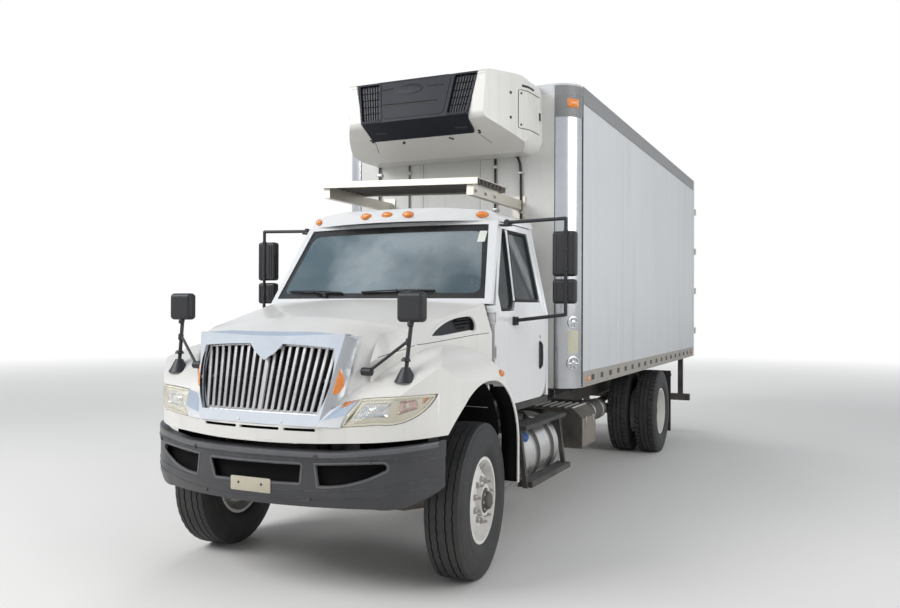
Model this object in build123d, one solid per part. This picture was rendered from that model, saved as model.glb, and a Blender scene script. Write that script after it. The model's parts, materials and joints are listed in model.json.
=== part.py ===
from build123d import *
import os
from math import cos, radians, sin

os.makedirs("parts", exist_ok=True)

# Millimetres. X points to the truck's left, Y rearwards and Z up.
# Sizes below are taken from the front axle; export moves the origin under the middle of the truck.

# Wheels, tyres and axles
WHEELBASE = 5780
TYRE_R = 530
TYRE_WIDTH = 279
RIM_LIP_R = 298
RIM_SEAT_R = 284
RIM_WIDTH = 226
TYRE_FIT = 0.3
HUB_R = 108
DRUM_R = 208
SPINDLE_R = 45
FRONT_WHEEL_X = 1026
FRONT_DISC_X = 96
REAR_OUTER_X = 1086
TWIN_SPACING = 343
KINGPIN_X = 880
KINGPIN_R = 22
STEER_REST_DEG = 5.5
HAND_HOLE_R = 31
PIN_FIT = 0.3

# Axles and springs
SPRING_X = 388
SPRING_WIDTH = 76
SPRING_REACH = 640
AXLE_BEAM_TOP = 520
AXLE_BEAM_DEPTH = 110
AXLE_STUB_R = 52
AXLE_NOSE_REACH = 330
DRUM_INNER_X = REAR_OUTER_X - 400

# Frame rails
RAIL_OUTER_X = 432
RAIL_HEIGHT = 256
RAIL_FLANGE = 80
RAIL_SHEET = 9
RAIL_TOP = 1000
RAIL_FRONT = -760
RAIL_REAR = 8190
RAIL_BOTTOM = RAIL_TOP - RAIL_HEIGHT
FRONT_SPRING_EYE_Z = RAIL_BOTTOM - 55
SHAFT_BEARING_Y = 3000

# Engine and radiator
ENGINE_HALF_WIDTH = 270
ENGINE_FRONT = -520
ENGINE_REAR = 470
RADIATOR_FRONT = -680

# Tanks, steps, locker, flaps and guard on the frame
TANK_R = 285
TANK_X = 790
TANK_Z = 640
TANK_FRONT = 1010
TANK_REAR = 1900
STRAP_WIDTH = 60
STRAP_SHEET = 5
SILENCER_X = 640
SILENCER_Z = 660
STEP_OUT = 1150
STEP_LOW_Z = 470
STEP_HIGH_Z = 919
STEP_SHEET = 30
LOCKER_X = (700, 1090)
LOCKER_Y = (2560, 3040)
LOCKER_Z = (500, 880)
AIR_TANK_R = 110
AIR_TANK_X = 900
AIR_TANK_Z = 760
FLAP_Y = WHEELBASE + TYRE_R + 150
GUARD_X = 1020
GUARD_Z = (430, 530)

# Insulated body
BOX_HALF_WIDTH = 1219
BOX_FRONT = 1931
BOX_REAR = 8288
BOX_BOTTOM = 1132
BOX_TOP = 3880
BOX_WALL = 80
BOX_FLOOR_DEPTH = 190
BOX_ROOF_DEPTH = 90
CORNER_R = 208
SKIN_SET_BACK = 5
TOP_RAIL_HEIGHT = 150
LOW_RAIL_HEIGHT = 140

# Rear portal and doors
REAR_FRAME_DEPTH = 84
REAR_POST = 160
REAR_HEADER = 280
REAR_DOOR_GAP = 6
REAR_DOOR_DEPTH = 70
REAR_DOOR_MEET = 10
REAR_DOOR_LOW = BOX_BOTTOM + BOX_FLOOR_DEPTH + REAR_DOOR_GAP
REAR_DOOR_HIGH = BOX_TOP - REAR_HEADER - REAR_DOOR_GAP
REAR_HINGE_X = 1227
REAR_HINGE_OUT = 57
REAR_HINGES = 4
REAR_BARREL_HALF = 35
REAR_PIN_R = 8
LOCK_ROD_R = 14

# Refrigeration unit on the front wall
UNIT_HALF_WIDTH = 895
UNIT_NOSE_HALF_WIDTH = 640
UNIT_NOSE = 1133
UNIT_TOP = BOX_TOP - 8
UNIT_BOTTOM = BOX_TOP - 640
UNIT_KINK = BOX_TOP - 399
PANEL_TOP_HALF = 602
PANEL_KINK_HALF = 518
PANEL_LEAN = 83 / 375
PANEL_SHEET = 26

# Deck over the cab roof
DECK_HALF_WIDTH = 755
DECK_FRONT = 790
DECK_REAR = 1400
DECK_TOP = BOX_TOP - 969
DECK_DEPTH = 52
DECK_SHEET = 6
DECK_TILT_DEG = 1.9
DECK_ARM_X = 680
DECK_ARM_HEIGHT = 84
DECK_ARM_WIDTH = 60

# Cab
CAB_HALF_WIDTH = 1035
CAB_ROOF_HALF_WIDTH = 872
CAB_FRONT = 500
CAB_REAR = 1700
CAB_SKIN = 40
CAB_FLOOR_Z = 1100
CAB_INNER_X = 974
FIREWALL_X = 960
DASH_TOP = 1818
BELT_Z = 1850
EAVES_Z = 2545
ROOF_CREST = 2660
ROOF_SHEET = 28
WINDSHIELD_FOOT = (350, 1905)
WINDSHIELD_HEAD = (765, 2545)
WINDSHIELD_BOW = 130
GLASS = 8
GLASS_HALF_FOOT = 950
GLASS_HALF_HEAD = 832

# Cab doors with their mirrors
DOOR_GAP = 6
DOOR_DEPTH = 55
DOOR_FRONT = 478
DOOR_REAR = 1640
DOOR_HINGE_X = 1048
DOOR_HINGE_Y = 486
DOOR_HINGE_ZS = (1520, 1780)
DOOR_BARREL_HALF = 35
DOOR_PIN_R = 5
DOOR_ARM_Y = 464
EAR_GAP = 0.4
EAR_THICK = 14
MIRROR_X = 1437
MIRROR_Y = 930
MIRROR_ARM_R = 14

# Hood with its fenders
HOOD_SHEET = 9
HOOD_REAR = 458
FENDER_HALF_WIDTH = 1180
FENDER_FOOT = 550
FENDER_LIP_X = 1075
FENDER_LIP = 28
LIP_FRONT = 350
LIP_TOP = 1330
VALANCE_Z = 1000
VALANCE_END_Z = 1056
APRON_Z = 1102
ARCH_CREST = 1345
HOOD_HINGE_Y = -972
HOOD_HINGE_Z = 1010
HOOD_HINGE_X = 293
HOOD_PIN_R = 6

# Grille face: it leans back, with a corner and a swept cheek on each side
FACE_NOSE = -1008
FACE_LEAN = 0.25
FACE_CORNER_SET_BACK = 20
FACE_CHEEK_SET_BACK = 122
OPENING_FOOT_Z = 1182
OPENING_TOP_Z = 1592
OPENING_CREST_Z = 1612
OPENING_FOOT_HALF = 452
OPENING_MIDDLE_HALF = 522
OPENING_TOP_HALF = 512
SURROUND_DEPTH = 28
WING_SHEET = 8
BAR_COUNT = 19
BAR_WIDTH = 20
BAR_DEPTH = 22
BAR_SET_BACK = 21.5

# Bumper
BUMPER_NOSE = -1045
BUMPER_TOP = 964
BUMPER_FOOT = 618
BUMPER_SHEET = 8
BUMPER_LIP = 62
BUMPER_HALF_WIDTH = 1165
BUMPER_BAND_Z = 922
BUMPER_CREASE_Z = 700
BUMPER_END_Y = -575
PLATE_HOLE_SPACING = 178
PLATE_HOLE_R = 3.5
PLATE_HOLE_Z = 738

REAR_TIP = BOX_REAR + REAR_HINGE_OUT + 14
MIDDLE_Y = (BUMPER_NOSE + REAR_TIP) / 2
ORIGIN_SHIFT = Pos(0, -MIDDLE_Y, 0)
TINY = 0.3


def slab(x0, x1, y0, y1, z0, z1):
    """A block between two corners."""
    return Pos((x0 + x1) / 2, (y0 + y1) / 2, (z0 + z1) / 2) * Box(x1 - x0, y1 - y0, z1 - z0)


def rod(start, end, radius):
    """A round bar from one point to another."""
    line = Vector(*end) - Vector(*start)
    return extrude(Plane(origin=start, z_dir=line) * Circle(radius), amount=line.length)


def outline(start, *steps):
    """A closed face. A step is a corner, or a pair: a point on the arc and the arc's end."""
    edges, here = [], start
    for step in steps:
        if isinstance(step[0], tuple):
            edges.append(ThreePointArc(here, *step))
            here = step[1]
        else:
            edges.append(Line(here, step))
            here = step
    if here != start:
        edges.append(Line(here, start))
    return make_face(Wire(edges))


def across(face, x0, x1):
    """Extrudes a side view (Y, Z) from x0 to x1."""
    return extrude(Plane.YZ.offset(x0) * face, amount=x1 - x0)


def along(face, y0, y1):
    """Extrudes a front view (X, Z) from y0 to y1."""
    return extrude(Plane.XZ.offset(-y0) * face, amount=y0 - y1)


def up(face, z0, z1):
    """Extrudes a plan view (X, Y) from z0 to z1."""
    return extrude(Plane.XY.offset(z0) * face, amount=z1 - z0)


def both_sides(half):
    """The shape and its mirror image across the truck."""
    return half + mirror(half, Plane.YZ)


def save(name, shape):
    """Writes one sub-part in the truck's own frame."""
    part = ORIGIN_SHIFT * shape
    solids = part.solids()
    part = solids[0] if len(solids) == 1 else Compound(children=solids)
    part.label = name
    export_step(part, f"parts/{name}.step")


# Chassis


def frame_rails():
    """Two channel rails, tied by cross-members."""
    inner = RAIL_OUTER_X - RAIL_SHEET
    web = slab(inner, RAIL_OUTER_X, RAIL_FRONT, RAIL_REAR, RAIL_BOTTOM, RAIL_TOP)
    rail = web
    for low in (RAIL_BOTTOM, RAIL_TOP - RAIL_SHEET):
        rail += slab(RAIL_OUTER_X - RAIL_FLANGE, inner, RAIL_FRONT, RAIL_REAR, low, low + RAIL_SHEET)
    frame = both_sides(rail)
    # Cross-members: centre along the frame, width, lowest and highest point above the rail's foot
    members = [
        (RAIL_FRONT + 80, 160, 6, 66),
        (1500, 80, 6, 60),
        (SHAFT_BEARING_Y, 70, 120, 240),
        (WHEELBASE - 800, 70, 40, 216),
        (WHEELBASE + 800, 70, 40, 216),
        (RAIL_REAR - 60, 90, 20, 236),
    ]
    for place, width, low, high in members:
        near, far = place - width / 2, place + width / 2
        frame += slab(-inner, inner, near, far, RAIL_BOTTOM + low, RAIL_BOTTOM + high)
    inside, outside = HOOD_HINGE_X - 11, HOOD_HINGE_X - 1
    bracket = slab(inside, outside, -742, -702, RAIL_BOTTOM + 60, HOOD_HINGE_Z + 9)
    bracket += slab(inside, outside, HOOD_HINGE_Y, -702, HOOD_HINGE_Z - 9, HOOD_HINGE_Z + 9)
    pin = (inside, HOOD_HINGE_Y, HOOD_HINGE_Z)
    bracket += rod(pin, (outside, HOOD_HINGE_Y, HOOD_HINGE_Z), 9)
    bracket += rod(pin, (HOOD_HINGE_X + 15, HOOD_HINGE_Y, HOOD_HINGE_Z), HOOD_PIN_R)
    return frame + both_sides(bracket)


def leaf_pack(y_mid, reach, z_seat, z_eye, leaves, thick):
    """A pack of flat leaves, longest on top, with an eye and a hanger at each end."""
    pack = None
    for n in range(leaves):
        span = reach * (1 - 0.22 * n)
        sag = z_seat + (leaves - n) * thick
        rise = z_eye - z_seat - leaves * thick
        curve = outline(
            (y_mid - span, sag + rise * (span / reach) ** 2),
            ((y_mid, sag), (y_mid + span, sag + rise * (span / reach) ** 2)),
            (y_mid + span, sag - thick + rise * (span / reach) ** 2),
            ((y_mid, sag - thick), (y_mid - span, sag - thick + rise * (span / reach) ** 2)),
        )
        leaf = across(curve, SPRING_X - SPRING_WIDTH / 2, SPRING_X + SPRING_WIDTH / 2)
        pack = leaf if pack is None else pack + leaf
    for end in (-reach, reach):
        eye_x = SPRING_X + SPRING_WIDTH / 2
        pack += rod((SPRING_X - SPRING_WIDTH / 2, y_mid + end, z_eye), (eye_x, y_mid + end, z_eye), 26)
        pack += slab(SPRING_X - 30, SPRING_X + 30, y_mid + end - 34, y_mid + end + 34, z_eye, RAIL_BOTTOM)
    return pack


def front_axle():
    """A dropped beam with kingpin eyes, on leaf springs under the rails."""
    low = AXLE_BEAM_TOP - AXLE_BEAM_DEPTH
    beam_outline = outline(
        (0, low),
        (560, low),
        (KINGPIN_X - 70, TYRE_R - 60),
        (KINGPIN_X + 2, TYRE_R - 60),
        (KINGPIN_X + 2, TYRE_R + 60),
        (KINGPIN_X - 90, TYRE_R + 60),
        (560, AXLE_BEAM_TOP),
        (0, AXLE_BEAM_TOP),
    )
    beam = along(beam_outline, -46, 46)
    web_cut = outline((60, low + 26), (540, low + 26), (540, AXLE_BEAM_TOP - 26), (60, AXLE_BEAM_TOP - 26))
    for y0, y1 in ((-47, -14), (14, 47)):
        beam -= along(web_cut, y0, y1)
    beam += rod((KINGPIN_X, 0, TYRE_R - 60), (KINGPIN_X, 0, TYRE_R + 60), 46)
    beam -= rod((KINGPIN_X, 0, TYRE_R - 70), (KINGPIN_X, 0, TYRE_R + 70), KINGPIN_R + TINY)
    springs = leaf_pack(0, SPRING_REACH, AXLE_BEAM_TOP, FRONT_SPRING_EYE_Z, 3, 16)
    seat = slab(SPRING_X - 50, SPRING_X + 50, -70, 70, AXLE_BEAM_TOP - 20, AXLE_BEAM_TOP + 8)
    return both_sides(beam + springs + seat)


def rear_axle():
    """A banjo housing with tubes, on leaf springs under the rails."""
    housing = rod((-DRUM_INNER_X + 8, WHEELBASE, TYRE_R), (DRUM_INNER_X - 8, WHEELBASE, TYRE_R), 68)
    bowl = rod((-90, WHEELBASE, TYRE_R), (90, WHEELBASE, TYRE_R), 205)
    nose = rod((0, WHEELBASE, TYRE_R + 20), (0, WHEELBASE - AXLE_NOSE_REACH, TYRE_R + 20), 82)
    springs = leaf_pack(WHEELBASE, SPRING_REACH, TYRE_R + 72, RAIL_BOTTOM - 30, 3, 18)
    seat = slab(SPRING_X - 55, SPRING_X + 55, WHEELBASE - 80, WHEELBASE + 80, TYRE_R + 40, TYRE_R + 80)
    stub = rod((DRUM_INNER_X - 20, WHEELBASE, TYRE_R), (REAR_OUTER_X - 60, WHEELBASE, TYRE_R), AXLE_STUB_R)
    axle = housing + bowl + nose + stub + mirror(stub, Plane.YZ)
    suspension = springs + seat
    return axle + suspension + mirror(suspension, Plane.YZ)


def engine():
    """The engine as one plain block."""
    return slab(-ENGINE_HALF_WIDTH, ENGINE_HALF_WIDTH, ENGINE_FRONT, ENGINE_REAR, 700, 1480)


def radiator():
    """Core between two tanks, with the charge cooler in front."""
    core = slab(-430, 430, RADIATOR_FRONT, RADIATOR_FRONT + 90, RAIL_TOP + 10, 1430)
    core += slab(-340, 340, RADIATOR_FRONT, RADIATOR_FRONT + 90, 890, RAIL_TOP + 10)
    tanks = slab(-420, 420, RADIATOR_FRONT - 10, RADIATOR_FRONT + 100, 1430, 1500)
    tanks += slab(-340, 340, RADIATOR_FRONT - 10, RADIATOR_FRONT + 100, 830, 890)
    feet = slab(200, 260, RADIATOR_FRONT + 10, RADIATOR_FRONT + 70, RAIL_BOTTOM + 66, 830)
    return core + tanks + both_sides(feet)


def drive_line():
    """Gearbox behind the engine, and the propeller shaft to the rear axle."""
    bell = rod((0, ENGINE_REAR, 870), (0, 620, 870), 200)
    gearbox = slab(-150, 150, 620, 1350, 810, 1050)
    flange_y = WHEELBASE - AXLE_NOSE_REACH - TINY
    shaft_rear = (0, flange_y + 20, TYRE_R + 20)
    bearing = (0, SHAFT_BEARING_Y, RAIL_BOTTOM + 50)
    shaft = rod((0, 1345, 940), bearing, 50) + rod(bearing, shaft_rear, 50)
    shaft += slab(-70, 70, SHAFT_BEARING_Y - 30, SHAFT_BEARING_Y + 30, RAIL_BOTTOM - 20, RAIL_BOTTOM + 120)
    return bell + gearbox + (shaft - slab(-90, 90, flange_y, flange_y + 90, TYRE_R - 90, TYRE_R + 130))


def exhaust():
    """Silencer hung beside the right rail, with its pipes."""
    silencer = rod((-SILENCER_X, 1500, SILENCER_Z), (-SILENCER_X, 2500, SILENCER_Z), 150)
    hangers = None
    for y in (1650, 2350):
        bracket = slab(-520, -RAIL_OUTER_X, y - 25, y + 25, 700, 860)
        hangers = bracket if hangers is None else hangers + bracket
    inlet = rod((-SILENCER_X, 1500, SILENCER_Z), (-560, 900, 700), 45)
    tail = rod((-SILENCER_X, 2500, SILENCER_Z), (-560, 4700, SILENCER_Z), 50)
    return silencer + hangers + inlet + tail


def fuel_tank():
    """A round aluminium tank with two straps on brackets."""
    tank = rod((TANK_X, TANK_FRONT, TANK_Z), (TANK_X, TANK_REAR, TANK_Z), TANK_R)
    tank = fillet(tank.edges().filter_by(GeomType.CIRCLE), 28)
    for y in (TANK_FRONT + 300, TANK_REAR - 230):
        tank += rod((TANK_X, y, TANK_Z), (TANK_X, y + STRAP_WIDTH, TANK_Z), TANK_R + STRAP_SHEET)
        tank += slab(RAIL_OUTER_X, TANK_X - 180, y, y + STRAP_WIDTH, TANK_Z + 60, TANK_Z + 300)
    return tank


def cab_steps():
    """Two treads below each door, on hangers from the rails."""
    treads = slab(1030, STEP_OUT, 985, 2000, STEP_LOW_Z - 40, STEP_LOW_Z)
    high_foot = STEP_HIGH_Z - STEP_SHEET
    treads += slab(948, 1120, 930, 1960, high_foot, STEP_HIGH_Z)
    low_foot = STEP_LOW_Z - 40
    hanger = outline((TANK_X + 100, high_foot), (1060, high_foot), (1120, low_foot), (1084, low_foot), (1030, 800))
    for y in (952, 1930):
        treads += along(hanger, y, y + 40)
        treads += slab(RAIL_OUTER_X, TANK_X + 130, y, y + 40, high_foot - 40, high_foot)
    return both_sides(treads)


def chassis_locker():
    """Battery locker behind the left tank, hung from the rail."""
    side = outline(
        (LOCKER_X[0], LOCKER_Z[0]),
        (LOCKER_X[1], LOCKER_Z[0]),
        (LOCKER_X[1], LOCKER_Z[1] - 80),
        (LOCKER_X[1] - 90, LOCKER_Z[1]),
        (LOCKER_X[0], LOCKER_Z[1]),
    )
    locker = along(side, *LOCKER_Y)
    for y in (LOCKER_Y[0] + 40, LOCKER_Y[1] - 90):
        locker += slab(RAIL_OUTER_X, LOCKER_X[0], y, y + 50, LOCKER_Z[1] - 160, LOCKER_Z[1] - 60)
    return locker


def air_tank():
    """A round air reservoir behind the locker."""
    tank = rod((AIR_TANK_X, 3200, AIR_TANK_Z), (AIR_TANK_X, 3780, AIR_TANK_Z), AIR_TANK_R)
    tank = fillet(tank.edges().filter_by(GeomType.CIRCLE), 30)
    for y in (3300, 3620):
        tank += slab(RAIL_OUTER_X, 830, y, y + 50, 780, 850)
    return tank


def mud_flaps():
    """Rubber flaps behind the rear wheels, on arms from the rails."""
    flap = slab(600, 1200, FLAP_Y, FLAP_Y + 12, 180, 1010)
    arm = slab(RAIL_OUTER_X, 1200, FLAP_Y + 12, FLAP_Y + 50, 930, 970)
    return both_sides(flap + arm)


def rear_guard():
    """Underride bar on posts below the rear sill."""
    bar = slab(-BOX_HALF_WIDTH + 60, BOX_HALF_WIDTH - 60, BOX_REAR - 100, BOX_REAR, *GUARD_Z)
    posts = slab(GUARD_X - 35, GUARD_X + 35, BOX_REAR - 90, BOX_REAR - 10, GUARD_Z[1], BOX_BOTTOM)
    braces = outline(
        (RAIL_REAR - 60, RAIL_BOTTOM + 150),
        (BOX_REAR - 20, RAIL_BOTTOM + 150),
        (BOX_REAR - 20, GUARD_Z[1]),
        (BOX_REAR - 90, GUARD_Z[1]),
    )
    return bar + both_sides(posts + across(braces, RAIL_OUTER_X, RAIL_OUTER_X + 10))


# Bumper


def bumper_plan(inset):
    """Plan view of the bumper's front, moved inwards by inset."""
    nose = BUMPER_NOSE + inset
    end = BUMPER_HALF_WIDTH - inset
    return outline(
        (-end, -500),
        ((-985 + inset * 0.7, -800 + inset * 0.7), (-800, -895 + inset)),
        ((0, nose), (800, -895 + inset)),
        ((985 - inset * 0.7, -800 + inset * 0.7), (end, -500)),
    )


def bumper_view(inset):
    """Front view of the bumper, which rises towards its ends."""
    top, foot = BUMPER_TOP - inset, BUMPER_FOOT + inset
    return outline(
        (-540, top),
        (540, top),
        ((860, top + 29), (1185, top + 69)),
        (1185, foot + 176),
        ((1060, foot + 54), (800, foot)),
        (-800, foot),
        ((-1060, foot + 54), (-1185, foot + 176)),
        (-1185, top + 69),
        ((-860, top + 29), (-540, top)),
    )


def bumper_body(inset):
    """The bumper's outer form, or with an inset its hollow: a band above, a face and a foot that leans in."""
    band = up(bumper_plan(inset), BUMPER_BAND_Z + inset, 1100)
    face = up(bumper_plan(inset + 5), BUMPER_CREASE_Z, BUMPER_BAND_Z + inset)
    low_plan = Plane.XY.offset(BUMPER_CREASE_Z - 100) * bumper_plan(inset + 34)
    crease_plan = Plane.XY.offset(BUMPER_CREASE_Z) * bumper_plan(inset + 5)
    foot = loft([low_plan, crease_plan], ruled=True)
    return (band + face + foot) & along(bumper_view(inset), -1200, BUMPER_END_Y)


def front_bumper():
    """Curved steel bumper with turned-in lips, three openings and the plate's holes."""
    skin = bumper_body(0) - bumper_body(BUMPER_SHEET) - up(bumper_plan(BUMPER_LIP), 500, 1100)
    middle = outline((-334, 869), (360, 877), (350, 769), (-292, 758))
    side = outline((463, 878), (862, 898), ((882, 880), (862, 855)), ((700, 786), (480, 757)))
    cut_reach = (BUMPER_NOSE - 50, -600)
    skin -= along(middle, *cut_reach)
    skin -= both_sides(along(side, *cut_reach))
    for x in (-PLATE_HOLE_SPACING / 2, PLATE_HOLE_SPACING / 2):
        skin -= rod((x, BUMPER_NOSE - 20, PLATE_HOLE_Z), (x, BUMPER_NOSE + 40, PLATE_HOLE_Z), PLATE_HOLE_R)
    arm = slab(RAIL_OUTER_X, RAIL_OUTER_X + 12, -990, RAIL_FRONT + 150, RAIL_BOTTOM + 20, BUMPER_BAND_Z)
    return skin + both_sides(arm)


# Hood and fenders


def wheel_arch(grow):
    """Side view of the wheel opening, grown outwards by grow."""
    return outline(
        (-600 - grow, 300),
        (-565 - grow, 1010),
        ((-300 - grow * 0.7, 1262 + grow * 0.7), (90, ARCH_CREST + grow)),
        ((468 + grow * 0.7, 1168 + grow * 0.7), (590 + grow, 880)),
        (590 + grow, 300),
    )


def upper_hood(inset):
    """The raised middle of the hood, lofted from the grille to the windshield."""
    # Stations: distance, crest, shoulder x and z, seam x and z
    stations = [
        (-1030, 1600, 500, 1555, 540, 1400),
        (-800, 1690, 612, 1655, 668, 1490),
        (-450, 1780, 800, 1706, 868, 1590),
        (HOOD_REAR, 1934, 968, 1880, 1024, 1660),
    ]
    faces = []
    for y, crest, shoulder_x, shoulder_z, seam_x, seam_z in stations:
        section = outline(
            (-seam_x + inset, APRON_Z),
            (-seam_x + inset, seam_z),
            (-shoulder_x + inset, shoulder_z - inset),
            ((0, crest - inset), (shoulder_x - inset, shoulder_z - inset)),
            (seam_x - inset, seam_z),
            (seam_x - inset, APRON_Z),
        )
        faces.append(Plane.XZ.offset(-y) * section)
    return loft(faces, ruled=True)


def fender_block(inset):
    """Both fenders and the front apron as one block, with the lips behind the wheel arches."""
    wide = FENDER_HALF_WIDTH - inset
    plan = outline(
        (-wide, 720),
        (-wide, -360),
        ((-1050 + inset * 0.7, -700 + inset * 0.7), (-640, -925 + inset)),
        ((0, -1012 + inset), (640, -925 + inset)),
        ((1050 - inset * 0.7, -700 + inset * 0.7), (wide, -360)),
        (wide, 720),
    )
    view = outline(
        (-1040, 985),
        (-1040, 1075),
        (-1000 + inset, 1110),
        (-830 + inset, 1280 - inset),
        ((-560, 1500 - inset), (-100, 1590 - inset)),
        ((78, 1560 - inset), (216 - inset, 1476 - inset)),
        (337 - inset, LIP_TOP),
        (362 - inset, 1290),
        (362 - inset, FENDER_FOOT),
        (300, FENDER_FOOT),
        (-400, 985),
    )
    front = outline(
        (-wide, 400),
        (-wide, 1360),
        ((-1110 + inset * 0.7, 1490 - inset * 0.7), (-860, 1610 - inset)),
        (860, 1610 - inset),
        ((1110 - inset * 0.7, 1490 - inset * 0.7), (wide, 1360)),
        (wide, 400),
    )
    lips = across(wheel_arch(FENDER_LIP - inset), -1300, 1300)
    lips &= slab(-1300, 1300, 300, 700, FENDER_FOOT, LIP_TOP)
    side = across(view, -1300, 1300) + lips
    return up(plan, 400, 1700) & side & along(front, -1100, 750)


def hood_front(inset):
    """The space behind the hood's nose, which rolls over at its top edge."""
    nose = outline(
        (-1045 + inset, 900),
        (-870 + inset, 1600),
        ((-842 + inset, 1662), (-780 + inset, 1697)),
        (-700, 2100),
        (800, 2100),
        (800, 900),
    )
    return across(nose, -1300, 1300)


def face_plan(inset, z):
    """Plan of the grille face at one height: bowed middle, corners and swept cheeks."""
    share = (z - 900) / 1100
    corner, cheek = 415 + 215 * share - 0.41 * inset, 535 + 115 * share - 0.7 * inset
    nose = face_y(0, z) + inset
    corner_y = face_y(0, z) + FACE_CORNER_SET_BACK + inset
    cheek_y = face_y(0, z) + FACE_CHEEK_SET_BACK + 0.7 * inset
    side_y = face_y(0, z) + 195 + inset
    section = outline(
        (-700, 0),
        (-700, side_y),
        (-cheek, cheek_y),
        (-corner, corner_y),
        ((0, nose), (corner, corner_y)),
        (cheek, cheek_y),
        (700, side_y),
        (700, 0),
    )
    return Plane.XY.offset(z) * section


def face_y(x, z):
    """How far forward the middle of the grille face lies at a place in the front view."""
    return FACE_NOSE + FACE_CORNER_SET_BACK * (x / 480) ** 2 + (z - 1000) * FACE_LEAN


def behind_face(inset):
    """The space behind the grille face, between the fenders."""
    return loft([face_plan(inset, 900), face_plan(inset, 2000)], ruled=True)


def front_band(near, far):
    """A sheet along the grille face, between two distances behind it."""
    return behind_face(near) - behind_face(far)


def grille_opening(grow):
    """Front view of the grille's opening, bowed at its sides and top."""
    foot_half, foot = OPENING_FOOT_HALF + grow, OPENING_FOOT_Z - grow
    top_half, top = OPENING_TOP_HALF + grow, OPENING_TOP_Z + grow
    return outline(
        (-foot_half, foot),
        (foot_half, foot),
        ((OPENING_MIDDLE_HALF + grow, 1400), (top_half, top)),
        ((0, OPENING_CREST_Z + grow), (-top_half, top)),
        ((-OPENING_MIDDLE_HALF - grow, 1400), (-foot_half, foot)),
    )


def lamp_view(grow):
    """Front view of the left headlamp, grown by grow."""
    return outline(
        (602 - grow, 1112 - grow),
        (684 - grow, 1282 + grow),
        ((900, 1303 + grow), (1108 + grow, 1314 + grow)),
        ((1040 + grow * 0.7, 1195 - grow * 0.7), (840, 1133 - grow)),
    )


def hood_blank(inset):
    """The hood's outer form, or with an inset its inner form."""
    ahead = slab(-699, 699, -1400, -1, 901, 1999) - behind_face(inset)
    return ((upper_hood(inset) & hood_front(inset)) - ahead) + fender_block(inset)


def panel_space():
    """The space of both fender panels: outside and below the headlamps, ahead of the wheel arches."""
    front = outline((545, 940), (598, 1109), (1095, 1298), (1112, 1420), (1300, 1420), (1300, 940))
    side = outline((-1300, 900), (-1300, 1290), (-560, 1316), (0, 1345), (0, 900))
    return both_sides(along(front, -1300, 0) & across(side, 500, 1300))


def lip_space():
    """The space of both lips behind the wheel arches."""
    return slab(-1300, 1300, LIP_FRONT, 900, 300, LIP_TOP)


def hood_mouldings():
    """All of the hood as one thin wall with its openings, before it is parted at the seams."""
    shell = hood_blank(0) - hood_blank(HOOD_SHEET)
    end = (1200, VALANCE_END_Z)
    under = outline((-1200, 300), (-1200, VALANCE_END_Z), ((0, VALANCE_Z), end), (1200, 300))
    shell -= along(under, -1300, -400)
    shell -= slab(-FENDER_LIP_X, FENDER_LIP_X, LIP_FRONT, 900, 300, LIP_TOP)
    shell -= both_sides(across(wheel_arch(0), 560, FENDER_HALF_WIDTH + 50))
    cowl_sides = ((0, WINDSHIELD_FOOT[0] - 15), (1040, HOOD_REAR))
    cowl = outline((-1040, 2000), (-1040, HOOD_REAR), cowl_sides, (1040, 2000))
    shell -= up(cowl, 1450, 2200)
    shell -= along(grille_opening(30), -1300, -600)
    shell -= both_sides(along(lamp_view(0), -1300, -300))
    # Air slots of the valance: from x, to x
    for x0, x1 in ((-418, -143), (-113, 190), (220, 440)):
        shell -= slab(x0, x1, -1100, -900, 1079, 1097)
    vent = outline((-253, 1656), ((-90, 1733), (236, 1785)), ((262, 1764), (193, 1690)), (-141, 1658))
    return shell - both_sides(across(vent, 700, 1100))


def hood_shell(mouldings):
    """Upper moulding of the hood, with the hinge lugs at its foot."""
    shell = mouldings - panel_space() - lip_space()
    x0, x1 = HOOD_HINGE_X + 1, HOOD_HINGE_X + 11
    lug = slab(x0, x1, HOOD_HINGE_Y - 16, HOOD_HINGE_Y + 12, HOOD_HINGE_Z - 10, 1050)
    lug -= rod((x0 - 1, HOOD_HINGE_Y, HOOD_HINGE_Z), (x1 + 1, HOOD_HINGE_Y, HOOD_HINGE_Z), HOOD_PIN_R + TINY)
    return shell + both_sides(lug)


def grille_surround():
    """Chromed frame round the grille, swept back on the cheeks, with a wing towards each headlamp."""
    outer = outline(
        (-OPENING_FOOT_HALF, 1112),
        (OPENING_FOOT_HALF, 1112),
        (575, 1300),
        (603, 1492),
        (618, 1620),
        ((600, 1662), (540, 1678)),
        ((0, 1697), (-540, 1678)),
        ((-600, 1662), (-618, 1620)),
        (-603, 1492),
        (-575, 1300),
    )
    peak = [(-130, 1622), (-130, 1612), (-80, 1556), (0, 1506), (80, 1556), (130, 1612), (130, 1622)]
    view = outer - grille_opening(0) + make_face(Polyline(*peak, close=True))
    blank = (along(view, -1200, -600) & front_band(-SURROUND_DEPTH, 0)) & hood_front(-SURROUND_DEPTH)
    wing = outline((445, 1112), (598, 1112), (678, 1280), (594, 1262), (500, 1200))
    wings = both_sides(along(wing, -1200, -600)) & (fender_block(-WING_SHEET) - fender_block(0))
    return (blank - fender_block(-1)) + wings


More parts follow.
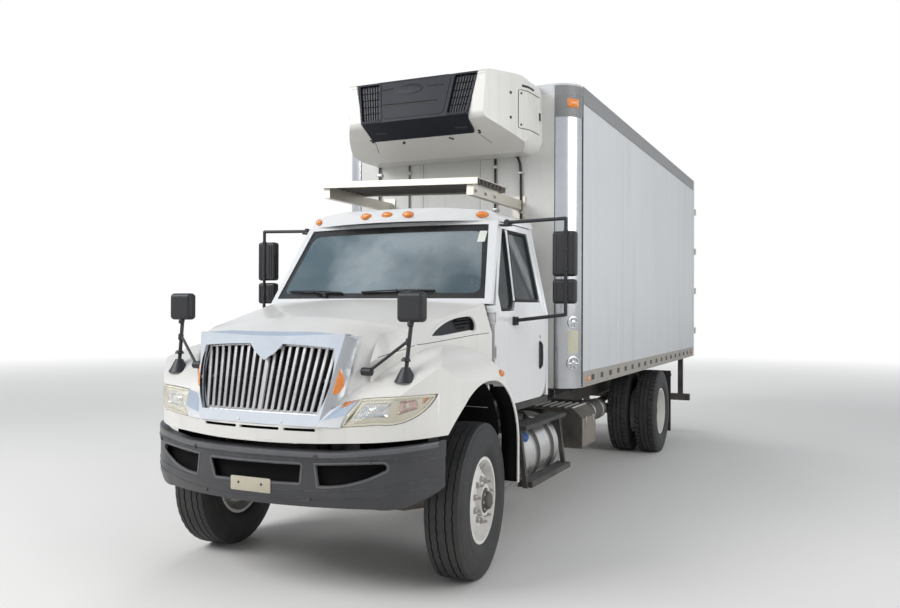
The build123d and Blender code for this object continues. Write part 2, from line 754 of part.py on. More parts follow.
def grille_bars():
    """Vertical bars behind the surround, fanning out upwards, on a ring and a cross rail."""
    foot_z, top_z = OPENING_FOOT_Z + 2, OPENING_TOP_Z + 8
    bars = []
    for n in range(BAR_COUNT):
        share = -1 + 2 * n / (BAR_COUNT - 1)
        foot_x = share * (OPENING_FOOT_HALF - 14)
        top_x = share * (OPENING_TOP_HALF - 14)
        foot = Vector(foot_x, face_y(foot_x, foot_z) + BAR_SET_BACK, foot_z)
        top = Vector(top_x, face_y(top_x, top_z) + BAR_SET_BACK, top_z)
        line = top - foot
        section = Plane(origin=foot, x_dir=(1, 0, 0), z_dir=line) * RectangleRounded(BAR_WIDTH, BAR_DEPTH, 6)
        bars.append(extrude(section, amount=line.length))
    half, mid_z = OPENING_MIDDLE_HALF - 26, 1385
    y_mid, y_side = face_y(0, mid_z) + BAR_SET_BACK, face_y(half, mid_z) + BAR_SET_BACK
    bars.append(up(plan_strip(half, y_mid, y_side, 16), mid_z - 8, mid_z + 8))
    ring = along(grille_opening(46), -1300, -600) - along(grille_opening(-14), -1300, -600)
    bars.append(ring & front_band(HOOD_SHEET, HOOD_SHEET + 16))
    return bars[0].fuse(*bars[1:])


def headlamps():
    """Sealed lamp bodies that fill the openings of the fenders."""
    body = along(lamp_view(-1.5), -1300, -300) & hood_blank(-1)
    return body - hood_blank(30)


def hood_mirrors():
    """Convex mirrors on raked posts, one on each fender, each with a round foot and a strut."""
    foot = (920, -690, 1440)
    head = (935, -640, 1850)
    post = rod(foot, (head[0], head[1], head[2] - 60), 13)
    cone = Pos(920, -690, 1430) * Cone(74, 26, 90)
    strut = rod((925, -666, 1640), (700, -760, 1450), 10)
    pad = rod((650, -760, 1445), (716, -760, 1445), 26)
    shell = fillet((Pos(*head) * Box(190, 80, 190)).edges(), 28)
    outside = (post + cone + strut + pad + shell) - hood_blank(-TINY)
    return both_sides(outside.solids().sort_by(SortBy.VOLUME)[-1])


# Cab


def plan_strip(half, y_mid, y_side, thick):
    """Plan of a curved strip: its middle is ahead of its ends."""
    return outline(
        (-half, y_side),
        ((0, y_mid), (half, y_side)),
        (half, y_side + thick),
        ((0, y_mid + thick), (-half, y_side + thick)),
    )


def raked_sheet(foot_half, head_half, foot_z, head_z, thick, ahead=0):
    """A curved sheet in the windshield's plane, between two heights."""
    rise = WINDSHIELD_HEAD[1] - WINDSHIELD_FOOT[1]
    run = WINDSHIELD_HEAD[0] - WINDSHIELD_FOOT[0]
    faces = []
    for half, z in ((foot_half, foot_z), (head_half, head_z)):
        y = WINDSHIELD_FOOT[0] + run * (z - WINDSHIELD_FOOT[1]) / rise + ahead
        bow = WINDSHIELD_BOW * (half / 976) ** 2
        faces.append(Plane.XY.offset(z) * plan_strip(half, y, y + bow, thick))
    return loft(faces, ruled=True)


def windshield():
    """Curved glass in its frame."""
    return raked_sheet(GLASS_HALF_FOOT - TINY, GLASS_HALF_HEAD - TINY, 1920.2, 2514.8, GLASS, 12)


def cab_front_frame():
    """Windshield frame with both front pillars and the cowl."""
    frame = raked_sheet(1006, 894, 1880, EAVES_Z, 46)
    frame -= raked_sheet(GLASS_HALF_FOOT, GLASS_HALF_HEAD, 1920, 2515, 90, -20)
    return frame


def hinge_ear_levels(z, barrel_half):
    """Lower and upper ear of a hinge, as pairs of foot and top."""
    near, far = barrel_half + EAR_GAP, barrel_half + EAR_THICK
    return ((z - far, z - near), (z + near, z + far))


def cab_firewall():
    """Bulkhead between engine and cab, with the cowl's shelf on top."""
    wall = slab(-FIREWALL_X, FIREWALL_X, CAB_FRONT + 30, CAB_FRONT + 60, CAB_FLOOR_Z, 1840)
    shelf = up(plan_strip(955, 375, 500, 100), 1840, 1870)
    ears = None
    for z in DOOR_HINGE_ZS:
        for low, high in hinge_ear_levels(z, DOOR_BARREL_HALF):
            ear = slab(FIREWALL_X - 20, DOOR_HINGE_X + 8, DOOR_ARM_Y, DOOR_ARM_Y + 8, low, high)
            ear += slab(FIREWALL_X - 20, FIREWALL_X, DOOR_ARM_Y, CAB_FRONT + 40, low, high)
            ear += slab(DOOR_HINGE_X - 8, DOOR_HINGE_X + 8, DOOR_ARM_Y, DOOR_HINGE_Y, low, high)
            ear += rod((DOOR_HINGE_X, DOOR_HINGE_Y, low), (DOOR_HINGE_X, DOOR_HINGE_Y, high), 8)
            ears = ear if ears is None else ears + ear
        reach = DOOR_BARREL_HALF + EAR_THICK
        pin_foot, pin_top = (DOOR_HINGE_X, DOOR_HINGE_Y, z - reach), (DOOR_HINGE_X, DOOR_HINGE_Y, z + reach)
        ears += rod(pin_foot, pin_top, DOOR_PIN_R)
    return wall + shelf + both_sides(ears)


def cab_floor():
    """Floor pan with sills and two cross-beams that rest on the rails."""
    floor = slab(-CAB_INNER_X, CAB_INNER_X, CAB_FRONT + 60, CAB_REAR, CAB_FLOOR_Z, CAB_FLOOR_Z + 40)
    sill_front, sill_foot = DOOR_FRONT + 380, CAB_FLOOR_Z - 60
    sill = slab(CAB_INNER_X, CAB_HALF_WIDTH - 5, sill_front, CAB_REAR, sill_foot, CAB_FLOOR_Z - DOOR_GAP)
    sill += slab(CAB_INNER_X - 40, CAB_INNER_X, sill_front, CAB_REAR, sill_foot, CAB_FLOOR_Z)
    mounts = slab(352, RAIL_OUTER_X, 760, 840, RAIL_TOP, CAB_FLOOR_Z)
    mounts += slab(352, RAIL_OUTER_X, 1560, 1640, RAIL_TOP, CAB_FLOOR_Z)
    return floor + both_sides(sill + mounts)


def side_section(x_shift):
    """Front view of the cab's side, sloping in above the belt."""
    lean = CAB_HALF_WIDTH - CAB_ROOF_HALF_WIDTH
    return [
        (CAB_HALF_WIDTH - x_shift, CAB_FLOOR_Z),
        (CAB_HALF_WIDTH - x_shift, BELT_Z - 60),
        (CAB_HALF_WIDTH - x_shift - lean, EAVES_Z),
    ]


def cab_back():
    """Rear wall with its window, and the corner posts behind the doors."""
    outer = side_section(0)
    ring = [(-x, z) for x, z in outer] + [(x, z) for x, z in reversed(outer)]
    wall = along(make_face(Polyline(*ring, close=True)), CAB_REAR - CAB_SKIN, CAB_REAR)
    wall -= slab(-CAB_INNER_X, CAB_INNER_X, CAB_REAR - 200, CAB_REAR + 1, CAB_FLOOR_Z - 1, CAB_FLOOR_Z + 40)
    wall -= slab(-420, 420, CAB_REAR - 100, CAB_REAR + 10, 1950, 2350)
    post = outer + [(x, z) for x, z in reversed(side_section(DOOR_DEPTH))]
    post_face = make_face(Polyline(*post, close=True))
    return wall + both_sides(along(post_face, DOOR_REAR + DOOR_GAP, CAB_REAR - CAB_SKIN))


def rear_window():
    """Glass in the cab's rear wall."""
    return slab(-419.8, 419.8, CAB_REAR - 24, CAB_REAR - 18, 1950.2, 2349.8)


def roof_blank(inset):
    """The roof's outer form, or with an inset its inner form."""
    half = CAB_ROOF_HALF_WIDTH - inset
    crest = ROOF_CREST - inset
    section = outline(
        (-half - 12, EAVES_Z),
        ((-half + 14, 2608 - inset), (-half + 90, 2628 - inset)),
        ((0, crest), (half - 90, 2628 - inset)),
        ((half - 14, 2608 - inset), (half + 12, EAVES_Z)),
    )
    view = outline(
        (640 + inset, EAVES_Z),
        ((690 + inset, 2622 - inset), (930, 2700)),
        (CAB_REAR - 30, 2700),
        ((CAB_REAR - inset, 2640), (CAB_REAR - inset, EAVES_Z)),
    )
    plan = outline(
        (-half - 12, CAB_REAR - inset),
        (-half - 12, 905 + inset),
        ((0, 655 + inset), (half + 12, 905 + inset)),
        (half + 12, CAB_REAR - inset),
    )
    return along(section, 600, CAB_REAR + 10) & across(view, -1000, 1000) & up(plan, 2500, 2800)


def cab_roof():
    """Domed roof with a visor lip over the windshield."""
    return roof_blank(0) - roof_blank(ROOF_SHEET)


def dashboard():
    """Moulded instrument panel with the steering column and wheel."""
    view = outline(
        (CAB_FRONT + 60, 1480),
        (CAB_FRONT + 60, DASH_TOP),
        ((700, DASH_TOP - 10), (800, 1760)),
        (760, 1560),
        (700, 1480),
    )
    panel = across(view, -930, 930)
    column = rod((450, 740, 1600), (450, 930, 1762), 30)
    tilt = Plane(origin=(450, 930, 1762), z_dir=(0, 0.76, 0.65))
    wheel = tilt * Torus(210, 15)
    wheel += tilt * Box(400, 40, 16)
    return panel + column + wheel


def seats():
    """Driver's seat and a wider passenger seat on pedestals."""
    # Seats: centre across, width
    chairs = None
    for x, width in ((450, 500), (-430, 760)):
        left, right = x - width / 2, x + width / 2
        view = outline(
            (960, 1400),
            (960, 1500),
            ((1150, 1530), (1400, 1500)),
            (1470, 2060),
            ((1510, 2110), (1550, 2060)),
            (1500, 1400),
        )
        chair = across(view, left, right)
        chair += slab(x - 110, x + 110, 1480, 1540, 2100, 2250)
        chair += slab(left + 60, right - 60, 1020, 1420, CAB_FLOOR_Z + 40, 1400)
        chairs = chair if chairs is None else chairs + chair
    return chairs


def door_view(shrink):
    """Side view of a door, cut away at its foot round the wheel arch."""
    front, rear = DOOR_FRONT + shrink, DOOR_REAR - shrink
    foot, top = CAB_FLOOR_Z + shrink, EAVES_Z - DOOR_GAP - shrink
    return outline(
        (front, 1450),
        ((front + 150, 1240), (front + 420, foot)),
        (rear - 150, foot),
        ((rear - 44, foot + 47), (rear, foot + 160)),
        (rear, top),
        (front + 455, top),
        (front + 70, 1890),
        (front + 66, 1872),
        (front, 1866),
    )


def window_view(grow):
    """Side view of the door's window with the fixed quarter light."""
    return outline(
        (DOOR_FRONT + 150 - grow, 1824 - grow),
        (DOOR_FRONT + 412 + grow, 1828 - grow),
        (DOOR_FRONT + 480 + grow, 1898 - grow),
        (DOOR_REAR - 85 + grow, 1900 - grow),
        (DOOR_REAR - 85 + grow, 2490 + grow),
        (DOOR_FRONT + 508, 2490 + grow),
        (DOOR_FRONT + 150 - grow, 1960),
    )


def door_slab(outer_shift, inner_shift):
    """The space between two depths inside the cab's side, on the left."""
    ring = side_section(outer_shift) + list(reversed(side_section(inner_shift)))
    return along(make_face(Polyline(*ring, close=True)), DOOR_FRONT - 10, DOOR_REAR + 10)


def door_shell():
    """Left door with its window cut and the hinge leaves at its front edge."""
    door = door_slab(0, DOOR_DEPTH) & across(door_view(0), 700, 1200)
    door -= across(window_view(0), 700, 1200)
    for z in DOOR_HINGE_ZS:
        low, high = z - DOOR_BARREL_HALF, z + DOOR_BARREL_HALF
        foot, top = (DOOR_HINGE_X, DOOR_HINGE_Y, low - 1), (DOOR_HINGE_X, DOOR_HINGE_Y, high + 1)
        door += slab(CAB_HALF_WIDTH - 6, DOOR_HINGE_X, DOOR_HINGE_Y, DOOR_HINGE_Y + 40, low, high)
        door += rod((DOOR_HINGE_X, DOOR_HINGE_Y, low), (DOOR_HINGE_X, DOOR_HINGE_Y, high), 9)
        door -= rod(foot, top, DOOR_PIN_R + PIN_FIT)
    return door


def door_glass():
    """Left door's glass."""
    return door_slab(24, 30) & across(window_view(-0.5), 700, 1200)


def door_mirror():
    """Two mirror heads on a looped arm, on the left door."""
    arm = rod((930, MIRROR_Y - 10, 2528), (MIRROR_X, MIRROR_Y, 2543), MIRROR_ARM_R)
    arm += rod((MIRROR_X, MIRROR_Y, 2550), (MIRROR_X, MIRROR_Y, 1790), MIRROR_ARM_R)
    arm += rod((MIRROR_X, MIRROR_Y, 1800), (CAB_HALF_WIDTH + 8, MIRROR_Y - 60, 1752), MIRROR_ARM_R)
    arm += slab(CAB_HALF_WIDTH, CAB_HALF_WIDTH + 30, MIRROR_Y - 90, MIRROR_Y - 30, 1715, 1782)
    upper = Pos(MIRROR_X - 18, MIRROR_Y + 40, 2272) * Box(190, 80, 350)
    upper = fillet(upper.edges(), 24)
    lower = Pos(MIRROR_X - 18, MIRROR_Y + 40, 1980) * Box(186, 80, 190)
    lower = fillet(lower.edges(), 24)
    return arm + upper + lower


# Insulated body


def box_floor():
    """Insulated floor on two long sills."""
    half = BOX_HALF_WIDTH - BOX_WALL
    rear = BOX_REAR - REAR_FRAME_DEPTH
    floor = slab(-half, half, BOX_FRONT + BOX_WALL, rear, BOX_BOTTOM, BOX_BOTTOM + BOX_FLOOR_DEPTH)
    floor = fillet(floor.edges().filter_by(Axis.Z).group_by(Axis.Y)[0], CORNER_R - BOX_WALL + TINY)
    sill = slab(360, RAIL_OUTER_X, BOX_FRONT + 150, RAIL_REAR - 20, RAIL_TOP, BOX_BOTTOM)
    return floor + both_sides(sill)


def box_front_wall():
    """Flat front wall between the round corner posts."""
    half = BOX_HALF_WIDTH - CORNER_R
    return slab(-half, half, BOX_FRONT, BOX_FRONT + BOX_WALL, BOX_BOTTOM, BOX_TOP - BOX_ROOF_DEPTH)


def corner_posts():
    """Quarter-round polished corner posts with grey caps above."""
    centre_x, centre_y = BOX_HALF_WIDTH - CORNER_R, BOX_FRONT + CORNER_R
    inner = CORNER_R - BOX_WALL
    root = CORNER_R * cos(radians(45))
    inner_root = inner * cos(radians(45))
    section = outline(
        (centre_x, BOX_FRONT),
        ((centre_x + root, centre_y - root), (BOX_HALF_WIDTH, centre_y)),
        (BOX_HALF_WIDTH - BOX_WALL, centre_y),
        ((centre_x + inner_root, centre_y - inner_root), (centre_x, BOX_FRONT + BOX_WALL)),
    )
    return both_sides(up(section, BOX_BOTTOM, BOX_TOP - BOX_ROOF_DEPTH))


def box_side():
    """Left side wall behind the corner post."""
    x0, x1 = BOX_HALF_WIDTH - BOX_WALL, BOX_HALF_WIDTH - SKIN_SET_BACK
    y0, y1 = BOX_FRONT + CORNER_R, BOX_REAR - REAR_FRAME_DEPTH
    return slab(x0, x1, y0, y1, BOX_BOTTOM, BOX_TOP - BOX_ROOF_DEPTH)


def box_roof():
    """Insulated roof slab with round front corners."""
    half = BOX_HALF_WIDTH - SKIN_SET_BACK
    roof = slab(-half, half, BOX_FRONT, BOX_REAR - REAR_FRAME_DEPTH, BOX_TOP - BOX_ROOF_DEPTH, BOX_TOP)
    corners = roof.edges().filter_by(Axis.Z).group_by(Axis.Y)[0]
    return fillet(corners, CORNER_R - SKIN_SET_BACK)


def box_rails():
    """Raised rails along the top and foot of both side walls."""
    x0, x1 = BOX_HALF_WIDTH - SKIN_SET_BACK, BOX_HALF_WIDTH
    y0, y1 = BOX_FRONT + CORNER_R, BOX_REAR - REAR_FRAME_DEPTH
    rails = slab(x0, x1, y0, y1, BOX_TOP - TOP_RAIL_HEIGHT, BOX_TOP)
    rails += slab(x0, x1, y0, y1, BOX_BOTTOM, BOX_BOTTOM + LOW_RAIL_HEIGHT)
    return both_sides(rails)


def rear_frame():
    """Steel portal round the rear doors, with hinge ears."""
    half = BOX_HALF_WIDTH
    y0 = BOX_REAR - REAR_FRAME_DEPTH
    frame = slab(-half, half, y0, BOX_REAR, BOX_BOTTOM, BOX_TOP)
    sill_top = BOX_BOTTOM + BOX_FLOOR_DEPTH
    frame -= slab(-half + REAR_POST, half - REAR_POST, y0 - 1, BOX_REAR + 1, sill_top, BOX_TOP - REAR_HEADER)
    hinge_y = BOX_REAR + REAR_HINGE_OUT
    ears = None
    for z in rear_hinge_levels():
        for low, high in hinge_ear_levels(z, REAR_BARREL_HALF):
            ear = slab(half - 30, REAR_HINGE_X, BOX_REAR - 10, hinge_y, low, high)
            ear += rod((REAR_HINGE_X, hinge_y, low), (REAR_HINGE_X, hinge_y, high), 12)
            ears = ear if ears is None else ears + ear
        reach = REAR_BARREL_HALF + EAR_THICK
        pin_foot, pin_top = (REAR_HINGE_X, hinge_y, z - reach), (REAR_HINGE_X, hinge_y, z + reach)
        ears += rod(pin_foot, pin_top, REAR_PIN_R)
    return frame + both_sides(ears)


def rear_hinge_levels():
    """Heights of the hinges on each rear door."""
    span = REAR_DOOR_HIGH - REAR_DOOR_LOW - 400
    return [REAR_DOOR_LOW + 200 + n * span / (REAR_HINGES - 1) for n in range(REAR_HINGES)]


def rear_door():
    """Left rear door with hinge straps, lock rods and their cams."""
    outer = BOX_HALF_WIDTH - REAR_POST - REAR_DOOR_GAP
    y_face = BOX_REAR - 2
    door = slab(REAR_DOOR_MEET, outer, y_face - REAR_DOOR_DEPTH, y_face, REAR_DOOR_LOW, REAR_DOOR_HIGH)
    hinge_y = BOX_REAR + REAR_HINGE_OUT
    for z in rear_hinge_levels():
        low, high = z - REAR_BARREL_HALF, z + REAR_BARREL_HALF
        door += slab(outer - 160, outer - 8, y_face, BOX_REAR + 8, low, high)
        door += slab(outer - 60, REAR_HINGE_X, hinge_y - 6, hinge_y + 6, low, high)
        door += slab(outer - 60, outer - 40, y_face, hinge_y, low, high)
        door += rod((REAR_HINGE_X, hinge_y, low), (REAR_HINGE_X, hinge_y, high), 13)
        foot, top = (REAR_HINGE_X, hinge_y, low - 1), (REAR_HINGE_X, hinge_y, high + 1)
        door -= rod(foot, top, REAR_PIN_R + PIN_FIT)
    for x in (130, 560):
        door += rod((x, BOX_REAR + 26, REAR_DOOR_LOW + 4), (x, BOX_REAR + 26, REAR_DOOR_HIGH - 4), LOCK_ROD_R)
        for z in (REAR_DOOR_LOW + 120, REAR_DOOR_LOW + 1100, REAR_DOOR_HIGH - 160):
            door += slab(x - 30, x + 30, y_face, BOX_REAR + 30, z, z + 50)
        door += slab(x, x + 300, BOX_REAR + 20, BOX_REAR + 36, REAR_DOOR_LOW + 820, REAR_DOOR_LOW + 850)
    return door


# Refrigeration unit and deck


def panel_view():
    """Front view of the unit's dark panel, narrower below its kink."""
    foot = UNIT_KINK - 141
    half_foot = PANEL_KINK_HALF - 24
    points = [
        (-half_foot, foot),
        (half_foot, foot),
        (PANEL_KINK_HALF, UNIT_KINK),
        (PANEL_TOP_HALF + 10, UNIT_TOP + 30),
        (-PANEL_TOP_HALF - 10, UNIT_TOP + 30),
        (-PANEL_KINK_HALF, UNIT_KINK),
    ]
    return make_face(Polyline(*points, close=True))


def panel_face(behind):
    """Side view of everything ahead of the unit's panel plane, moved back by a distance."""
    top = UNIT_TOP + 20
    kink_y = UNIT_NOSE - PANEL_SHEET + behind
    top_y = kink_y + PANEL_LEAN * (top - UNIT_KINK)
    return make_face(Polyline((1000, UNIT_KINK), (kink_y, UNIT_KINK), (top_y, top), (1000, top), close=True))


def unit_housing():
    """Moulded housing of the refrigeration unit: narrow at its nose, wide at the wall."""
    view = outline(
        (BOX_FRONT - TINY, UNIT_TOP),
        (UNIT_NOSE + 60, UNIT_TOP - 14),
        ((UNIT_NOSE + 24, UNIT_TOP - 30), (UNIT_NOSE + 20, UNIT_TOP - 60)),
        (UNIT_NOSE, UNIT_KINK + 30),
        ((UNIT_NOSE + 6, UNIT_KINK - 10), (UNIT_NOSE + 40, UNIT_KINK - 40)),
        (UNIT_NOSE + 190, UNIT_KINK - 105),
        (UNIT_NOSE + 560, UNIT_BOTTOM),
        (BOX_FRONT - TINY, UNIT_BOTTOM),
    )
    plan = outline(
        (-UNIT_HALF_WIDTH, BOX_FRONT - TINY),
        (-UNIT_HALF_WIDTH, 1620),
        ((-803, 1390), (-UNIT_NOSE_HALF_WIDTH, UNIT_NOSE - 18)),
        (UNIT_NOSE_HALF_WIDTH, UNIT_NOSE - 18),
        ((803, 1390), (UNIT_HALF_WIDTH, 1620)),
        (UNIT_HALF_WIDTH, BOX_FRONT - TINY),
    )
    edge = UNIT_HALF_WIDTH - 12
    front = outline(
        (-700, UNIT_BOTTOM),
        ((-860, UNIT_BOTTOM + 45), (-UNIT_HALF_WIDTH, UNIT_BOTTOM + 160)),
        (-edge, UNIT_TOP - 60),
        ((-edge + 18, UNIT_TOP - 18), (-edge + 60, UNIT_TOP)),
        (edge - 60, UNIT_TOP),
        ((edge - 18, UNIT_TOP - 18), (edge, UNIT_TOP - 60)),
        (UNIT_HALF_WIDTH, UNIT_BOTTOM + 160),
        ((860, UNIT_BOTTOM + 45), (700, UNIT_BOTTOM)),
    )
    housing = across(view, -1000, 1000) & up(plan, 3100, 3950) & along(front, 1000, 2000)
    recess = across(panel_face(PANEL_SHEET), -PANEL_TOP_HALF, PANEL_TOP_HALF) & along(panel_view(), 900, 1400)
    return housing - recess


def unit_grille(housing):
    """Dark front panel of the unit, with an air opening each side of a raised middle."""
    kink_y = UNIT_NOSE - PANEL_SHEET
    top_y = kink_y + PANEL_LEAN * (UNIT_TOP - 16 - UNIT_KINK)
    section = make_face(
        Polyline(
            (top_y, UNIT_TOP - 16),
            (kink_y, UNIT_KINK),
            (UNIT_NOSE + 160, UNIT_KINK - 126),
            (UNIT_NOSE + 176, UNIT_KINK - 112),
            (UNIT_NOSE + 60, UNIT_KINK),
            (top_y + 60, UNIT_TOP - 16),
            close=True,
        )
    )
    plate = across(section, -PANEL_TOP_HALF, PANEL_TOP_HALF) & along(panel_view(), 1000, 1400)
    # Left air opening, seen from ahead; it is sunk into the plate
    opening = outline((330, 3504), (372, 3838), (572, 3838), (504, 3504))
    sunk = both_sides(along(opening, 1000, 1400)) & across(panel_face(PANEL_SHEET - 6), -700, 700)
    return (plate - housing) - sunk


def catwalk():
    """Aluminium deck plank over the cab, on two arms from the front wall."""
    half, foot = DECK_HALF_WIDTH, DECK_TOP - DECK_DEPTH
    deck = slab(-half, half, DECK_FRONT, DECK_REAR, foot, DECK_TOP)
    inner_front, inner_rear = DECK_FRONT + DECK_SHEET, DECK_REAR - DECK_SHEET
    deck -= slab(-half - 1, half + 1, inner_front, inner_rear, foot - 1, DECK_TOP - DECK_SHEET)
    for x in (-DECK_ARM_X, DECK_ARM_X):
        near, far = x - DECK_ARM_WIDTH / 2, x + DECK_ARM_WIDTH / 2
        deck += slab(near, far, DECK_FRONT + 30, BOX_FRONT, foot - DECK_ARM_HEIGHT, foot)
        deck += slab(near, far, DECK_FRONT + 30, DECK_REAR - 30, foot, DECK_TOP - DECK_SHEET)
        deck += slab(x - 60, x + 60, BOX_FRONT - 12, BOX_FRONT, foot - 230, foot + 40)
    return Pos(0, 0, DECK_TOP) * Rot(0, DECK_TILT_DEG, 0) * Pos(0, 0, -DECK_TOP) * deck


# Wheels. Each is drawn at the origin with its spin axis along X and its outer face towards +X.


def tyre():
    """A tyre with a flat tread and bulging sidewalls."""
    half = TYRE_WIDTH / 2
    tread = half - 22
    section = outline(
        (-RIM_WIDTH / 2 + 14, RIM_LIP_R - 4),
        ((-half, 400), (-tread - 10, TYRE_R - 30)),
        (-tread, TYRE_R),
        (tread, TYRE_R),
        (tread + 10, TYRE_R - 30),
        ((half, 400), (RIM_WIDTH / 2 - 14, RIM_LIP_R - 4)),
    )
    return revolve(Plane.XZ * section, Axis.X)


def ring(x0, x1, r0, r1):
    """A ring about the wheel's axis."""
    return rod((x0, 0, 0), (x1, 0, 0), r1) - rod((x0 - 1, 0, 0), (x1 + 1, 0, 0), r0)


def rim(disc_points):
    """A rim barrel with lips, and a disc whose half section is given by points (x, radius)."""
    half = RIM_WIDTH / 2
    barrel = outline(
        (-half, RIM_LIP_R - 4),
        (-half + 14, RIM_LIP_R - 4 - TYRE_FIT),
        (-half + 14, RIM_SEAT_R),
        (half - 14, RIM_SEAT_R),
        (half - 14, RIM_LIP_R - 4 - TYRE_FIT),
        (half, RIM_LIP_R - 4),
        (half, RIM_SEAT_R - 12),
        (-half, RIM_SEAT_R - 12),
    )
    disc = make_face(Polyline(*disc_points, close=True))
    return revolve(Plane.XZ * barrel, Axis.X) + revolve(Plane.XZ * disc, Axis.X)


def hand_holes(shape, count, radius, hole_r, x0, x1):
    """Cuts round hand holes through a disc."""
    for n in range(count):
        angle = radians(215 + n * 360 / count)
        y, z = radius * cos(angle), radius * sin(angle)
        shape -= rod((x0, y, z), (x1, y, z), hole_r)
    return shape


def front_wheel():
    """Steel wheel with its disc near the outer face, hub and brake drum."""
    face = FRONT_DISC_X
    disc = [
        (face, HUB_R - 2), (face, 175), (face - 22, 200), (20, RIM_SEAT_R - 8),
        (0, RIM_SEAT_R - 8), (face - 36, 196), (face - 12, 170), (face - 12, HUB_R - 2),
    ]
    wheel = hand_holes(rim(disc), 2, 232, HAND_HOLE_R, -20, face + 20)
    hub = rod((-80, 0, 0), (face - 12, 0, 0), 172) + rod((face - 14, 0, 0), (face + 34, 0, 0), HUB_R - 4)
    hub -= rod((face + 4, 0, 0), (face + 40, 0, 0), HUB_R - 22)
    drum = rod((-95, 0, 0), (-10, 0, 0), DRUM_R) - rod((-96, 0, 0), (-30, 0, 0), DRUM_R - 16)
    hub -= rod((-96, 0, 0), (-30, 0, 0), SPINDLE_R + PIN_FIT)
    return wheel + hub + drum


def knuckle():
    """Steering knuckle: yoke round the kingpin, backing plate and spindle."""
    yoke = rod((0, 0, 64), (0, 0, 110), 44) + rod((0, 0, -110), (0, 0, -64), 44)
    yoke += rod((0, 0, -110), (0, 0, 110), KINGPIN_R)
    reach = FRONT_WHEEL_X - KINGPIN_X
    yoke += slab(0, 52, -40, 40, 64, 110) + slab(0, 52, -40, 40, -110, -64)
    yoke += slab(52, 64, -110, 110, -110, 110)
    spindle = rod((60, 0, 0), (reach - 31, 0, 0), SPINDLE_R)
    arm = slab(10, 40, 30, 230, -100, -70)
    return yoke + spindle + arm


def rear_wheel_pair():
    """Inner and outer rims of a twin with hub and drum; the outer tyre's middle is at X = 0."""
    outer_disc = [
        (-150, HUB_R), (-150, 175), (-120, 215), (-60, RIM_SEAT_R - 8),
        (-80, RIM_SEAT_R - 8), (-134, 208), (-162, 170), (-162, HUB_R),
    ]
    outer = hand_holes(rim(outer_disc), 2, 238, HAND_HOLE_R, -170, 20)
    inner_disc = [(-x, r) for x, r in outer_disc]
    inner = Pos(-TWIN_SPACING, 0, 0) * hand_holes(rim(inner_disc), 2, 238, HAND_HOLE_R, -20, 170)
    hub = rod((-240, 0, 0), (-90, 0, 0), 165) + rod((-92, 0, 0), (20, 0, 0), HUB_R)
    drum = rod((-400, 0, 0), (-215, 0, 0), DRUM_R) - rod((-401, 0, 0), (-235, 0, 0), DRUM_R - 16)
    return outer + inner + (hub + drum - rod((-260, 0, 0), (-36, 0, 0), AXLE_STUB_R + PIN_FIT))


def place_front(shape, side):
    """Puts a wheel piece on its steered spindle. Side is 1 on the left and -1 on the right."""
    reach = FRONT_WHEEL_X - KINGPIN_X
    piece = Pos(reach, 0, 0) * shape
    if side < 0:
        piece = mirror(piece, Plane.YZ)
    return Pos(side * KINGPIN_X, 0, TYRE_R) * Rot(0, 0, STEER_REST_DEG) * piece


def place_knuckle(side):
    """Puts a knuckle on its kingpin."""
    piece = knuckle() if side > 0 else mirror(knuckle(), Plane.YZ)
    return Pos(side * KINGPIN_X, 0, TYRE_R) * Rot(0, 0, STEER_REST_DEG) * piece


def place_rear(shape, side):
    """Puts a twin wheel piece on the rear axle."""
    piece = Pos(REAR_OUTER_X, 0, 0) * shape
    if side < 0:
        piece = mirror(piece, Plane.YZ)
    return Pos(0, WHEELBASE, TYRE_R) * piece


save("frame_rails", frame_rails())
save("front_axle", front_axle())
save("rear_axle", rear_axle())
save("engine", engine())
save("radiator", radiator())
save("drive_line", drive_line())
save("exhaust", exhaust())
save("fuel_tank", fuel_tank())
save("cab_steps", cab_steps())
save("chassis_locker", chassis_locker())
save("air_tank", air_tank())
save("mud_flaps", mud_flaps())
save("rear_guard", rear_guard())
save("front_bumper", front_bumper())
mouldings = hood_mouldings()
save("hood_shell", hood_shell(mouldings))
save("fender_panels", mouldings & panel_space())
save("arch_lips", mouldings & lip_space())
save("grille_surround", grille_surround())
save("grille_bars", grille_bars())
save("headlamps", both_sides(headlamps()))
save("hood_mirrors", hood_mirrors())
save("windshield", windshield())
save("cab_front_frame", cab_front_frame())
save("cab_firewall", cab_firewall())
save("cab_floor", cab_floor())
save("cab_back", cab_back())
save("rear_window", rear_window())
save("cab_roof", cab_roof())
save("dashboard", dashboard())
save("seats", seats())
save("box_floor", box_floor())
save("box_front_wall", box_front_wall())
save("corner_posts", corner_posts())
save("box_roof", box_roof())
save("box_rails", box_rails())
save("rear_frame", rear_frame())
housing = unit_housing()
save("unit_housing", housing)
save("unit_grille", unit_grille(housing))
save("catwalk", catwalk())
for name, make in (
    ("door", door_shell),
    ("door_glass", door_glass),
    ("door_mirror", door_mirror),
    ("box_side", box_side),
    ("rear_door", rear_door),
):
    piece = make()
    save(f"{name}_left", piece)
    save(f"{name}_right", mirror(piece, Plane.YZ))
front_tyre, front_rim = tyre(), front_wheel()
rear_rims = rear_wheel_pair()
rear_tyres = front_tyre + Pos(-TWIN_SPACING, 0, 0) * front_tyre
for side, word in ((1, "left"), (-1, "right")):
    save(f"knuckle_{word}", place_knuckle(side))
    save(f"tyre_front_{word}", place_front(front_tyre, side))
    save(f"wheel_front_{word}", place_front(front_rim, side))
    save(f"tyres_rear_{word}", place_rear(rear_tyres, side))
    save(f"wheels_rear_{word}", place_rear(rear_rims, side))
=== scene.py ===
"""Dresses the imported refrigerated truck: finishes for the CAD nodes, and the pieces that CAD leaves out."""

import json
import math

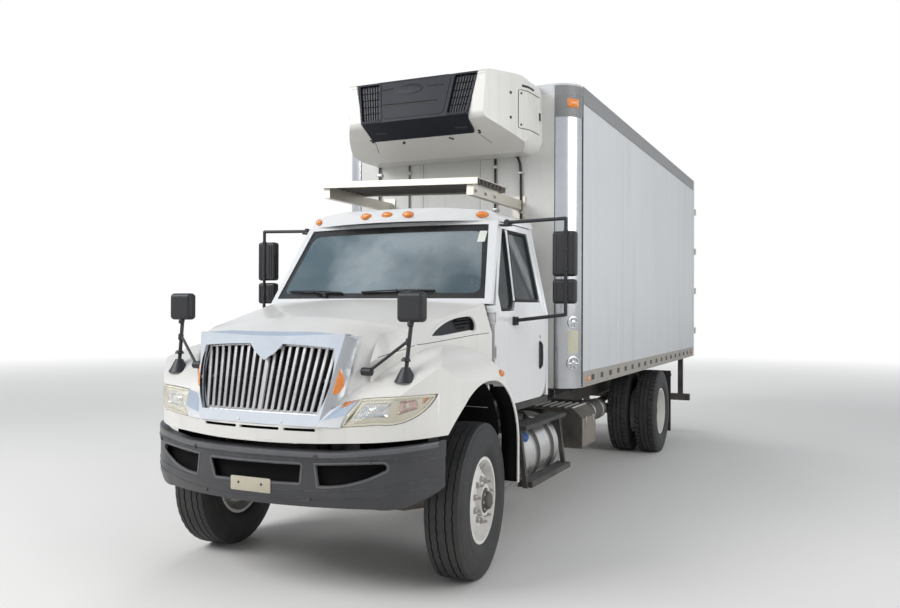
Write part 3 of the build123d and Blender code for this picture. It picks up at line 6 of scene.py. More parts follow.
import bmesh
import bpy
from bpy.props import FloatProperty, FloatVectorProperty, IntProperty, PointerProperty
from mathutils import Matrix, Vector
from mathutils.bvhtree import BVHTree

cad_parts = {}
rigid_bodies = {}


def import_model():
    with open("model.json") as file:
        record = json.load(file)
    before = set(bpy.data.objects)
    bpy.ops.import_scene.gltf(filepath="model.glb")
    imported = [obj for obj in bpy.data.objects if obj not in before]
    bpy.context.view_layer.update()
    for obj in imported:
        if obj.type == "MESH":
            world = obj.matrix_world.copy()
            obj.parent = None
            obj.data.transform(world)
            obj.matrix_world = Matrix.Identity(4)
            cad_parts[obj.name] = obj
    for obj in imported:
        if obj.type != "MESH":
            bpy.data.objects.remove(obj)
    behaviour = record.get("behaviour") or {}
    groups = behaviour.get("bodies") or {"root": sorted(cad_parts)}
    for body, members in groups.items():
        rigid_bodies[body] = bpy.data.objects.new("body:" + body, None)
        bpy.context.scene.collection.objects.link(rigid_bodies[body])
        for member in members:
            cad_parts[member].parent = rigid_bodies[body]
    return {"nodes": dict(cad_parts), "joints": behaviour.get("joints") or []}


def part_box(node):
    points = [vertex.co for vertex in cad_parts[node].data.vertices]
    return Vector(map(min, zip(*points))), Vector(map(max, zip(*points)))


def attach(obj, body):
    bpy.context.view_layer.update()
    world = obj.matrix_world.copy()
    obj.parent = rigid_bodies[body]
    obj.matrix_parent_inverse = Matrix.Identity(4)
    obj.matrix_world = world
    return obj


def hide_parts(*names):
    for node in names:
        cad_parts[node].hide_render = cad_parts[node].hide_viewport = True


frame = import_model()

bl_info = {
    "name": "Refrigerated truck dressing",
    "version": (1, 0, 0),
    "blender": (4, 5, 0),
    "location": "View3D > Sidebar > Truck",
    "description": "Finishes and small pieces of a refrigerated truck, built round its packed frame",
    "category": "Object",
}

NODES = frame["nodes"]
JOINTS = {joint["name"]: joint for joint in frame["joints"]}
KINGPIN = Vector(JOINTS["steer_left"]["pos_m"])
REAR_AXLE = Vector(JOINTS["spin_rear_left"]["pos_m"])
SPIN = JOINTS["spin_front_left"]["axis"]
TOE = math.atan2(SPIN[1], SPIN[0])
WHEEL_Z = KINGPIN.z
FRONT_Y = KINGPIN.y
SIDES = {"left": 1, "right": -1}
AHEAD = Vector((0, -1, 0))
REARWARD = Vector((0, 1, 0))
BUMPER_HALF = 1.12
BOX_FRONT_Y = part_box("corner_posts")[0][1]
BOX_REAR_Y = FRONT_Y + 8.204
CORNER_RADIUS = 0.208
DECK_TOP_Z = 2.911
DECK_TILT = 1.9
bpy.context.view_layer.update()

# The photograph's camera
PHOTO_SIZE = (900, 608)
SENSOR = 36
CAMERA_PLACE = (3.388, -8.905, 1.831)
CAMERA_YAW, CAMERA_PITCH, CAMERA_ROLL = math.radians(25.4204), math.radians(0.4272), math.radians(0.2387)
CAMERA_LENS = 33.35


# Sizes and colours that a user would change


class TruckPaint(bpy.types.PropertyGroup):
    """Colours of the truck's own finishes"""

    cab: FloatVectorProperty(
        name="Cab", description="White paint of the cab and doors", subtype="COLOR",
        size=3, default=(0.76, 0.77, 0.78), min=0, max=1,
    )
    hood: FloatVectorProperty(
        name="Hood", description="Aged off-white of the moulded hood and fenders", subtype="COLOR",
        size=3, default=(0.76, 0.75, 0.72), min=0, max=1,
    )
    body: FloatVectorProperty(
        name="Body", description="Chalky white of the insulated body", subtype="COLOR",
        size=3, default=(0.60, 0.62, 0.64), min=0, max=1,
    )
    rail: FloatVectorProperty(
        name="Rails", description="Grey of the body's rails and corner caps", subtype="COLOR",
        size=3, default=(0.21, 0.215, 0.22), min=0, max=1,
    )
    bumper: FloatVectorProperty(
        name="Bumper", description="Weathered dark grey of the front bumper", subtype="COLOR",
        size=3, default=(0.042, 0.043, 0.048), min=0, max=1,
    )
    unit: FloatVectorProperty(
        name="Unit shell", description="White moulding of the cooling unit", subtype="COLOR",
        size=3, default=(0.72, 0.71, 0.68), min=0, max=1,
    )
    amber: FloatVectorProperty(
        name="Amber lens", description="Colour of the marker and turn lamps", subtype="COLOR",
        size=3, default=(0.85, 0.25, 0.02), min=0, max=1,
    )


class TruckSizes(bpy.types.PropertyGroup):
    """Sizes of the small pieces"""

    rivet: FloatProperty(
        name="Rivet", description="Radius of a rivet's head", unit="LENGTH",
        default=0.0075, min=0.002, max=0.02,
    )
    rivet_pitch: FloatProperty(
        name="Rivet pitch", description="Distance between rivets in a row", unit="LENGTH",
        default=0.11, min=0.03, max=0.5,
    )
    nut: FloatProperty(
        name="Wheel nut", description="Radius across the corners of a wheel nut", unit="LENGTH",
        default=0.019, min=0.01, max=0.03,
    )
    nut_circle: FloatProperty(
        name="Nut circle", description="Radius of the circle of wheel nuts", unit="LENGTH",
        default=0.143, min=0.08, max=0.2,
    )
    nuts: IntProperty(name="Nuts", description="Nuts on each wheel", default=10, min=4, max=12)
    gasket: FloatProperty(
        name="Gasket", description="Radius of the rubber round the glass", unit="LENGTH",
        default=0.009, min=0.002, max=0.02,
    )


class TruckStage(bpy.types.PropertyGroup):
    """Light and floor"""

    key: FloatProperty(name="Key", description="Power of the key lamp", unit="POWER", default=1150, min=0)
    fill: FloatProperty(name="Fill", description="Power of the fill lamp", unit="POWER", default=520, min=0)
    sky: FloatProperty(name="Sky", description="Strength of the world's light", default=0.52, min=0)
    floor: FloatVectorProperty(
        name="Floor", description="Colour of the floor", subtype="COLOR", size=3, default=(0.80, 0.79, 0.77),
        min=0, max=1,
    )


# Mesh helpers


def add_mesh(name, bm, finishes, body, smooth=0.6):
    """Makes a piece from a bmesh, with one finish or several by their names, and lets it ride on a body."""
    mesh = bpy.data.meshes.new(name)
    bm.normal_update()
    bm.to_mesh(mesh)
    bm.free()
    for label in [finishes] if isinstance(finishes, str) else finishes:
        mesh.materials.append(finish(label))
    piece = bpy.data.objects.new(name, mesh)
    bpy.context.scene.collection.objects.link(piece)
    mesh.shade_smooth()
    mesh.set_sharp_from_angle(angle=smooth)
    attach(piece, body)
    return piece


def outward(bm):
    """Turns every face of a bmesh outwards."""
    bmesh.ops.recalc_face_normals(bm, faces=bm.faces[:])


def angles(count, shift=0.0):
    """Even steps round a circle."""
    return [2 * math.pi * (n + shift) / count for n in range(count)]


def polar(radius, angle, height=0.0):
    """A point on a circle about the Z axis, at a height."""
    return Vector((radius * math.cos(angle), radius * math.sin(angle), height))


def spaced(first, last, count):
    """Even steps from a first value to a last one."""
    return [first + (last - first) * n / (count - 1) for n in range(count)]


def row(bm, points):
    """New vertices at a list of points."""
    return [bm.verts.new(point) for point in points]


def skin(bm, rows, material=0, ring=False, flip=False):
    """Faces between rows of vertices. A ring runs on to its first vertex, and a row may be a single one."""
    made = []
    for one, two in zip(rows, rows[1:]):
        width = max(len(one), len(two))
        for m in range(width if ring else width - 1):
            k = (m + 1) % width
            corners = [one[m % len(one)], one[k % len(one)], two[k % len(two)], two[m % len(two)]]
            corners = list(dict.fromkeys(corners))
            if len(corners) > 2:
                made.append(bm.faces.new(corners[:1] + corners[:0:-1] if flip else corners))
                made[-1].material_index = material
    return made


def loft(bm, rings, material=0, closed=False, flip=False):
    """A skin over rings of vertices, with a cap at each end, or closed on its first ring."""
    skin(bm, rings + rings[:1] if closed else rings, material, True, flip)
    if not closed:
        first, last = (rings[-1], rings[0]) if flip else (rings[0], rings[-1])
        bm.faces.new(reversed(first)).material_index = material
        bm.faces.new(last).material_index = material


def box(bm, low, high, bevel=0.0, segments=2, material=0):
    """A block between two corners, with rounded edges."""
    low, high = Vector(low), Vector(high)
    made = bmesh.ops.create_cube(bm, size=1)["verts"]
    for vert in made:
        vert.co = Vector([low[i] + (vert.co[i] + 0.5) * (high[i] - low[i]) for i in range(3)])
    faces = {face for vert in made for face in vert.link_faces}
    for face in faces:
        face.material_index = material
    if bevel:
        edges = list({edge for vert in made for edge in vert.link_edges})
        rounding = {"offset": bevel, "segments": segments, "affect": "EDGES", "profile": 0.5}
        made = bmesh.ops.bevel(bm, geom=edges, **rounding)["verts"]
    return made


def frame_along(a, b):
    """A matrix that stands at a, with its Z axis towards b."""
    direction = (Vector(b) - Vector(a)).normalized()
    turn = direction.to_track_quat("Z", "Y").to_matrix().to_4x4()
    return Matrix.Translation(Vector(a)) @ turn


def lathe(bm, profile, matrix, segments=24, material=0):
    """Turns a profile of (radius, height) pairs about the matrix's Z axis."""
    rings = []
    for radius, height in profile:
        steps = angles(segments) if radius > 1e-6 else [0]
        rings.append(row(bm, [matrix @ polar(radius, angle, height) for angle in steps]))
    skin(bm, rings, material, True)


def turned(bm, profile, at, direction, segments=24, material=0):
    """A turned piece that stands at a place, along a direction."""
    at = Vector(at)
    lathe(bm, profile, frame_along(at, at + Vector(direction)), segments, material)


def rod(bm, a, b, radius, segments=12, material=0):
    """A round bar with closed ends."""
    length = (Vector(b) - Vector(a)).length
    edge = min(radius * 0.2, length * 0.2)
    profile = [(0, 0), (radius - edge, 0), (radius, edge), (radius, length - edge), (radius - edge, length)]
    lathe(bm, [*profile, (0, length)], frame_along(a, b), segments, material)


def hexagon(bm, at, direction, radius, height, material=0):
    """A hexagonal nut or bolt head with a turned washer under it."""
    washer = [(0, 0), (radius * 1.25, 0), (radius * 1.25, height * 0.16), (0, height * 0.16)]
    turned(bm, washer, at, direction, 16, material)
    head = [(radius, height * 0.16), (radius, height * 0.86), (radius * 0.86, height), (0, height)]
    turned(bm, head, at, direction, 6, material)


def dome(bm, at, direction, radius, height, segments=8, material=0):
    """A low round head, such as a rivet's."""
    profile = [(radius, 0), (radius * 0.86, height * 0.55), (radius * 0.45, height * 0.92), (0, height)]
    turned(bm, profile, at, direction, segments, material)


def tube(bm, points, radius, segments=8, material=0, closed=False):
    """A round tube through a list of points, mitred at each."""
    points = [Vector(point) for point in points]
    count = len(points)
    rings = []
    up = None
    for n, point in enumerate(points):
        before = points[n - 1] if n or closed else point
        after = points[(n + 1) % count] if n < count - 1 or closed else point
        along = (after - before).normalized()
        if up is None:
            up = along.orthogonal().normalized()
        up = (up - along * up.dot(along)).normalized()
        side = along.cross(up)
        spread = [(up * math.cos(angle) + side * math.sin(angle)) * radius for angle in angles(segments)]
        rings.append(row(bm, [point + away for away in spread]))
    loft(bm, rings, material, closed)


def mirrored(bm):
    """Adds a copy of everything on the other side of the truck."""
    made = bmesh.ops.duplicate(bm, geom=bm.verts[:] + bm.edges[:] + bm.faces[:])["geom"]
    for vert in (item for item in made if isinstance(item, bmesh.types.BMVert)):
        vert.co.x = -vert.co.x
    bmesh.ops.reverse_faces(bm, faces=[item for item in made if isinstance(item, bmesh.types.BMFace)])


def rounded(half_x, half_y, radius, steps=4):
    """Points of a rectangle with round corners about the origin."""
    points = []
    for quarter, (sx, sy) in enumerate(((1, 1), (-1, 1), (-1, -1), (1, -1))):
        for n in range(steps + 1):
            angle = math.pi / 2 * (quarter + n / steps)
            x = sx * (half_x - radius) + radius * math.cos(angle)
            y = sy * (half_y - radius) + radius * math.sin(angle)
            points.append((x, y))
    return points


SURFACES = {}


def surface(node):
    """The search tree of a CAD node's faces."""
    if node not in SURFACES:
        mesh = NODES[node].data
        mesh.calc_loop_triangles()
        points = [vert.co for vert in mesh.vertices]
        SURFACES[node] = BVHTree.FromPolygons(points, [tri.vertices for tri in mesh.loop_triangles])
    return SURFACES[node]


def fall(node, start, direction):
    """The place and the outward normal where a line from start first meets a CAD node."""
    direction = Vector(direction).normalized()
    point, normal, _, _ = surface(node).ray_cast(Vector(start), direction)
    if point is None:
        raise RuntimeError(f"nothing of {node} lies ahead of {tuple(start)}")
    if normal.dot(direction) > 0:
        normal = -normal
    return point, normal


def seen_from(node, starts, direction):
    """Places and normals on a CAD node ahead of a list of points."""
    return [fall(node, start, direction) for start in starts]


def draped(bm, node, outline, direction, lift, crown, rings=5, material=0, sink=0.001):
    """A crowned pad that lies on a CAD node, under an outline of points in space."""
    outline = [Vector(point) for point in outline]
    centre = sum(outline, Vector()) / len(outline)
    levels = [(1.0, -sink)]
    for n in range(rings + 1):
        share = 1 - n / rings
        levels.append((share, lift + crown * (1 - share * share) ** 0.5))
    rows = []
    for share, high in levels:
        starts = [centre + (point - centre) * share for point in (outline if share else outline[:1])]
        rows.append(row(bm, [place + normal * high for place, normal in seen_from(node, starts, direction)]))
    bmesh.ops.recalc_face_normals(bm, faces=skin(bm, rows, material, True))


def spot(x, y, z):
    """A point measured from under the middle of the front axle, as the part's own sizes are."""
    return Vector((x, FRONT_Y + y, z))


def before(outline, y=FRONT_Y - 1.5):
    """A flat outline of (across, height) pairs, held in front of the truck."""
    return [Vector((x, y, z)) for x, z in outline]


def beside(outline, side, reach=1.4):
    """A flat outline of (distance behind the front axle, height) pairs, held beside the truck."""
    return [Vector((side * reach, FRONT_Y + y, z)) for y, z in outline]


def arc(a, via, b, steps=8):
    """Points on the circle through three flat points, after a and up to b."""
    (ax, ay), (bx, by), (cx, cy) = a, via, b
    twice = 2 * (ax * (by - cy) + bx * (cy - ay) + cx * (ay - by))
    aa, bb, cc = ax * ax + ay * ay, bx * bx + by * by, cx * cx + cy * cy
    ux = (aa * (by - cy) + bb * (cy - ay) + cc * (ay - by)) / twice
    uy = (aa * (cx - bx) + bb * (ax - cx) + cc * (bx - ax)) / twice
    start, middle, end = (math.atan2(y - uy, x - ux) for x, y in (a, via, b))
    full = 2 * math.pi
    sweep = (end - start) % full
    if (middle - start) % full > sweep:
        sweep -= full
    radius = math.hypot(ax - ux, ay - uy)
    turns = [start + sweep * n / steps for n in range(1, steps + 1)]
    return [(ux + radius * math.cos(t), uy + radius * math.sin(t)) for t in turns]


def softened(points, radius, steps=4):
    """A closed flat outline with its corners rounded."""
    made = []
    count = len(points)
    for n in range(count):
        here = Vector(points[n])
        back, ahead = Vector(points[n - 1]) - here, Vector(points[(n + 1) % count]) - here
        start = here + back.normalized() * min(radius, back.length * 0.45)
        end = here + ahead.normalized() * min(radius, ahead.length * 0.45)
        for m in range(steps + 1):
            t = m / steps
            made.append(tuple(start * (1 - t) ** 2 + here * 2 * t * (1 - t) + end * t * t))
    return made


def drawn_in(points, amount):
    """A closed flat outline moved inwards by a distance."""
    count = len(points)
    area = sum(points[n - 1][0] * points[n][1] - points[n][0] * points[n - 1][1] for n in range(count))
    turn = 1 if area > 0 else -1
    made = []
    for n in range(count):
        before, here, after = Vector(points[n - 1]), Vector(points[n]), Vector(points[(n + 1) % count])
        one, two = (here - before).normalized(), (after - here).normalized()
        inward = Vector((-(one.y + two.y), one.x + two.x)) * turn
        inward.normalize()
        across = Vector((-one.y, one.x)) * turn
        made.append(tuple(here + inward * amount / max(0.4, inward.dot(across))))
    return made


def evenly(points, step, closed=False):
    """Points along a line of points, no further apart than a step."""
    points = [Vector(point) for point in points]
    made = []
    for a, b in zip(points, points[1:] + (points[:1] if closed else [])):
        count = max(1, math.ceil((b - a).length / step))
        made += [a.lerp(b, n / count) for n in range(count)]
    return made if closed else made + points[-1:]


def flat_evenly(points, step):
    """A closed flat outline with no two points further apart than a step."""
    return [(point.x, point.y) for point in evenly([(*point, 0) for point in points], step, True)]


def laid(node, points, direction, step=0.02, closed=False):
    """Places and normals on a CAD node below a line of points."""
    return seen_from(node, evenly(points, step, closed), direction)


def bead(bm, path, half, height, material=0, closed=False, sink=0.002):
    """A low strip with sloping sides along places and normals on a surface."""
    count = len(path)
    rings = []
    for n, (place, normal) in enumerate(path):
        before = path[n - 1][0] if n or closed else place
        after = path[(n + 1) % count][0] if n < count - 1 or closed else place
        side = (after - before).cross(normal).normalized()
        slope, shoulder = half * 0.75, height * 0.8
        section = [(-half, -sink), (-slope, shoulder), (0, height), (slope, shoulder), (half, -sink)]
        rings.append(row(bm, [place + side * x + normal * z for x, z in section]))
    loft(bm, rings, material, closed, True)


def pierced(bm, node, loops, direction, lift, depth, material=0):
    """A plate with holes that lies on a CAD node: its edge first, then its holes."""
    made = bmesh.new()
    direction = Vector(direction).normalized()
    edges = []
    for loop in loops:
        verts = [made.verts.new(point) for point in loop]
        edges += [made.edges.new(pair) for pair in zip(verts, verts[1:] + verts[:1])]
    bmesh.ops.triangle_fill(made, edges=edges, use_beauty=True)
    for vert in made.verts:
        place, normal = fall(node, vert.co, direction)
        vert.co = place + normal * lift
    rim = [edge for edge in made.edges if len(edge.link_faces) == 1]
    walls = bmesh.ops.extrude_edge_only(made, edges=rim)["geom"]
    for vert in (item for item in walls if isinstance(item, bmesh.types.BMVert)):
        vert.co += direction * depth
    bmesh.ops.recalc_face_normals(made, faces=made.faces[:])
    merge(bm, made, material)


def merge(bm, made, material=None):
    """Moves everything of one bmesh into another."""
    if material is not None:
        for face in made.faces:
            face.material_index = material
    mesh = bpy.data.meshes.new("part of a piece")
    made.to_mesh(mesh)
    made.free()
    bm.from_mesh(mesh)
    bpy.data.meshes.remove(mesh)


def camera_axes():
    """The camera's right, up and forward directions."""
    yaw, pitch, roll = CAMERA_YAW, CAMERA_PITCH, CAMERA_ROLL
    forward = Vector((-math.sin(yaw) * math.cos(pitch), math.cos(yaw) * math.cos(pitch), math.sin(pitch)))
    right = forward.cross(Vector((0, 0, 1))).normalized()
    up = right.cross(forward)
    return right * math.cos(roll) + up * math.sin(roll), up * math.cos(roll) - right * math.sin(roll), forward


def seen(node, column, line):
    """The place and normal on a CAD node at a pixel of the photograph."""
    right, up, forward = camera_axes()
    wide, high = PHOTO_SIZE
    focal = CAMERA_LENS / SENSOR * wide
    direction = right * (column - wide / 2) / focal + up * (high / 2 - line) / focal + forward
    return fall(node, CAMERA_PLACE, direction)


# Shader node groups


def socket(group, name, kind, direction, default=None):
    """Adds a named input or output to a node group."""
    made = group.interface.new_socket(name=name, in_out=direction, socket_type="NodeSocket" + kind)
    if default is not None:
        made.default_value = default
    return made


def start_group(name, inputs, outputs):
    """A new node group with its sockets; inputs are name, kind and default, outputs name and kind."""
    group = bpy.data.node_groups.new(name, "ShaderNodeTree")
    for label, kind, default in inputs:
        socket(group, label, kind, "INPUT", default)
    for label, kind in outputs:
        socket(group, label, kind, "OUTPUT")
    return group, group.nodes.new("NodeGroupInput").outputs, group.nodes.new("NodeGroupOutput")


def feed(tree, target, values):
    """Sets or links the inputs of a node."""
    for key, value in values.items():
        if isinstance(value, bpy.types.NodeSocket):
            tree.links.new(value, target.inputs[key])
        else:
            target.inputs[key].default_value = value
    return target


def node(tree, kind, inputs=None, **settings):
    """Adds a node, sets its properties and sets or links its inputs."""
    made = tree.nodes.new("ShaderNode" + kind)
    for key, value in settings.items():
        setattr(made, key, value)
    return feed(tree, made, inputs or {})


def math_node(tree, operation, a, b=0.0, clamp=False):
    """One arithmetic step."""
    return node(tree, "Math", {0: a, 1: b}, operation=operation, use_clamp=clamp).outputs[0]


def times(tree, a, b, clamp=False):
    """A product."""
    return math_node(tree, "MULTIPLY", a, b, clamp)


def plus(tree, a, b, clamp=False):
    """A sum."""
    return math_node(tree, "ADD", a, b, clamp)


def mix_colour(tree, factor, a, b):
    """Blends two colours."""
    return node(tree, "Mix", {0: factor, 6: a, 7: b}, data_type="RGBA").outputs[2]


def noise(tree, vector, scale, detail, **more):
    """Soft noise about a half."""
    inputs = {"Vector": vector, "Scale": scale, "Detail": detail, **more}
    return node(tree, "TexNoise", inputs).outputs[0]


def waves(tree, vector, scale, axis, distortion=0.0):
    """Even bands across an axis."""
    inputs = {"Vector": vector, "Scale": scale, "Distortion": distortion}
    return node(tree, "TexWave", inputs, bands_direction=axis).outputs["Fac"]


def ramp(tree, value, low, high, start=0.0, end=1.0):
    """A value stretched from the range between low and high to the one between start and end."""
    return node(tree, "MapRange", {0: value, 1: low, 2: high, 3: start, 4: end}).outputs[0]


def bump(tree, strength, distance, height, **more):
    """A surface's direction, bent by a height."""
    inputs = {"Strength": strength, "Distance": distance, "Height": height, **more}
    return node(tree, "Bump", inputs).outputs[0]


def object_place(tree):
    """The place on the object itself."""
    return node(tree, "TexCoord").outputs["Object"]


def upward_share(tree):
    """How far a face looks up."""
    return node(tree, "SeparateXYZ", {0: node(tree, "NewGeometry").outputs["Normal"]}).outputs["Z"]


def worn_edges():
    """Mask of edges that have rubbed bare, broken up by noise."""
    inputs = [("Radius", "Float", 0.006), ("Breakup", "Float", 18.0), ("Amount", "Float", 0.5)]
    group, given, made = start_group("worn edges", inputs, [("Mask", "Float")])
    normals = {
        0: node(group, "Bevel", {"Radius": given["Radius"]}, samples=4).outputs[0],
        1: node(group, "NewGeometry").outputs["Normal"],
    }
    likeness = node(group, "VectorMath", normals, operation="DOT_PRODUCT").outputs["Value"]
    strong = times(group, math_node(group, "SUBTRACT", 1.0, likeness, True), 6.0, True)
    broken = ramp(group, noise(group, object_place(group), given["Breakup"], 5.0), 0.45, 0.65)
    feed(group, made, {"Mask": times(group, times(group, strong, broken), given["Amount"])})
    return group


def road_dust():
    """Mask of dust that gathers low down and on faces that look up."""
    inputs = [("Height", "Float", 1.2), ("Amount", "Float", 0.5), ("Scale", "Float", 3.0)]
    group, given, made = start_group("road dust", inputs, [("Mask", "Float")])
    place = object_place(group)
    high = node(group, "SeparateXYZ", {0: place}).outputs["Z"]
    low_share = ramp(group, high, given["Height"], 0.2)
    upward = ramp(group, upward_share(group), 0.2, 1.0, 0.25)
    patch = ramp(group, noise(group, place, given["Scale"], 8.0, Roughness=0.65), 0.3, 0.72)
    mask = times(group, plus(group, low_share, upward, True), patch)
    feed(group, made, {"Mask": times(group, mask, given["Amount"], True)})
    return group


def rain_streaks():
    """Mask of vertical runs that water leaves on walls."""
    inputs = [("Scale", "Float", 14.0), ("Amount", "Float", 0.3), ("Length", "Float", 0.06)]
    group, given, made = start_group("rain streaks", inputs, [("Mask", "Float")])
    stretch = node(group, "CombineXYZ", {"X": 1.0, "Y": 1.0, "Z": given["Length"]}).outputs[0]
    drawn = node(group, "VectorMath", {0: object_place(group), 1: stretch}, operation="MULTIPLY").outputs[0]
    thin = ramp(group, noise(group, drawn, given["Scale"], 6.0, Roughness=0.6), 0.52, 0.74)
    level = math_node(group, "ABSOLUTE", upward_share(group))
    upright = math_node(group, "SUBTRACT", 1.0, level, True)
    feed(group, made, {"Mask": times(group, times(group, thin, upright), given["Amount"])})
    return group


def mottled_colour():
    """A colour with broad lighter and darker patches."""
    inputs = [("Color", "Color", (0.5, 0.5, 0.5, 1)), ("Scale", "Float", 2.0), ("Amount", "Float", 0.1)]
    group, given, made = start_group("mottled colour", inputs, [("Color", "Color"), ("Value", "Float")])
    patches = noise(group, object_place(group), given["Scale"], 4.0)
    centred = times(group, math_node(group, "SUBTRACT", patches, 0.5), given["Amount"])
    value = plus(group, times(group, centred, 2.0), 1.0)
    shaded = node(group, "HueSaturation", {"Value": value, "Color": given["Color"]}).outputs[0]
    feed(group, made, {"Color": shaded, "Value": patches})
    return group


def fine_grain():
    """Height of a fine moulded or sprayed grain."""
    inputs = [("Scale", "Float", 400.0), ("Softness", "Float", 0.5)]
    group, given, made = start_group("fine grain", inputs, [("Height", "Float")])
    place = object_place(group)
    small = noise(group, place, given["Scale"], 3.0)
    slow = noise(group, place, times(group, given["Scale"], 0.04), 2.0)
    height = node(group, "Mix", {0: given["Softness"], 2: small, 3: slow}).outputs[0]
    feed(group, made, {"Height": height})
    return group


GROUPS = {}


def effect(tree, name, **values):
    """Places one of the shared effects in a material, with its own values."""
    if name not in GROUPS:
        GROUPS[name] = EFFECTS[name]()
    made = node(tree, "Group", node_tree=GROUPS[name])
    return feed(tree, made, {key.capitalize(): value for key, value in values.items()}).outputs


EFFECTS = {
    "edges": worn_edges,
    "dust": road_dust,
    "streaks": rain_streaks,
    "mottle": mottled_colour,
    "grain": fine_grain,
}


# Finishes


DUST = (0.36, 0.31, 0.25, 1)
GRIME = (0.10, 0.095, 0.085, 1)
FINISHES = {}


def start_material(name):
    """A new material with its tree and its surface shader."""
    material = bpy.data.materials.new(name)
    material.use_nodes = True
    tree = material.node_tree
    return material, tree, tree.nodes["Principled BSDF"]


def coated(
    name, colour, rough=0.35, metal=0.0, mottle=0.06, mottle_scale=1.5, dust=0.25, dust_height=1.4,
    dust_scale=3.0, streaks=0.0, streak_scale=14.0, streak_colour=GRIME, edges=0.0, bare=(0.25, 0.24, 0.23, 1),
    grain=400.0, depth=0.02, dirt=DUST, coat=0.0, shine_spread=0.12, gloss=0.5,
):
    """A painted or moulded finish: patchy colour, runs, dust, rubbed edges and a fine grain."""
    material, tree, shader = start_material(name)
    base = effect(tree, "mottle", color=(*colour, 1), scale=mottle_scale, amount=mottle)
    tint = base["Color"]
    if streaks:
        runs = effect(tree, "streaks", scale=streak_scale, amount=streaks)["Mask"]
        tint = mix_colour(tree, runs, tint, streak_colour)
    if edges:
        tint = mix_colour(tree, effect(tree, "edges", amount=edges)["Mask"], tint, bare)
    gathered = effect(tree, "dust", amount=dust, height=dust_height, scale=dust_scale)["Mask"]
    worn = plus(tree, times(tree, base["Value"], shine_spread), rough - shine_spread / 2)
    feed(tree, shader, {
        "Base Color": mix_colour(tree, gathered, tint, dirt),
        "Roughness": plus(tree, worn, times(tree, gathered, 0.45), True),
        "Normal": bump(tree, 0.35, depth * 0.01, effect(tree, "grain", scale=grain)["Height"]),
        "Metallic": metal,
        "Coat Weight": coat,
        "Coat Roughness": 0.08,
        "Specular IOR Level": gloss,
    })
    return material


def glazed(name, colour, alpha, rough=0.03, painted_reflection=0.05):
    """Tinted glass with a painted reflection of pale cloud banks in its colour, and a faint film of dust."""
    material, tree, shader = start_material(name)
    film = effect(tree, "dust", amount=0.25, height=3.0, scale=5.0)["Mask"]
    base = effect(tree, "mottle", color=(*colour, 1), scale=1.1, amount=0.2)
    # Pale cloud banks mixed into the glass colour: a painted reflection of the sky
    reflection_share = ramp(tree, base["Value"], 0.44, 0.60, 0.0, painted_reflection)
    reflected_tint = mix_colour(tree, reflection_share, base["Color"], (0.50, 0.58, 0.62, 1))
    edge = node(tree, "Fresnel", {"IOR": 1.5}).outputs[0]
    solid = plus(tree, times(tree, edge, 0.6), alpha)
    feed(tree, shader, {
        "Base Color": mix_colour(tree, film, reflected_tint, (0.4, 0.4, 0.38, 1)),
        "Alpha": plus(tree, solid, times(tree, film, 0.35), True),
        "Roughness": plus(tree, times(tree, film, 0.3), rough),
        "Metallic": 0.0,
        "IOR": 1.5,
        "Specular IOR Level": 0.6,
    })
    return material


def clear_lens(name, colour, alpha=0.35, ribs=260.0):
    """A moulded lens with fine optics under its face."""
    material, tree, shader = start_material(name)
    edge = node(tree, "LayerWeight", {"Blend": 0.35}).outputs["Facing"]
    optics = waves(tree, object_place(tree), ribs, "Z", 0.3)
    feed(tree, shader, {
        "Base Color": effect(tree, "mottle", color=(*colour, 1), scale=20.0, amount=0.2)["Color"],
        "Normal": bump(tree, 0.3, 0.002, optics),
        "Alpha": plus(tree, times(tree, edge, 0.5), alpha, True),
        "Roughness": 0.08,
        "Coat Weight": 0.8,
    })
    return material


def tread_rubber(name):
    """Tyre rubber: dark, dusty in its grooves, with a fine grain."""
    material, tree, shader = start_material(name)
    base = effect(tree, "mottle", color=(0.019, 0.020, 0.022, 1), scale=9.0, amount=0.3)["Color"]
    dust = effect(tree, "dust", amount=0.40, height=1.3, scale=7.0)["Mask"]
    feed(tree, shader, {
        "Base Color": mix_colour(tree, dust, base, (0.085, 0.078, 0.068, 1)),
        "Normal": bump(tree, 0.5, 0.0006, effect(tree, "grain", scale=700.0)["Height"]),
        "Roughness": plus(tree, times(tree, dust, 0.2), 0.62),
    })
    return material


def woven_cloth(name, colour):
    """Seat cloth with a plain weave and a soft sheen."""
    material, tree, shader = start_material(name)
    base = effect(tree, "mottle", color=(*colour, 1), scale=12.0, amount=0.2)["Color"]
    place = object_place(tree)
    weave = times(tree, waves(tree, place, 180.0, "X"), waves(tree, place, 180.0, "Z"))
    feed(tree, shader, {
        "Base Color": mix_colour(tree, weave, base, (0.05, 0.05, 0.055, 1)),
        "Normal": bump(tree, 0.4, 0.001, weave),
        "Roughness": 0.85,
        "Sheen Weight": 0.3,
    })
    return material


def polished(name, colour, rough=0.07, smear=0.18, brushed=0.0):
    """Bright metal with smears, pits and water marks."""
    material, tree, shader = start_material(name)
    base = effect(tree, "mottle", color=(*colour, 1), scale=5.0, amount=0.12)
    film = effect(tree, "dust", amount=smear, height=1.6, scale=6.0)["Mask"]
    dull = plus(tree, times(tree, film, 0.5), rough)
    place = object_place(tree)
    normal = bump(tree, 0.12, 0.004, noise(tree, place, 9.0, 2.0))
    if brushed:
        lines = node(tree, "Mapping", {"Vector": place, "Scale": (4.0, 600.0, 4.0)}).outputs[0]
        normal = bump(tree, brushed, 0.0004, noise(tree, lines, 1.0, 2.0), Normal=normal)
    feed(tree, shader, {
        "Base Color": mix_colour(tree, film, base["Color"], (0.42, 0.39, 0.34, 1)),
        "Roughness": plus(tree, dull, times(tree, base["Value"], 0.06), True),
        "Normal": normal,
        "Metallic": math_node(tree, "SUBTRACT", 1.0, times(tree, film, 0.8), True),
    })
    return material


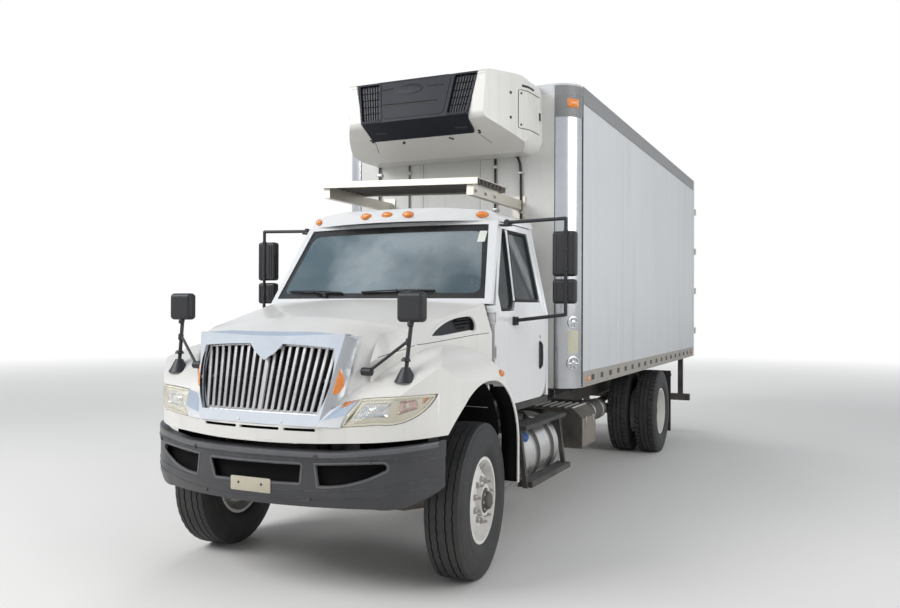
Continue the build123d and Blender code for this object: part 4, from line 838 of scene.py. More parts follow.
def mirror_glass(name):
    """Silvered glass with a few dusty spots."""
    material, tree, shader = start_material(name)
    film = effect(tree, "dust", amount=0.2, height=3.0, scale=9.0)["Mask"]
    feed(tree, shader, {
        "Base Color": mix_colour(tree, film, (0.72, 0.75, 0.78, 1), (0.4, 0.39, 0.36, 1)),
        "Roughness": times(tree, film, 0.5),
        "Metallic": 1.0,
    })
    return material


def rail_paint(name, colour):
    """Grey paint of the body's rails, brownish and dusty on the lower one."""
    material, tree, shader = start_material(name)
    base = effect(tree, "mottle", color=(*colour, 1), scale=1.2, amount=0.14)
    high = node(tree, "SeparateXYZ", {0: object_place(tree)}).outputs["Z"]
    low_rail = math_node(tree, "LESS_THAN", high, 2.0)
    tint = mix_colour(tree, low_rail, base["Color"], (0.33, 0.31, 0.28, 1))
    tint = mix_colour(tree, effect(tree, "streaks", scale=11.0, amount=0.35)["Mask"], tint, GRIME)
    dust = effect(tree, "dust", amount=0.35, height=2.0, scale=4.0)["Mask"]
    feed(tree, shader, {
        "Base Color": mix_colour(tree, dust, tint, DUST),
        "Roughness": plus(tree, times(tree, dust, 0.3), 0.42),
        "Normal": bump(tree, 0.3, 0.0004, effect(tree, "grain", scale=300.0)["Height"]),
    })
    return material


def body_panel(name, colour):
    """Chalky sheet of the body's walls: faint uprights, worn patches and runs."""
    material, tree, shader = start_material(name)
    base = effect(tree, "mottle", color=(*colour, 1), scale=0.9, amount=0.07)
    bands = node(tree, "Mapping", {"Vector": object_place(tree), "Scale": (2.6, 2.6, 0.12)}).outputs[0]
    chalk = noise(tree, bands, 2.2, 7.0, Roughness=0.7)
    patch = times(tree, ramp(tree, chalk, 0.52, 0.78), 0.5)
    tint = mix_colour(tree, patch, base["Color"], (0.82, 0.82, 0.81, 1))
    runs = effect(tree, "streaks", scale=7.0, amount=0.22, length=0.03)["Mask"]
    tint = mix_colour(tree, runs, tint, (0.30, 0.30, 0.29, 1))
    dust = effect(tree, "dust", amount=0.22, height=1.7, scale=2.0)["Mask"]
    feed(tree, shader, {
        "Base Color": mix_colour(tree, dust, tint, (0.48, 0.44, 0.38, 1)),
        "Roughness": plus(tree, times(tree, chalk, 0.35), 0.22),
        "Normal": bump(tree, 0.25, 0.001, effect(tree, "grain", scale=60.0, softness=0.9)["Height"]),
    })
    return material


def wire_screen(name):
    """A dark woven wire screen: crossed wires over black, which is painted shade behind the grille."""
    material, tree, shader = start_material(name)
    place = object_place(tree)
    over, under = (waves(tree, place, 42.0, axis, 0.2) for axis in "XZ")
    wires = math_node(tree, "MAXIMUM", over, under)
    wire = effect(tree, "mottle", color=(0.006, 0.007, 0.009, 1), scale=8.0, amount=0.3)["Color"]
    feed(tree, shader, {
        "Base Color": mix_colour(tree, ramp(tree, wires, 0.80, 0.95), (0.004, 0.004, 0.005, 1), wire),
        "Normal": bump(tree, 0.5, 0.001, wires),
        "Roughness": 0.6,
        "Specular IOR Level": 0.15,
    })
    return material


def dial_face(name):
    """A dark instrument face with pale speckles for its marks."""
    material, tree, shader = start_material(name)
    cells = node(tree, "TexVoronoi", {"Vector": object_place(tree), "Scale": 160.0}).outputs["Distance"]
    marks = ramp(tree, cells, 0.16, 0.08)
    base = effect(tree, "mottle", color=(0.02, 0.022, 0.025, 1), scale=30.0, amount=0.1)["Color"]
    feed(tree, shader, {
        "Base Color": mix_colour(tree, marks, base, (0.45, 0.45, 0.42, 1)),
        "Roughness": plus(tree, times(tree, marks, 0.2), 0.3),
    })
    return material


# Finish: the function that makes it, its colour or the name of a paint, and its other values
FINISH_TABLE = {
    "cab paint": (coated, "cab", dict(
        rough=0.24, mottle=0.03, dust=0.10, dust_height=1.6, coat=0.5, streaks=0.05, depth=0.01,
    )),
    "hood moulding": (coated, "hood", dict(
        rough=0.33, mottle=0.05, dust=0.12, dust_height=1.5, coat=0.25, streaks=0.06, depth=0.02,
    )),
    "unit shell": (coated, "unit", dict(
        rough=0.36, mottle=0.06, dust=0.16, dust_height=3.4, coat=0.15, streaks=0.16,
        streak_colour=(0.28, 0.26, 0.23, 1),
    )),
    "unit panel": (coated, (0.010, 0.012, 0.019), dict(
        rough=0.46, mottle=0.15, dust=0.04, dust_height=3.0, depth=0.05, dirt=(0.08, 0.08, 0.08, 1),
        gloss=0.25,
    )),
    "body panel": (body_panel, "body", dict()),
    "front wall": (coated, (0.70, 0.70, 0.68), dict(
        rough=0.4, mottle=0.05, dust=0.15, dust_height=1.6, streaks=0.24, streak_scale=9.0,
        streak_colour=(0.22, 0.21, 0.19, 1),
    )),
    "rail paint": (rail_paint, "rail", dict()),
    "frame paint": (coated, (0.75, 0.75, 0.73), dict(
        rough=0.42, mottle=0.08, dust=0.3, dust_height=1.6, streaks=0.3, edges=0.6,
    )),
    "bumper paint": (coated, "bumper", dict(
        rough=0.34, mottle=0.30, mottle_scale=4.0, dust=0.14, dust_height=1.0, dirt=(0.16, 0.15, 0.14, 1),
        streaks=0.10, streak_colour=(0.10, 0.09, 0.085, 1), edges=0.5, grain=250.0, depth=0.05,
    )),
    # Lighter grey of the opening rims, and of the pale top band, which is a painted highlight on the bumper's
    # top lip
    "bumper rim": (coated, (0.105, 0.108, 0.118), dict(
        rough=0.30, mottle=0.2, mottle_scale=6.0, dust=0.12, dust_height=1.0, grain=250.0, edges=0.3,
    )),
    "chassis paint": (coated, (0.020, 0.020, 0.022), dict(
        rough=0.6, mottle=0.2, dust=0.28, dust_height=1.4, dust_scale=5.0, edges=0.5,
        bare=(0.10, 0.06, 0.04, 1),
    )),
    "iron": (coated, (0.06, 0.055, 0.05), dict(
        rough=0.7, mottle=0.3, mottle_scale=6.0, dust=0.5, dust_height=1.4, edges=0.4,
        bare=(0.16, 0.09, 0.05, 1), grain=180.0, depth=0.1,
    )),
    "engine paint": (coated, (0.09, 0.09, 0.095), dict(rough=0.6, mottle=0.2, dust=0.4)),
    "black moulding": (coated, (0.013, 0.013, 0.015), dict(
        rough=0.45, mottle=0.2, dust=0.10, dust_height=2.4, grain=600.0, depth=0.06,
        dirt=(0.12, 0.12, 0.12, 1),
    )),
    "rubber": (coated, (0.012, 0.012, 0.013), dict(
        rough=0.62, mottle=0.2, dust=0.22, dust_height=2.0, grain=500.0, depth=0.05,
        dirt=(0.12, 0.11, 0.10, 1),
    )),
    "cabin moulding": (coated, (0.075, 0.077, 0.080), dict(
        rough=0.6, mottle=0.1, dust=0.15, grain=700.0, depth=0.08,
    )),
    "dash moulding": (coated, (0.045, 0.046, 0.048), dict(
        rough=0.65, mottle=0.1, dust=0.12, grain=700.0, depth=0.08,
    )),
    "wheel paint": (coated, (0.78, 0.77, 0.75), dict(
        rough=0.4, mottle=0.10, mottle_scale=6.0, dust=0.20, dust_height=1.2, dust_scale=8.0, streaks=0.12,
        edges=0.5, bare=(0.22, 0.13, 0.08, 1),
    )),
    "nut steel": (coated, (0.50, 0.49, 0.47), dict(
        rough=0.38, metal=0.6, mottle=0.2, mottle_scale=30.0, dust=0.3, edges=0.4, bare=(0.45, 0.44, 0.42, 1),
    )),
    "hub iron": (coated, (0.03, 0.03, 0.03), dict(
        rough=0.42, mottle=0.3, mottle_scale=10.0, dust=0.3, edges=0.3,
    )),
    "locker paint": (coated, (0.035, 0.034, 0.032), dict(
        rough=0.5, mottle=0.15, dust=0.45, dust_height=1.1, edges=0.4,
    )),
    "exhaust steel": (coated, (0.20, 0.17, 0.14), dict(
        rough=0.5, metal=0.7, mottle=0.3, mottle_scale=5.0, dust=0.3,
    )),
    "chrome": (polished, (0.90, 0.92, 0.95), dict(rough=0.04, smear=0.08)),
    "bar metal": (polished, (0.42, 0.41, 0.41), dict(rough=0.24, smear=0.20)),
    "post metal": (polished, (0.54, 0.55, 0.57), dict(rough=0.20, smear=0.15, brushed=0.2)),
    "tank metal": (polished, (0.62, 0.62, 0.62), dict(rough=0.22, smear=0.35, brushed=0.3)),
    "deck metal": (polished, (0.66, 0.63, 0.56), dict(rough=0.38, smear=0.3, brushed=0.4)),
    "floor metal": (polished, (0.55, 0.55, 0.55), dict(rough=0.35, smear=0.3, brushed=0.4)),
    "window glass": (glazed, (0.03, 0.045, 0.05), dict(alpha=0.30)),
    # The windscreen carries strong pale cloud banks, a painted reflection of the sky
    "windscreen": (glazed, (0.13, 0.20, 0.24), dict(alpha=0.38, painted_reflection=0.9)),
    "amber lens": (clear_lens, "amber", dict(alpha=0.92)),
    "red lens": (clear_lens, (0.55, 0.02, 0.02), dict(alpha=0.9)),
    "lamp lens": (clear_lens, (0.78, 0.76, 0.66), dict(alpha=0.16, ribs=120.0)),
    "lamp bowl": (polished, (0.72, 0.72, 0.72), dict(rough=0.12, smear=0.08)),
    "mirror glass": (mirror_glass, None, dict()),
    "tyre rubber": (tread_rubber, None, dict()),
    "seat cloth": (woven_cloth, (0.16, 0.17, 0.19), dict()),
    "plate blank": (coated, (0.50, 0.46, 0.36), dict(
        rough=0.5, mottle=0.12, mottle_scale=20.0, dust=0.2, edges=0.4,
    )),
    "sticker": (coated, (0.72, 0.74, 0.68), dict(rough=0.4, mottle=0.05, dust=0.0)),
    "blue plastic": (coated, (0.03, 0.12, 0.35), dict(rough=0.5, mottle=0.1, dust=0.3)),
    "steel": (coated, (0.42, 0.42, 0.41), dict(
        rough=0.35, metal=0.9, mottle=0.15, mottle_scale=10.0, dust=0.25, streaks=0.1,
    )),
    "lamp bezel": (coated, (0.66, 0.63, 0.52), dict(
        rough=0.35, mottle=0.12, mottle_scale=12.0, dust=0.10, dust_height=3.0, coat=0.3,
    )),
    "rose bowl": (polished, (0.66, 0.47, 0.42), dict(rough=0.16, smear=0.08)),
    "bulb glass": (clear_lens, (0.80, 0.78, 0.72), dict(alpha=0.75, ribs=30.0)),
    "lamp foot": (clear_lens, (0.55, 0.16, 0.02), dict(alpha=0.95)),
    "glass border": (coated, (0.012, 0.012, 0.014), dict(
        rough=0.18, mottle=0.1, dust=0.10, dust_height=3.0, grain=900.0, depth=0.01,
    )),
    "seam": (coated, (0.030, 0.029, 0.028), dict(rough=0.7, mottle=0.3, dust=0.1)),
    # Dark face of the rail slots: painted shade in their hollows
    "slot dark": (coated, (0.060, 0.055, 0.050), dict(rough=0.75, mottle=0.3, mottle_scale=9.0, dust=0.2)),
    # Near black of the arch liners and of the rail across the grille bars, also used as painted shade on the
    # arch lips and behind the bumper
    "liner": (coated, (0.005, 0.005, 0.006), dict(
        rough=0.8, mottle=0.3, mottle_scale=6.0, dust=0.04, dust_height=0.9, grain=200.0, depth=0.1,
        gloss=0.1,
    )),
    "insect screen": (wire_screen, None, dict()),
    "strap": (coated, (0.016, 0.016, 0.017), dict(rough=0.5, mottle=0.2, dust=0.25, edges=0.5)),
    "step metal": (coated, (0.055, 0.062, 0.066), dict(
        rough=0.5, metal=0.4, mottle=0.3, mottle_scale=8.0, dust=0.3, edges=0.6, bare=(0.22, 0.22, 0.21, 1),
    )),
    "rib metal": (polished, (0.62, 0.62, 0.60), dict(rough=0.3, smear=0.3, brushed=0.3)),
    "locker face": (coated, (0.17, 0.15, 0.125), dict(
        rough=0.55, mottle=0.25, mottle_scale=5.0, dust=0.45, dust_height=1.2, edges=0.5,
    )),
    # Dark grey of the ribs under the deck: painted shade under the aluminium deck
    "deck underside": (coated, (0.10, 0.095, 0.09), dict(
        rough=0.6, mottle=0.25, mottle_scale=6.0, dust=0.3, dust_height=3.0,
    )),
    "label blank": (coated, (0.56, 0.54, 0.42), dict(rough=0.5, mottle=0.08, mottle_scale=12.0, dust=0.1)),
    "dial": (dial_face, None, dict()),
    "wheel rim": (coated, (0.05, 0.052, 0.055), dict(
        rough=0.5, mottle=0.1, dust=0.1, grain=500.0, depth=0.05,
    )),
}


def finish(name):
    """A finish by its name, made when it is first asked for."""
    if name not in FINISHES:
        maker, colour, sizes = FINISH_TABLE[name]
        if isinstance(colour, str):
            colour = tuple(getattr(bpy.context.scene.truck_paint, colour))
        FINISHES[name] = maker(name, *([colour] if colour else []), **sizes)
    return FINISHES[name]


# CAD node and the finish that it takes
NODE_FINISH = {
    "frame_rails": "chassis paint", "front_axle": "iron", "rear_axle": "iron", "engine": "engine paint",
    "radiator": "chassis paint", "drive_line": "iron", "exhaust": "exhaust steel", "fuel_tank": "tank metal",
    "cab_steps": "chassis paint", "chassis_locker": "locker paint", "air_tank": "chassis paint",
    "mud_flaps": "rubber", "rear_guard": "chassis paint", "front_bumper": "bumper paint",
    "hood_shell": "hood moulding", "fender_panels": "hood moulding", "arch_lips": "hood moulding",
    "grille_surround": "chrome", "grille_bars": "bar metal",
    "hood_mirrors": "black moulding", "windshield": "windscreen", "cab_front_frame": "cab paint",
    "cab_firewall": "cab paint", "cab_floor": "chassis paint", "cab_back": "cab paint",
    "rear_window": "window glass", "cab_roof": "cab paint", "dashboard": "dash moulding",
    "box_floor": "floor metal", "box_front_wall": "front wall", "box_side_left": "body panel",
    "box_side_right": "body panel", "corner_posts": "post metal", "box_roof": "body panel",
    "box_rails": "rail paint", "rear_frame": "frame paint", "unit_housing": "unit shell",
    "unit_grille": "unit panel", "catwalk": "deck metal",
    "door_*": "cab paint", "door_glass_*": "window glass", "door_mirror_*": "black moulding",
    "rear_door_*": "frame paint", "knuckle_*": "iron", "wheel_front_*": "wheel paint",
    "wheels_rear_*": "wheel paint",
}


class TRUCK_OT_finishes(bpy.types.Operator):
    """Gives each CAD node its finish"""

    bl_idname = "truck.finishes"
    bl_label = "Finishes"

    def execute(self, context):
        for pattern, name in NODE_FINISH.items():
            for side in ("left", "right") if "*" in pattern else ("",):
                target = NODES[pattern.replace("*", side)]
                target.data.materials.clear()
                target.data.materials.append(finish(name))
        return {"FINISHED"}


# Tyres and wheels


TYRE_RADIUS = WHEEL_Z
TREAD_HALF = 0.112
GROOVE_DEPTH = 0.014
# Distance from the kingpin to a front wheel's middle, along the spindle
FRONT_OFFSET = 0.146
# Turn of a drive tyre's lugs for each metre across the tread
LUG_SLANT = 0.25
# Groove: middle across the tread, half-width
FRONT_GROOVES = [(-0.078, 0.0045), (-0.030, 0.0055), (0.030, 0.0055), (0.078, 0.0045)]
# Half of the tyre's section outside the tread: distance from its middle, radius
SIDEWALL = [
    (0.1125, 0.285), (0.1130, 0.299), (0.1240, 0.310), (0.1320, 0.335), (0.1385, 0.370), (0.1395, 0.405),
    (0.1372, 0.410), (0.1378, 0.414), (0.1360, 0.440), (0.1305, 0.474), (0.1240, 0.496), (0.1195, 0.500),
    (0.1200, 0.506), (0.1165, 0.518),
]


def tyre_section(grooves):
    """The tyre's section from bead to bead: distance, radius, and whether the point is in a groove."""
    tread = [(TREAD_HALF, 0.0045, False)]
    for middle, half in sorted(grooves, reverse=True):
        drop = 0.003 * (middle / TREAD_HALF) ** 2
        for x, depth in ((half, 0), (half * 0.7, 1), (-half * 0.7, 1), (-half, 0)):
            tread.append((middle + x, drop + depth * GROOVE_DEPTH, bool(depth)))
    tread.append((-TREAD_HALF, 0.0045, False))
    outer = [(x, r, False) for x, r in SIDEWALL]
    crown = [(x, TYRE_RADIUS - 0.0002 - d, g) for x, d, g in tread]
    inner = [(-x, r, False) for x, r in reversed(SIDEWALL)]
    lining = [(-0.095, 0.300), (-0.118, 0.40), (-0.090, 0.505), (0.090, 0.505), (0.118, 0.40), (0.095, 0.300)]
    return outer + crown + inner + [(x, r, False) for x, r in lining]


def ribbed_tyre(bm, matrix):
    """A steer tyre: zigzag grooves round ribs with small slits at their edges."""
    section = tyre_section(FRONT_GROOVES)
    rings = []
    for n, angle in enumerate(angles(180)):
        shift = 0.0022 if n % 4 < 2 else -0.0022
        ring = []
        for x, r, _ in section:
            zigzag = shift if abs(x) < 0.09 and r > TYRE_RADIUS - 0.02 else 0
            slit = 0.004 if n % 4 == 0 and r > TYRE_RADIUS - 0.008 and 0.09 < abs(x) else 0
            turned = Vector((x + zigzag, (r - slit) * math.cos(angle), (r - slit) * math.sin(angle)))
            ring.append(bm.verts.new(matrix @ turned))
        rings.append(ring)
    loft(bm, rings, 0, True, True)


def lugged_tyre(bm, matrix):
    """A drive tyre: two centre ribs, and lugs cut through to the shoulders."""
    section = tyre_section([(-0.052, 0.006), (0.0, 0.004), (0.052, 0.006)])
    lugs = 52
    # Place within one lug's pitch, share of the cross cut's depth
    pitch = [(0.0, 0), (0.66, 0), (0.70, 1), (0.96, 1)]
    rings = []
    for lug in range(lugs):
        for share, cut in pitch:
            angle = 2 * math.pi * (lug + share) / lugs
            ring = []
            for x, r, groove in section:
                tread = r > TYRE_RADIUS - 0.030
                reach = r - 0.012 if cut and tread and abs(x) > 0.05 and not groove else r
                slanted = x if tread and abs(x) < 0.12 else math.copysign(TREAD_HALF, x)
                turn = angle + LUG_SLANT * slanted
                ring.append(matrix @ Vector((x, reach * math.cos(turn), reach * math.sin(turn))))
            rings.append(row(bm, ring))
    loft(bm, rings, 0, True, True)


def front_matrix(side):
    """Stands at a front wheel's middle, with X along its spin axis."""
    reach = FRONT_OFFSET * side
    spin = Vector((math.cos(TOE), math.sin(TOE), 0))
    at = Vector((KINGPIN.x * side, KINGPIN.y, KINGPIN.z)) + spin * reach
    turn = Matrix.Rotation(TOE, 4, "Z")
    return Matrix.Translation(at) @ turn


REAR_OUTER = 1.086
TWIN_SPACING = 0.343


class TRUCK_OT_tyres(bpy.types.Operator):
    """Ribbed steer tyres in front and lugged twins behind"""

    bl_idname = "truck.tyres"
    bl_label = "Tyres"

    def execute(self, context):
        for side, sign in SIDES.items():
            body = f"front_wheel_{side[0]}"
            bm = bmesh.new()
            ribbed_tyre(bm, front_matrix(sign))
            piece = add_mesh(f"steer_tyre_{side}", bm, "tyre rubber", body, 0.5)
            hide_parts(f"tyre_front_{side}")
            bm = bmesh.new()
            for x in (REAR_OUTER, REAR_OUTER - TWIN_SPACING):
                lugged_tyre(bm, Matrix.Translation((sign * x, REAR_AXLE.y, WHEEL_Z)))
            body = f"rear_wheels_{side[0]}"
            piece = add_mesh(f"drive_tyres_{side}", bm, "tyre rubber", body, 0.5)
            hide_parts(f"tyres_rear_{side}")
        return {"FINISHED"}


# Hub: place of the nuts out along the axle, hub cap's radius and place, length of the studs
FRONT_HUB = (0.096, 0.078, 0.131, 0.052)
REAR_HUB = (-0.150, 0.095, 0.022, 0.055)


def wheel_hardware(bm, matrix, sign, face, cap_radius, cap_out, stud):
    """Nuts on their studs, a hub cap with its screws, and a valve, on one wheel."""
    sizes = bpy.context.scene.truck_sizes
    out = (matrix.to_3x3() @ Vector((sign, 0, 0))).normalized()

    def on_circle(reach, radius, angle):
        return matrix @ Vector((sign * reach, radius * math.cos(angle), radius * math.sin(angle)))

    for angle in angles(sizes.nuts, 0.5):
        at = on_circle(face, sizes.nut_circle, angle)
        hexagon(bm, at, out, sizes.nut, 0.024)
        rod(bm, at, at + out * stud, 0.010, 10)
    cap = [
        (cap_radius, -0.030), (cap_radius, 0.0), (cap_radius * 0.94, 0.006), (cap_radius * 0.80, 0.008),
        (cap_radius * 0.74, 0.030), (cap_radius * 0.62, 0.038), (0, 0.040),
    ]
    turned(bm, cap, matrix @ Vector((sign * cap_out, 0, 0)), out, 36, 1)
    for angle in angles(8):
        hexagon(bm, on_circle(cap_out + 0.007, cap_radius * 0.87, angle), out, 0.007, 0.008)
    valve = matrix @ Vector((sign * face, 0.0, 0.215))
    rod(bm, valve, valve + out * 0.035 + Vector((0, 0, 0.03)), 0.005, 8)


class TRUCK_OT_wheel_hardware(bpy.types.Operator):
    """Nuts, studs, hub caps and valves on the wheels"""

    bl_idname = "truck.wheel_hardware"
    bl_label = "Wheel hardware"

    def execute(self, context):
        finishes = ["nut steel", "hub iron"]
        for side, sign in SIDES.items():
            bm = bmesh.new()
            wheel_hardware(bm, front_matrix(sign), sign, *FRONT_HUB)
            add_mesh(f"steer_nuts_{side}", bm, finishes, f"front_wheel_{side[0]}")
            bm = bmesh.new()
            matrix = Matrix.Translation((sign * REAR_OUTER, REAR_AXLE.y, WHEEL_Z))
            wheel_hardware(bm, matrix, sign, *REAR_HUB)
            add_mesh(f"drive_nuts_{side}", bm, finishes, f"rear_wheels_{side[0]}")
        return {"FINISHED"}


# Lamps


LAMP = [
    (0.602, 1.112), (0.684, 1.282), *arc((0.684, 1.282), (0.900, 1.303), (1.108, 1.314), 10),
    *arc((1.108, 1.314), (1.040, 1.195), (0.840, 1.133), 10),
]
# Cells behind the lens: outline, finish of the bowl, depth
LAMP_CELLS = [
    ([(0.672, 1.163), (0.722, 1.262), (0.909, 1.277), (0.884, 1.178)], 1, 0.026),
    ([(0.922, 1.183), (0.936, 1.279), (1.028, 1.285), (1.034, 1.226)], 2, 0.022),
    ([(1.044, 1.238), (1.040, 1.290), (1.088, 1.300)], 3, 0.012),
]


BULB = [(0.016, 0.002), (0.014, 0.006), (0.008, 0.008), (0.0078, 0.018), (0.005, 0.022), (0, 0.023)]


class TRUCK_OT_headlamps(bpy.types.Operator):
    """Headlamps with a bezel, reflector bowls, bulbs and an aged clear lens"""

    bl_idname = "truck.headlamps"
    bl_label = "Headlamps"

    def execute(self, context):
        bowls = ["lamp bezel", "lamp bowl", "rose bowl", "amber lens", "bulb glass"]
        inside, lens = bmesh.new(), bmesh.new()
        edge = before(drawn_in(LAMP, 0.005))
        holes = [softened(drawn_in(outline, 0.003), 0.014) for outline, _, _ in LAMP_CELLS]
        pierced(inside, "headlamps", [edge, *[before(hole) for hole in holes]], REARWARD, -0.008, 0.035)
        for hole, (_, bowl, depth) in zip(holes, LAMP_CELLS):
            draped(inside, "headlamps", before(hole), REARWARD, -0.012, -depth, 6, bowl, 0.020)
            if bowls[bowl] != "amber lens":
                centre = sum(before(hole), Vector()) / len(hole)
                place, normal = fall("headlamps", centre, REARWARD)
                turned(inside, BULB, place - normal * (depth + 0.012), normal, 20, 4)
        path = laid("headlamps", before(drawn_in(LAMP, 0.009)), REARWARD, 0.02, True)
        bead(inside, path, 0.0075, 0.0035, 0, True, 0.012)
        draped(lens, "headlamps", edge, REARWARD, 0.0005, 0.004, 5, 0, 0.02)
        mirrored(inside)
        mirrored(lens)
        body = add_mesh("headlamp_bodies", inside, bowls, "hood", 0.7)
        add_mesh("headlamp_lenses", lens, "lamp lens", "hood", 0.7)
        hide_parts("headlamps")
        return {"FINISHED"}


# Amber lamps on the grille's cheek and on the corner cap, as pixels of the photograph
CHEEK_LAMP = [
    (340.3, 368.5), (342.8, 373), (344.8, 380), (344.2, 386), (340, 392.5), (335.5, 395), (332.6, 393.5),
    (334.2, 386), (337, 377),
]
CAP_LAMP = (573.2, 103.1)
# Roof lamp: place across, height
ROOF_LAMPS = [(-0.775, 2.592), (-0.196, 2.602), (0, 2.606), (0.196, 2.602), (0.775, 2.592)]


def oval(across, along, steps=28):
    """Points of an oval."""
    return [(across * math.cos(angle), along * math.sin(angle)) for angle in angles(steps)]


def oval_lamp(bm, node, at, direction, wide, high, crown, base=1, lens=0):
    """An oval lens on a thin foot that lies on a CAD node."""
    direction = Vector(direction).normalized()
    side = direction.cross(Vector((0, 0, 1))).normalized()
    rise = side.cross(direction)
    start = Vector(at) - direction * 0.15
    for grow, lift, top, slot in ((1.12, 0.003, 0.002, base), (1.0, 0.005, crown, lens)):
        outline = [start + side * x + rise * y for x, y in oval(wide * grow, high * grow)]
        draped(bm, node, outline, direction, lift, top, 6, slot, 0.002)


class TRUCK_OT_marker_lamps(bpy.types.Operator):
    """Amber lamps on the roof, fenders, cheeks and corner caps, and red ones at the rear"""

    bl_idname = "truck.marker_lamps"
    bl_label = "Marker lamps"

    def execute(self, context):
        lens = ["amber lens", "lamp foot", "red lens", "black moulding"]
        bm = bmesh.new()
        for point in before(ROOF_LAMPS):
            place, normal = fall("cab_roof", point, REARWARD)
            oval_lamp(bm, "cab_roof", place, -normal, 0.046, 0.024, 0.020)
        add_mesh("roof_lamps", bm, lens, "chassis", 0.9)
        bm = bmesh.new()
        away = Vector((-0.75, 0.66, 0))
        outline = [seen("grille_surround", *pixel)[0] - away * 0.1 for pixel in CHEEK_LAMP]
        draped(bm, "grille_surround", outline, away, 0.002, 0.014, 6, 0)
        mirrored(bm)
        add_mesh("cheek_lamps", bm, lens, "hood", 0.9)
        bm = bmesh.new()
        oval_lamp(bm, "hood_shell", spot(1.175, 0.27, 1.385), (-1, 0, 0), 0.034, 0.022, 0.014)
        mirrored(bm)
        add_mesh("fender_lamps", bm, lens, "hood", 0.9)
        bm = bmesh.new()
        place, out = seen("corner_posts", *CAP_LAMP)
        across = Vector((-out.y, out.x, 0)).normalized()
        start = [place + out * 0.3 + across * x + Vector((0, 0, z)) for x, z in rounded(0.058, 0.042, 0.010)]
        draped(bm, "corner_posts", start, -out, 0.006, 0.016, 6, 0)
        mirrored(bm)
        add_mesh("cap_lamps", bm, lens, "chassis", 0.9)
        bm = bmesh.new()

        def rear_lamp(x, z, wide, high, lift, crown, kind):
            outline = before([(x + a, z + c) for a, c in oval(wide, high)], BOX_REAR_Y + 0.3)
            draped(bm, "rear_frame", outline, AHEAD, lift, crown, 6, kind)

        for x in (-0.35, 0, 0.35):
            rear_lamp(x, 3.74, 0.055, 0.026, 0.004, 0.014, 2)
        for side in SIDES.values():
            for x, kind in ((0.52, 2), (0.66, 2), (0.80, 0)):
                rear_lamp(side * x, 1.235, 0.056, 0.056, 0.006, 0.016, 3)
                rear_lamp(side * x, 1.235, 0.050, 0.050, 0.010, 0.018, kind)
            for y, kind in ((2.32, 0), (8.02, 2)):
                outline = beside([(y + a, 1.20 + c) for a, c in oval(0.045, 0.024)], side, 1.5)
                draped(bm, "box_rails", outline, (-side, 0, 0), 0.003, 0.012, 6, kind)
        add_mesh("rear_lamps", bm, lens, "chassis", 0.9)
        return {"FINISHED"}


# Glass and its rubber


GLASS_EDGE = [(-0.9470, 1.9215), (0.9470, 1.9215), (0.8290, 2.5125), (-0.8290, 2.5125)]
# Left door: quarter light and drop glass, distance behind the axle and height
QUARTER_LIGHT = [(0.64, 1.836), (0.862, 1.84), (0.93, 1.9), (1.062, 2.478), (0.996, 2.478), (0.64, 1.962)]
DROP_GLASS = [(0.985, 1.912), (1.543, 1.912), (1.543, 2.478), (1.120, 2.478)]


# Divider between the door's two lights, and the cab's rear window across and above
DIVIDER = [(0.935, 1.906), (0.980, 1.906), (1.116, 2.484), (1.066, 2.484)]
REAR_LIGHT = [(-0.41, 1.96), (0.41, 1.96), (0.41, 2.34), (-0.41, 2.34)]
# Blank sticker on the windshield, as a pixel of the photograph
STICKER = (482.3, 236.3)


class TRUCK_OT_glass_trim(bpy.types.Operator):
    """Dark borders, rubber seals, the door's window divider, and a blank sticker"""

    bl_idname = "truck.glass_trim"
    bl_label = "Glass trim"

    def execute(self, context):
        gasket = context.scene.truck_sizes.gasket
        finishes = ["glass border", "rubber", "cab paint", "sticker"]
        bm = bmesh.new()
        edge = before(flat_evenly(softened(GLASS_EDGE, 0.05), 0.05))
        low, high = GLASS_EDGE[0][1], GLASS_EDGE[2][1]
        clear = [(-0.905, low + 0.040), (0.905, low + 0.040), (0.792, high - 0.052), (-0.792, high - 0.052)]
        clear = before(flat_evenly(softened(clear, 0.07), 0.05))
        pierced(bm, "windshield", [edge, clear], REARWARD, 0.0012, 0.004, 0)
        bead(bm, laid("windshield", edge, REARWARD, 0.03, True), gasket, 0.007, 1, True)
        place, _ = seen("windshield", *STICKER)
        square = [place + Vector((x, -0.2, z)) for x, z in rounded(0.030, 0.045, 0.004)]
        draped(bm, "windshield", square, REARWARD, 0.0016, 0.0004, 4, 3)
        add_mesh("windshield_trim", bm, finishes, "chassis", 0.5)
        for side, sign in SIDES.items():
            bm = bmesh.new()
            inward = (-sign, 0, 0)
            glass = f"door_glass_{side}"
            draped(bm, glass, beside(DIVIDER, sign), inward, 0.016, 0.002, 3, 2, 0.0)
            for outline in (QUARTER_LIGHT, DROP_GLASS):
                ring = beside(softened(outline, 0.045), sign)
                bead(bm, laid(glass, ring, inward, 0.03, True), 0.013, 0.020, 1, True)
            add_mesh(f"door_glass_trim_{side}", bm, finishes, f"door_{side[0]}")
        bm = bmesh.new()
        back = before(softened(REAR_LIGHT, 0.05), FRONT_Y + 2.2)
        bead(bm, laid("rear_window", back, AHEAD, 0.03, True), 0.014, 0.012, 1, True)
        add_mesh("rear_window_seal", bm, finishes, "chassis")
        return {"FINISHED"}


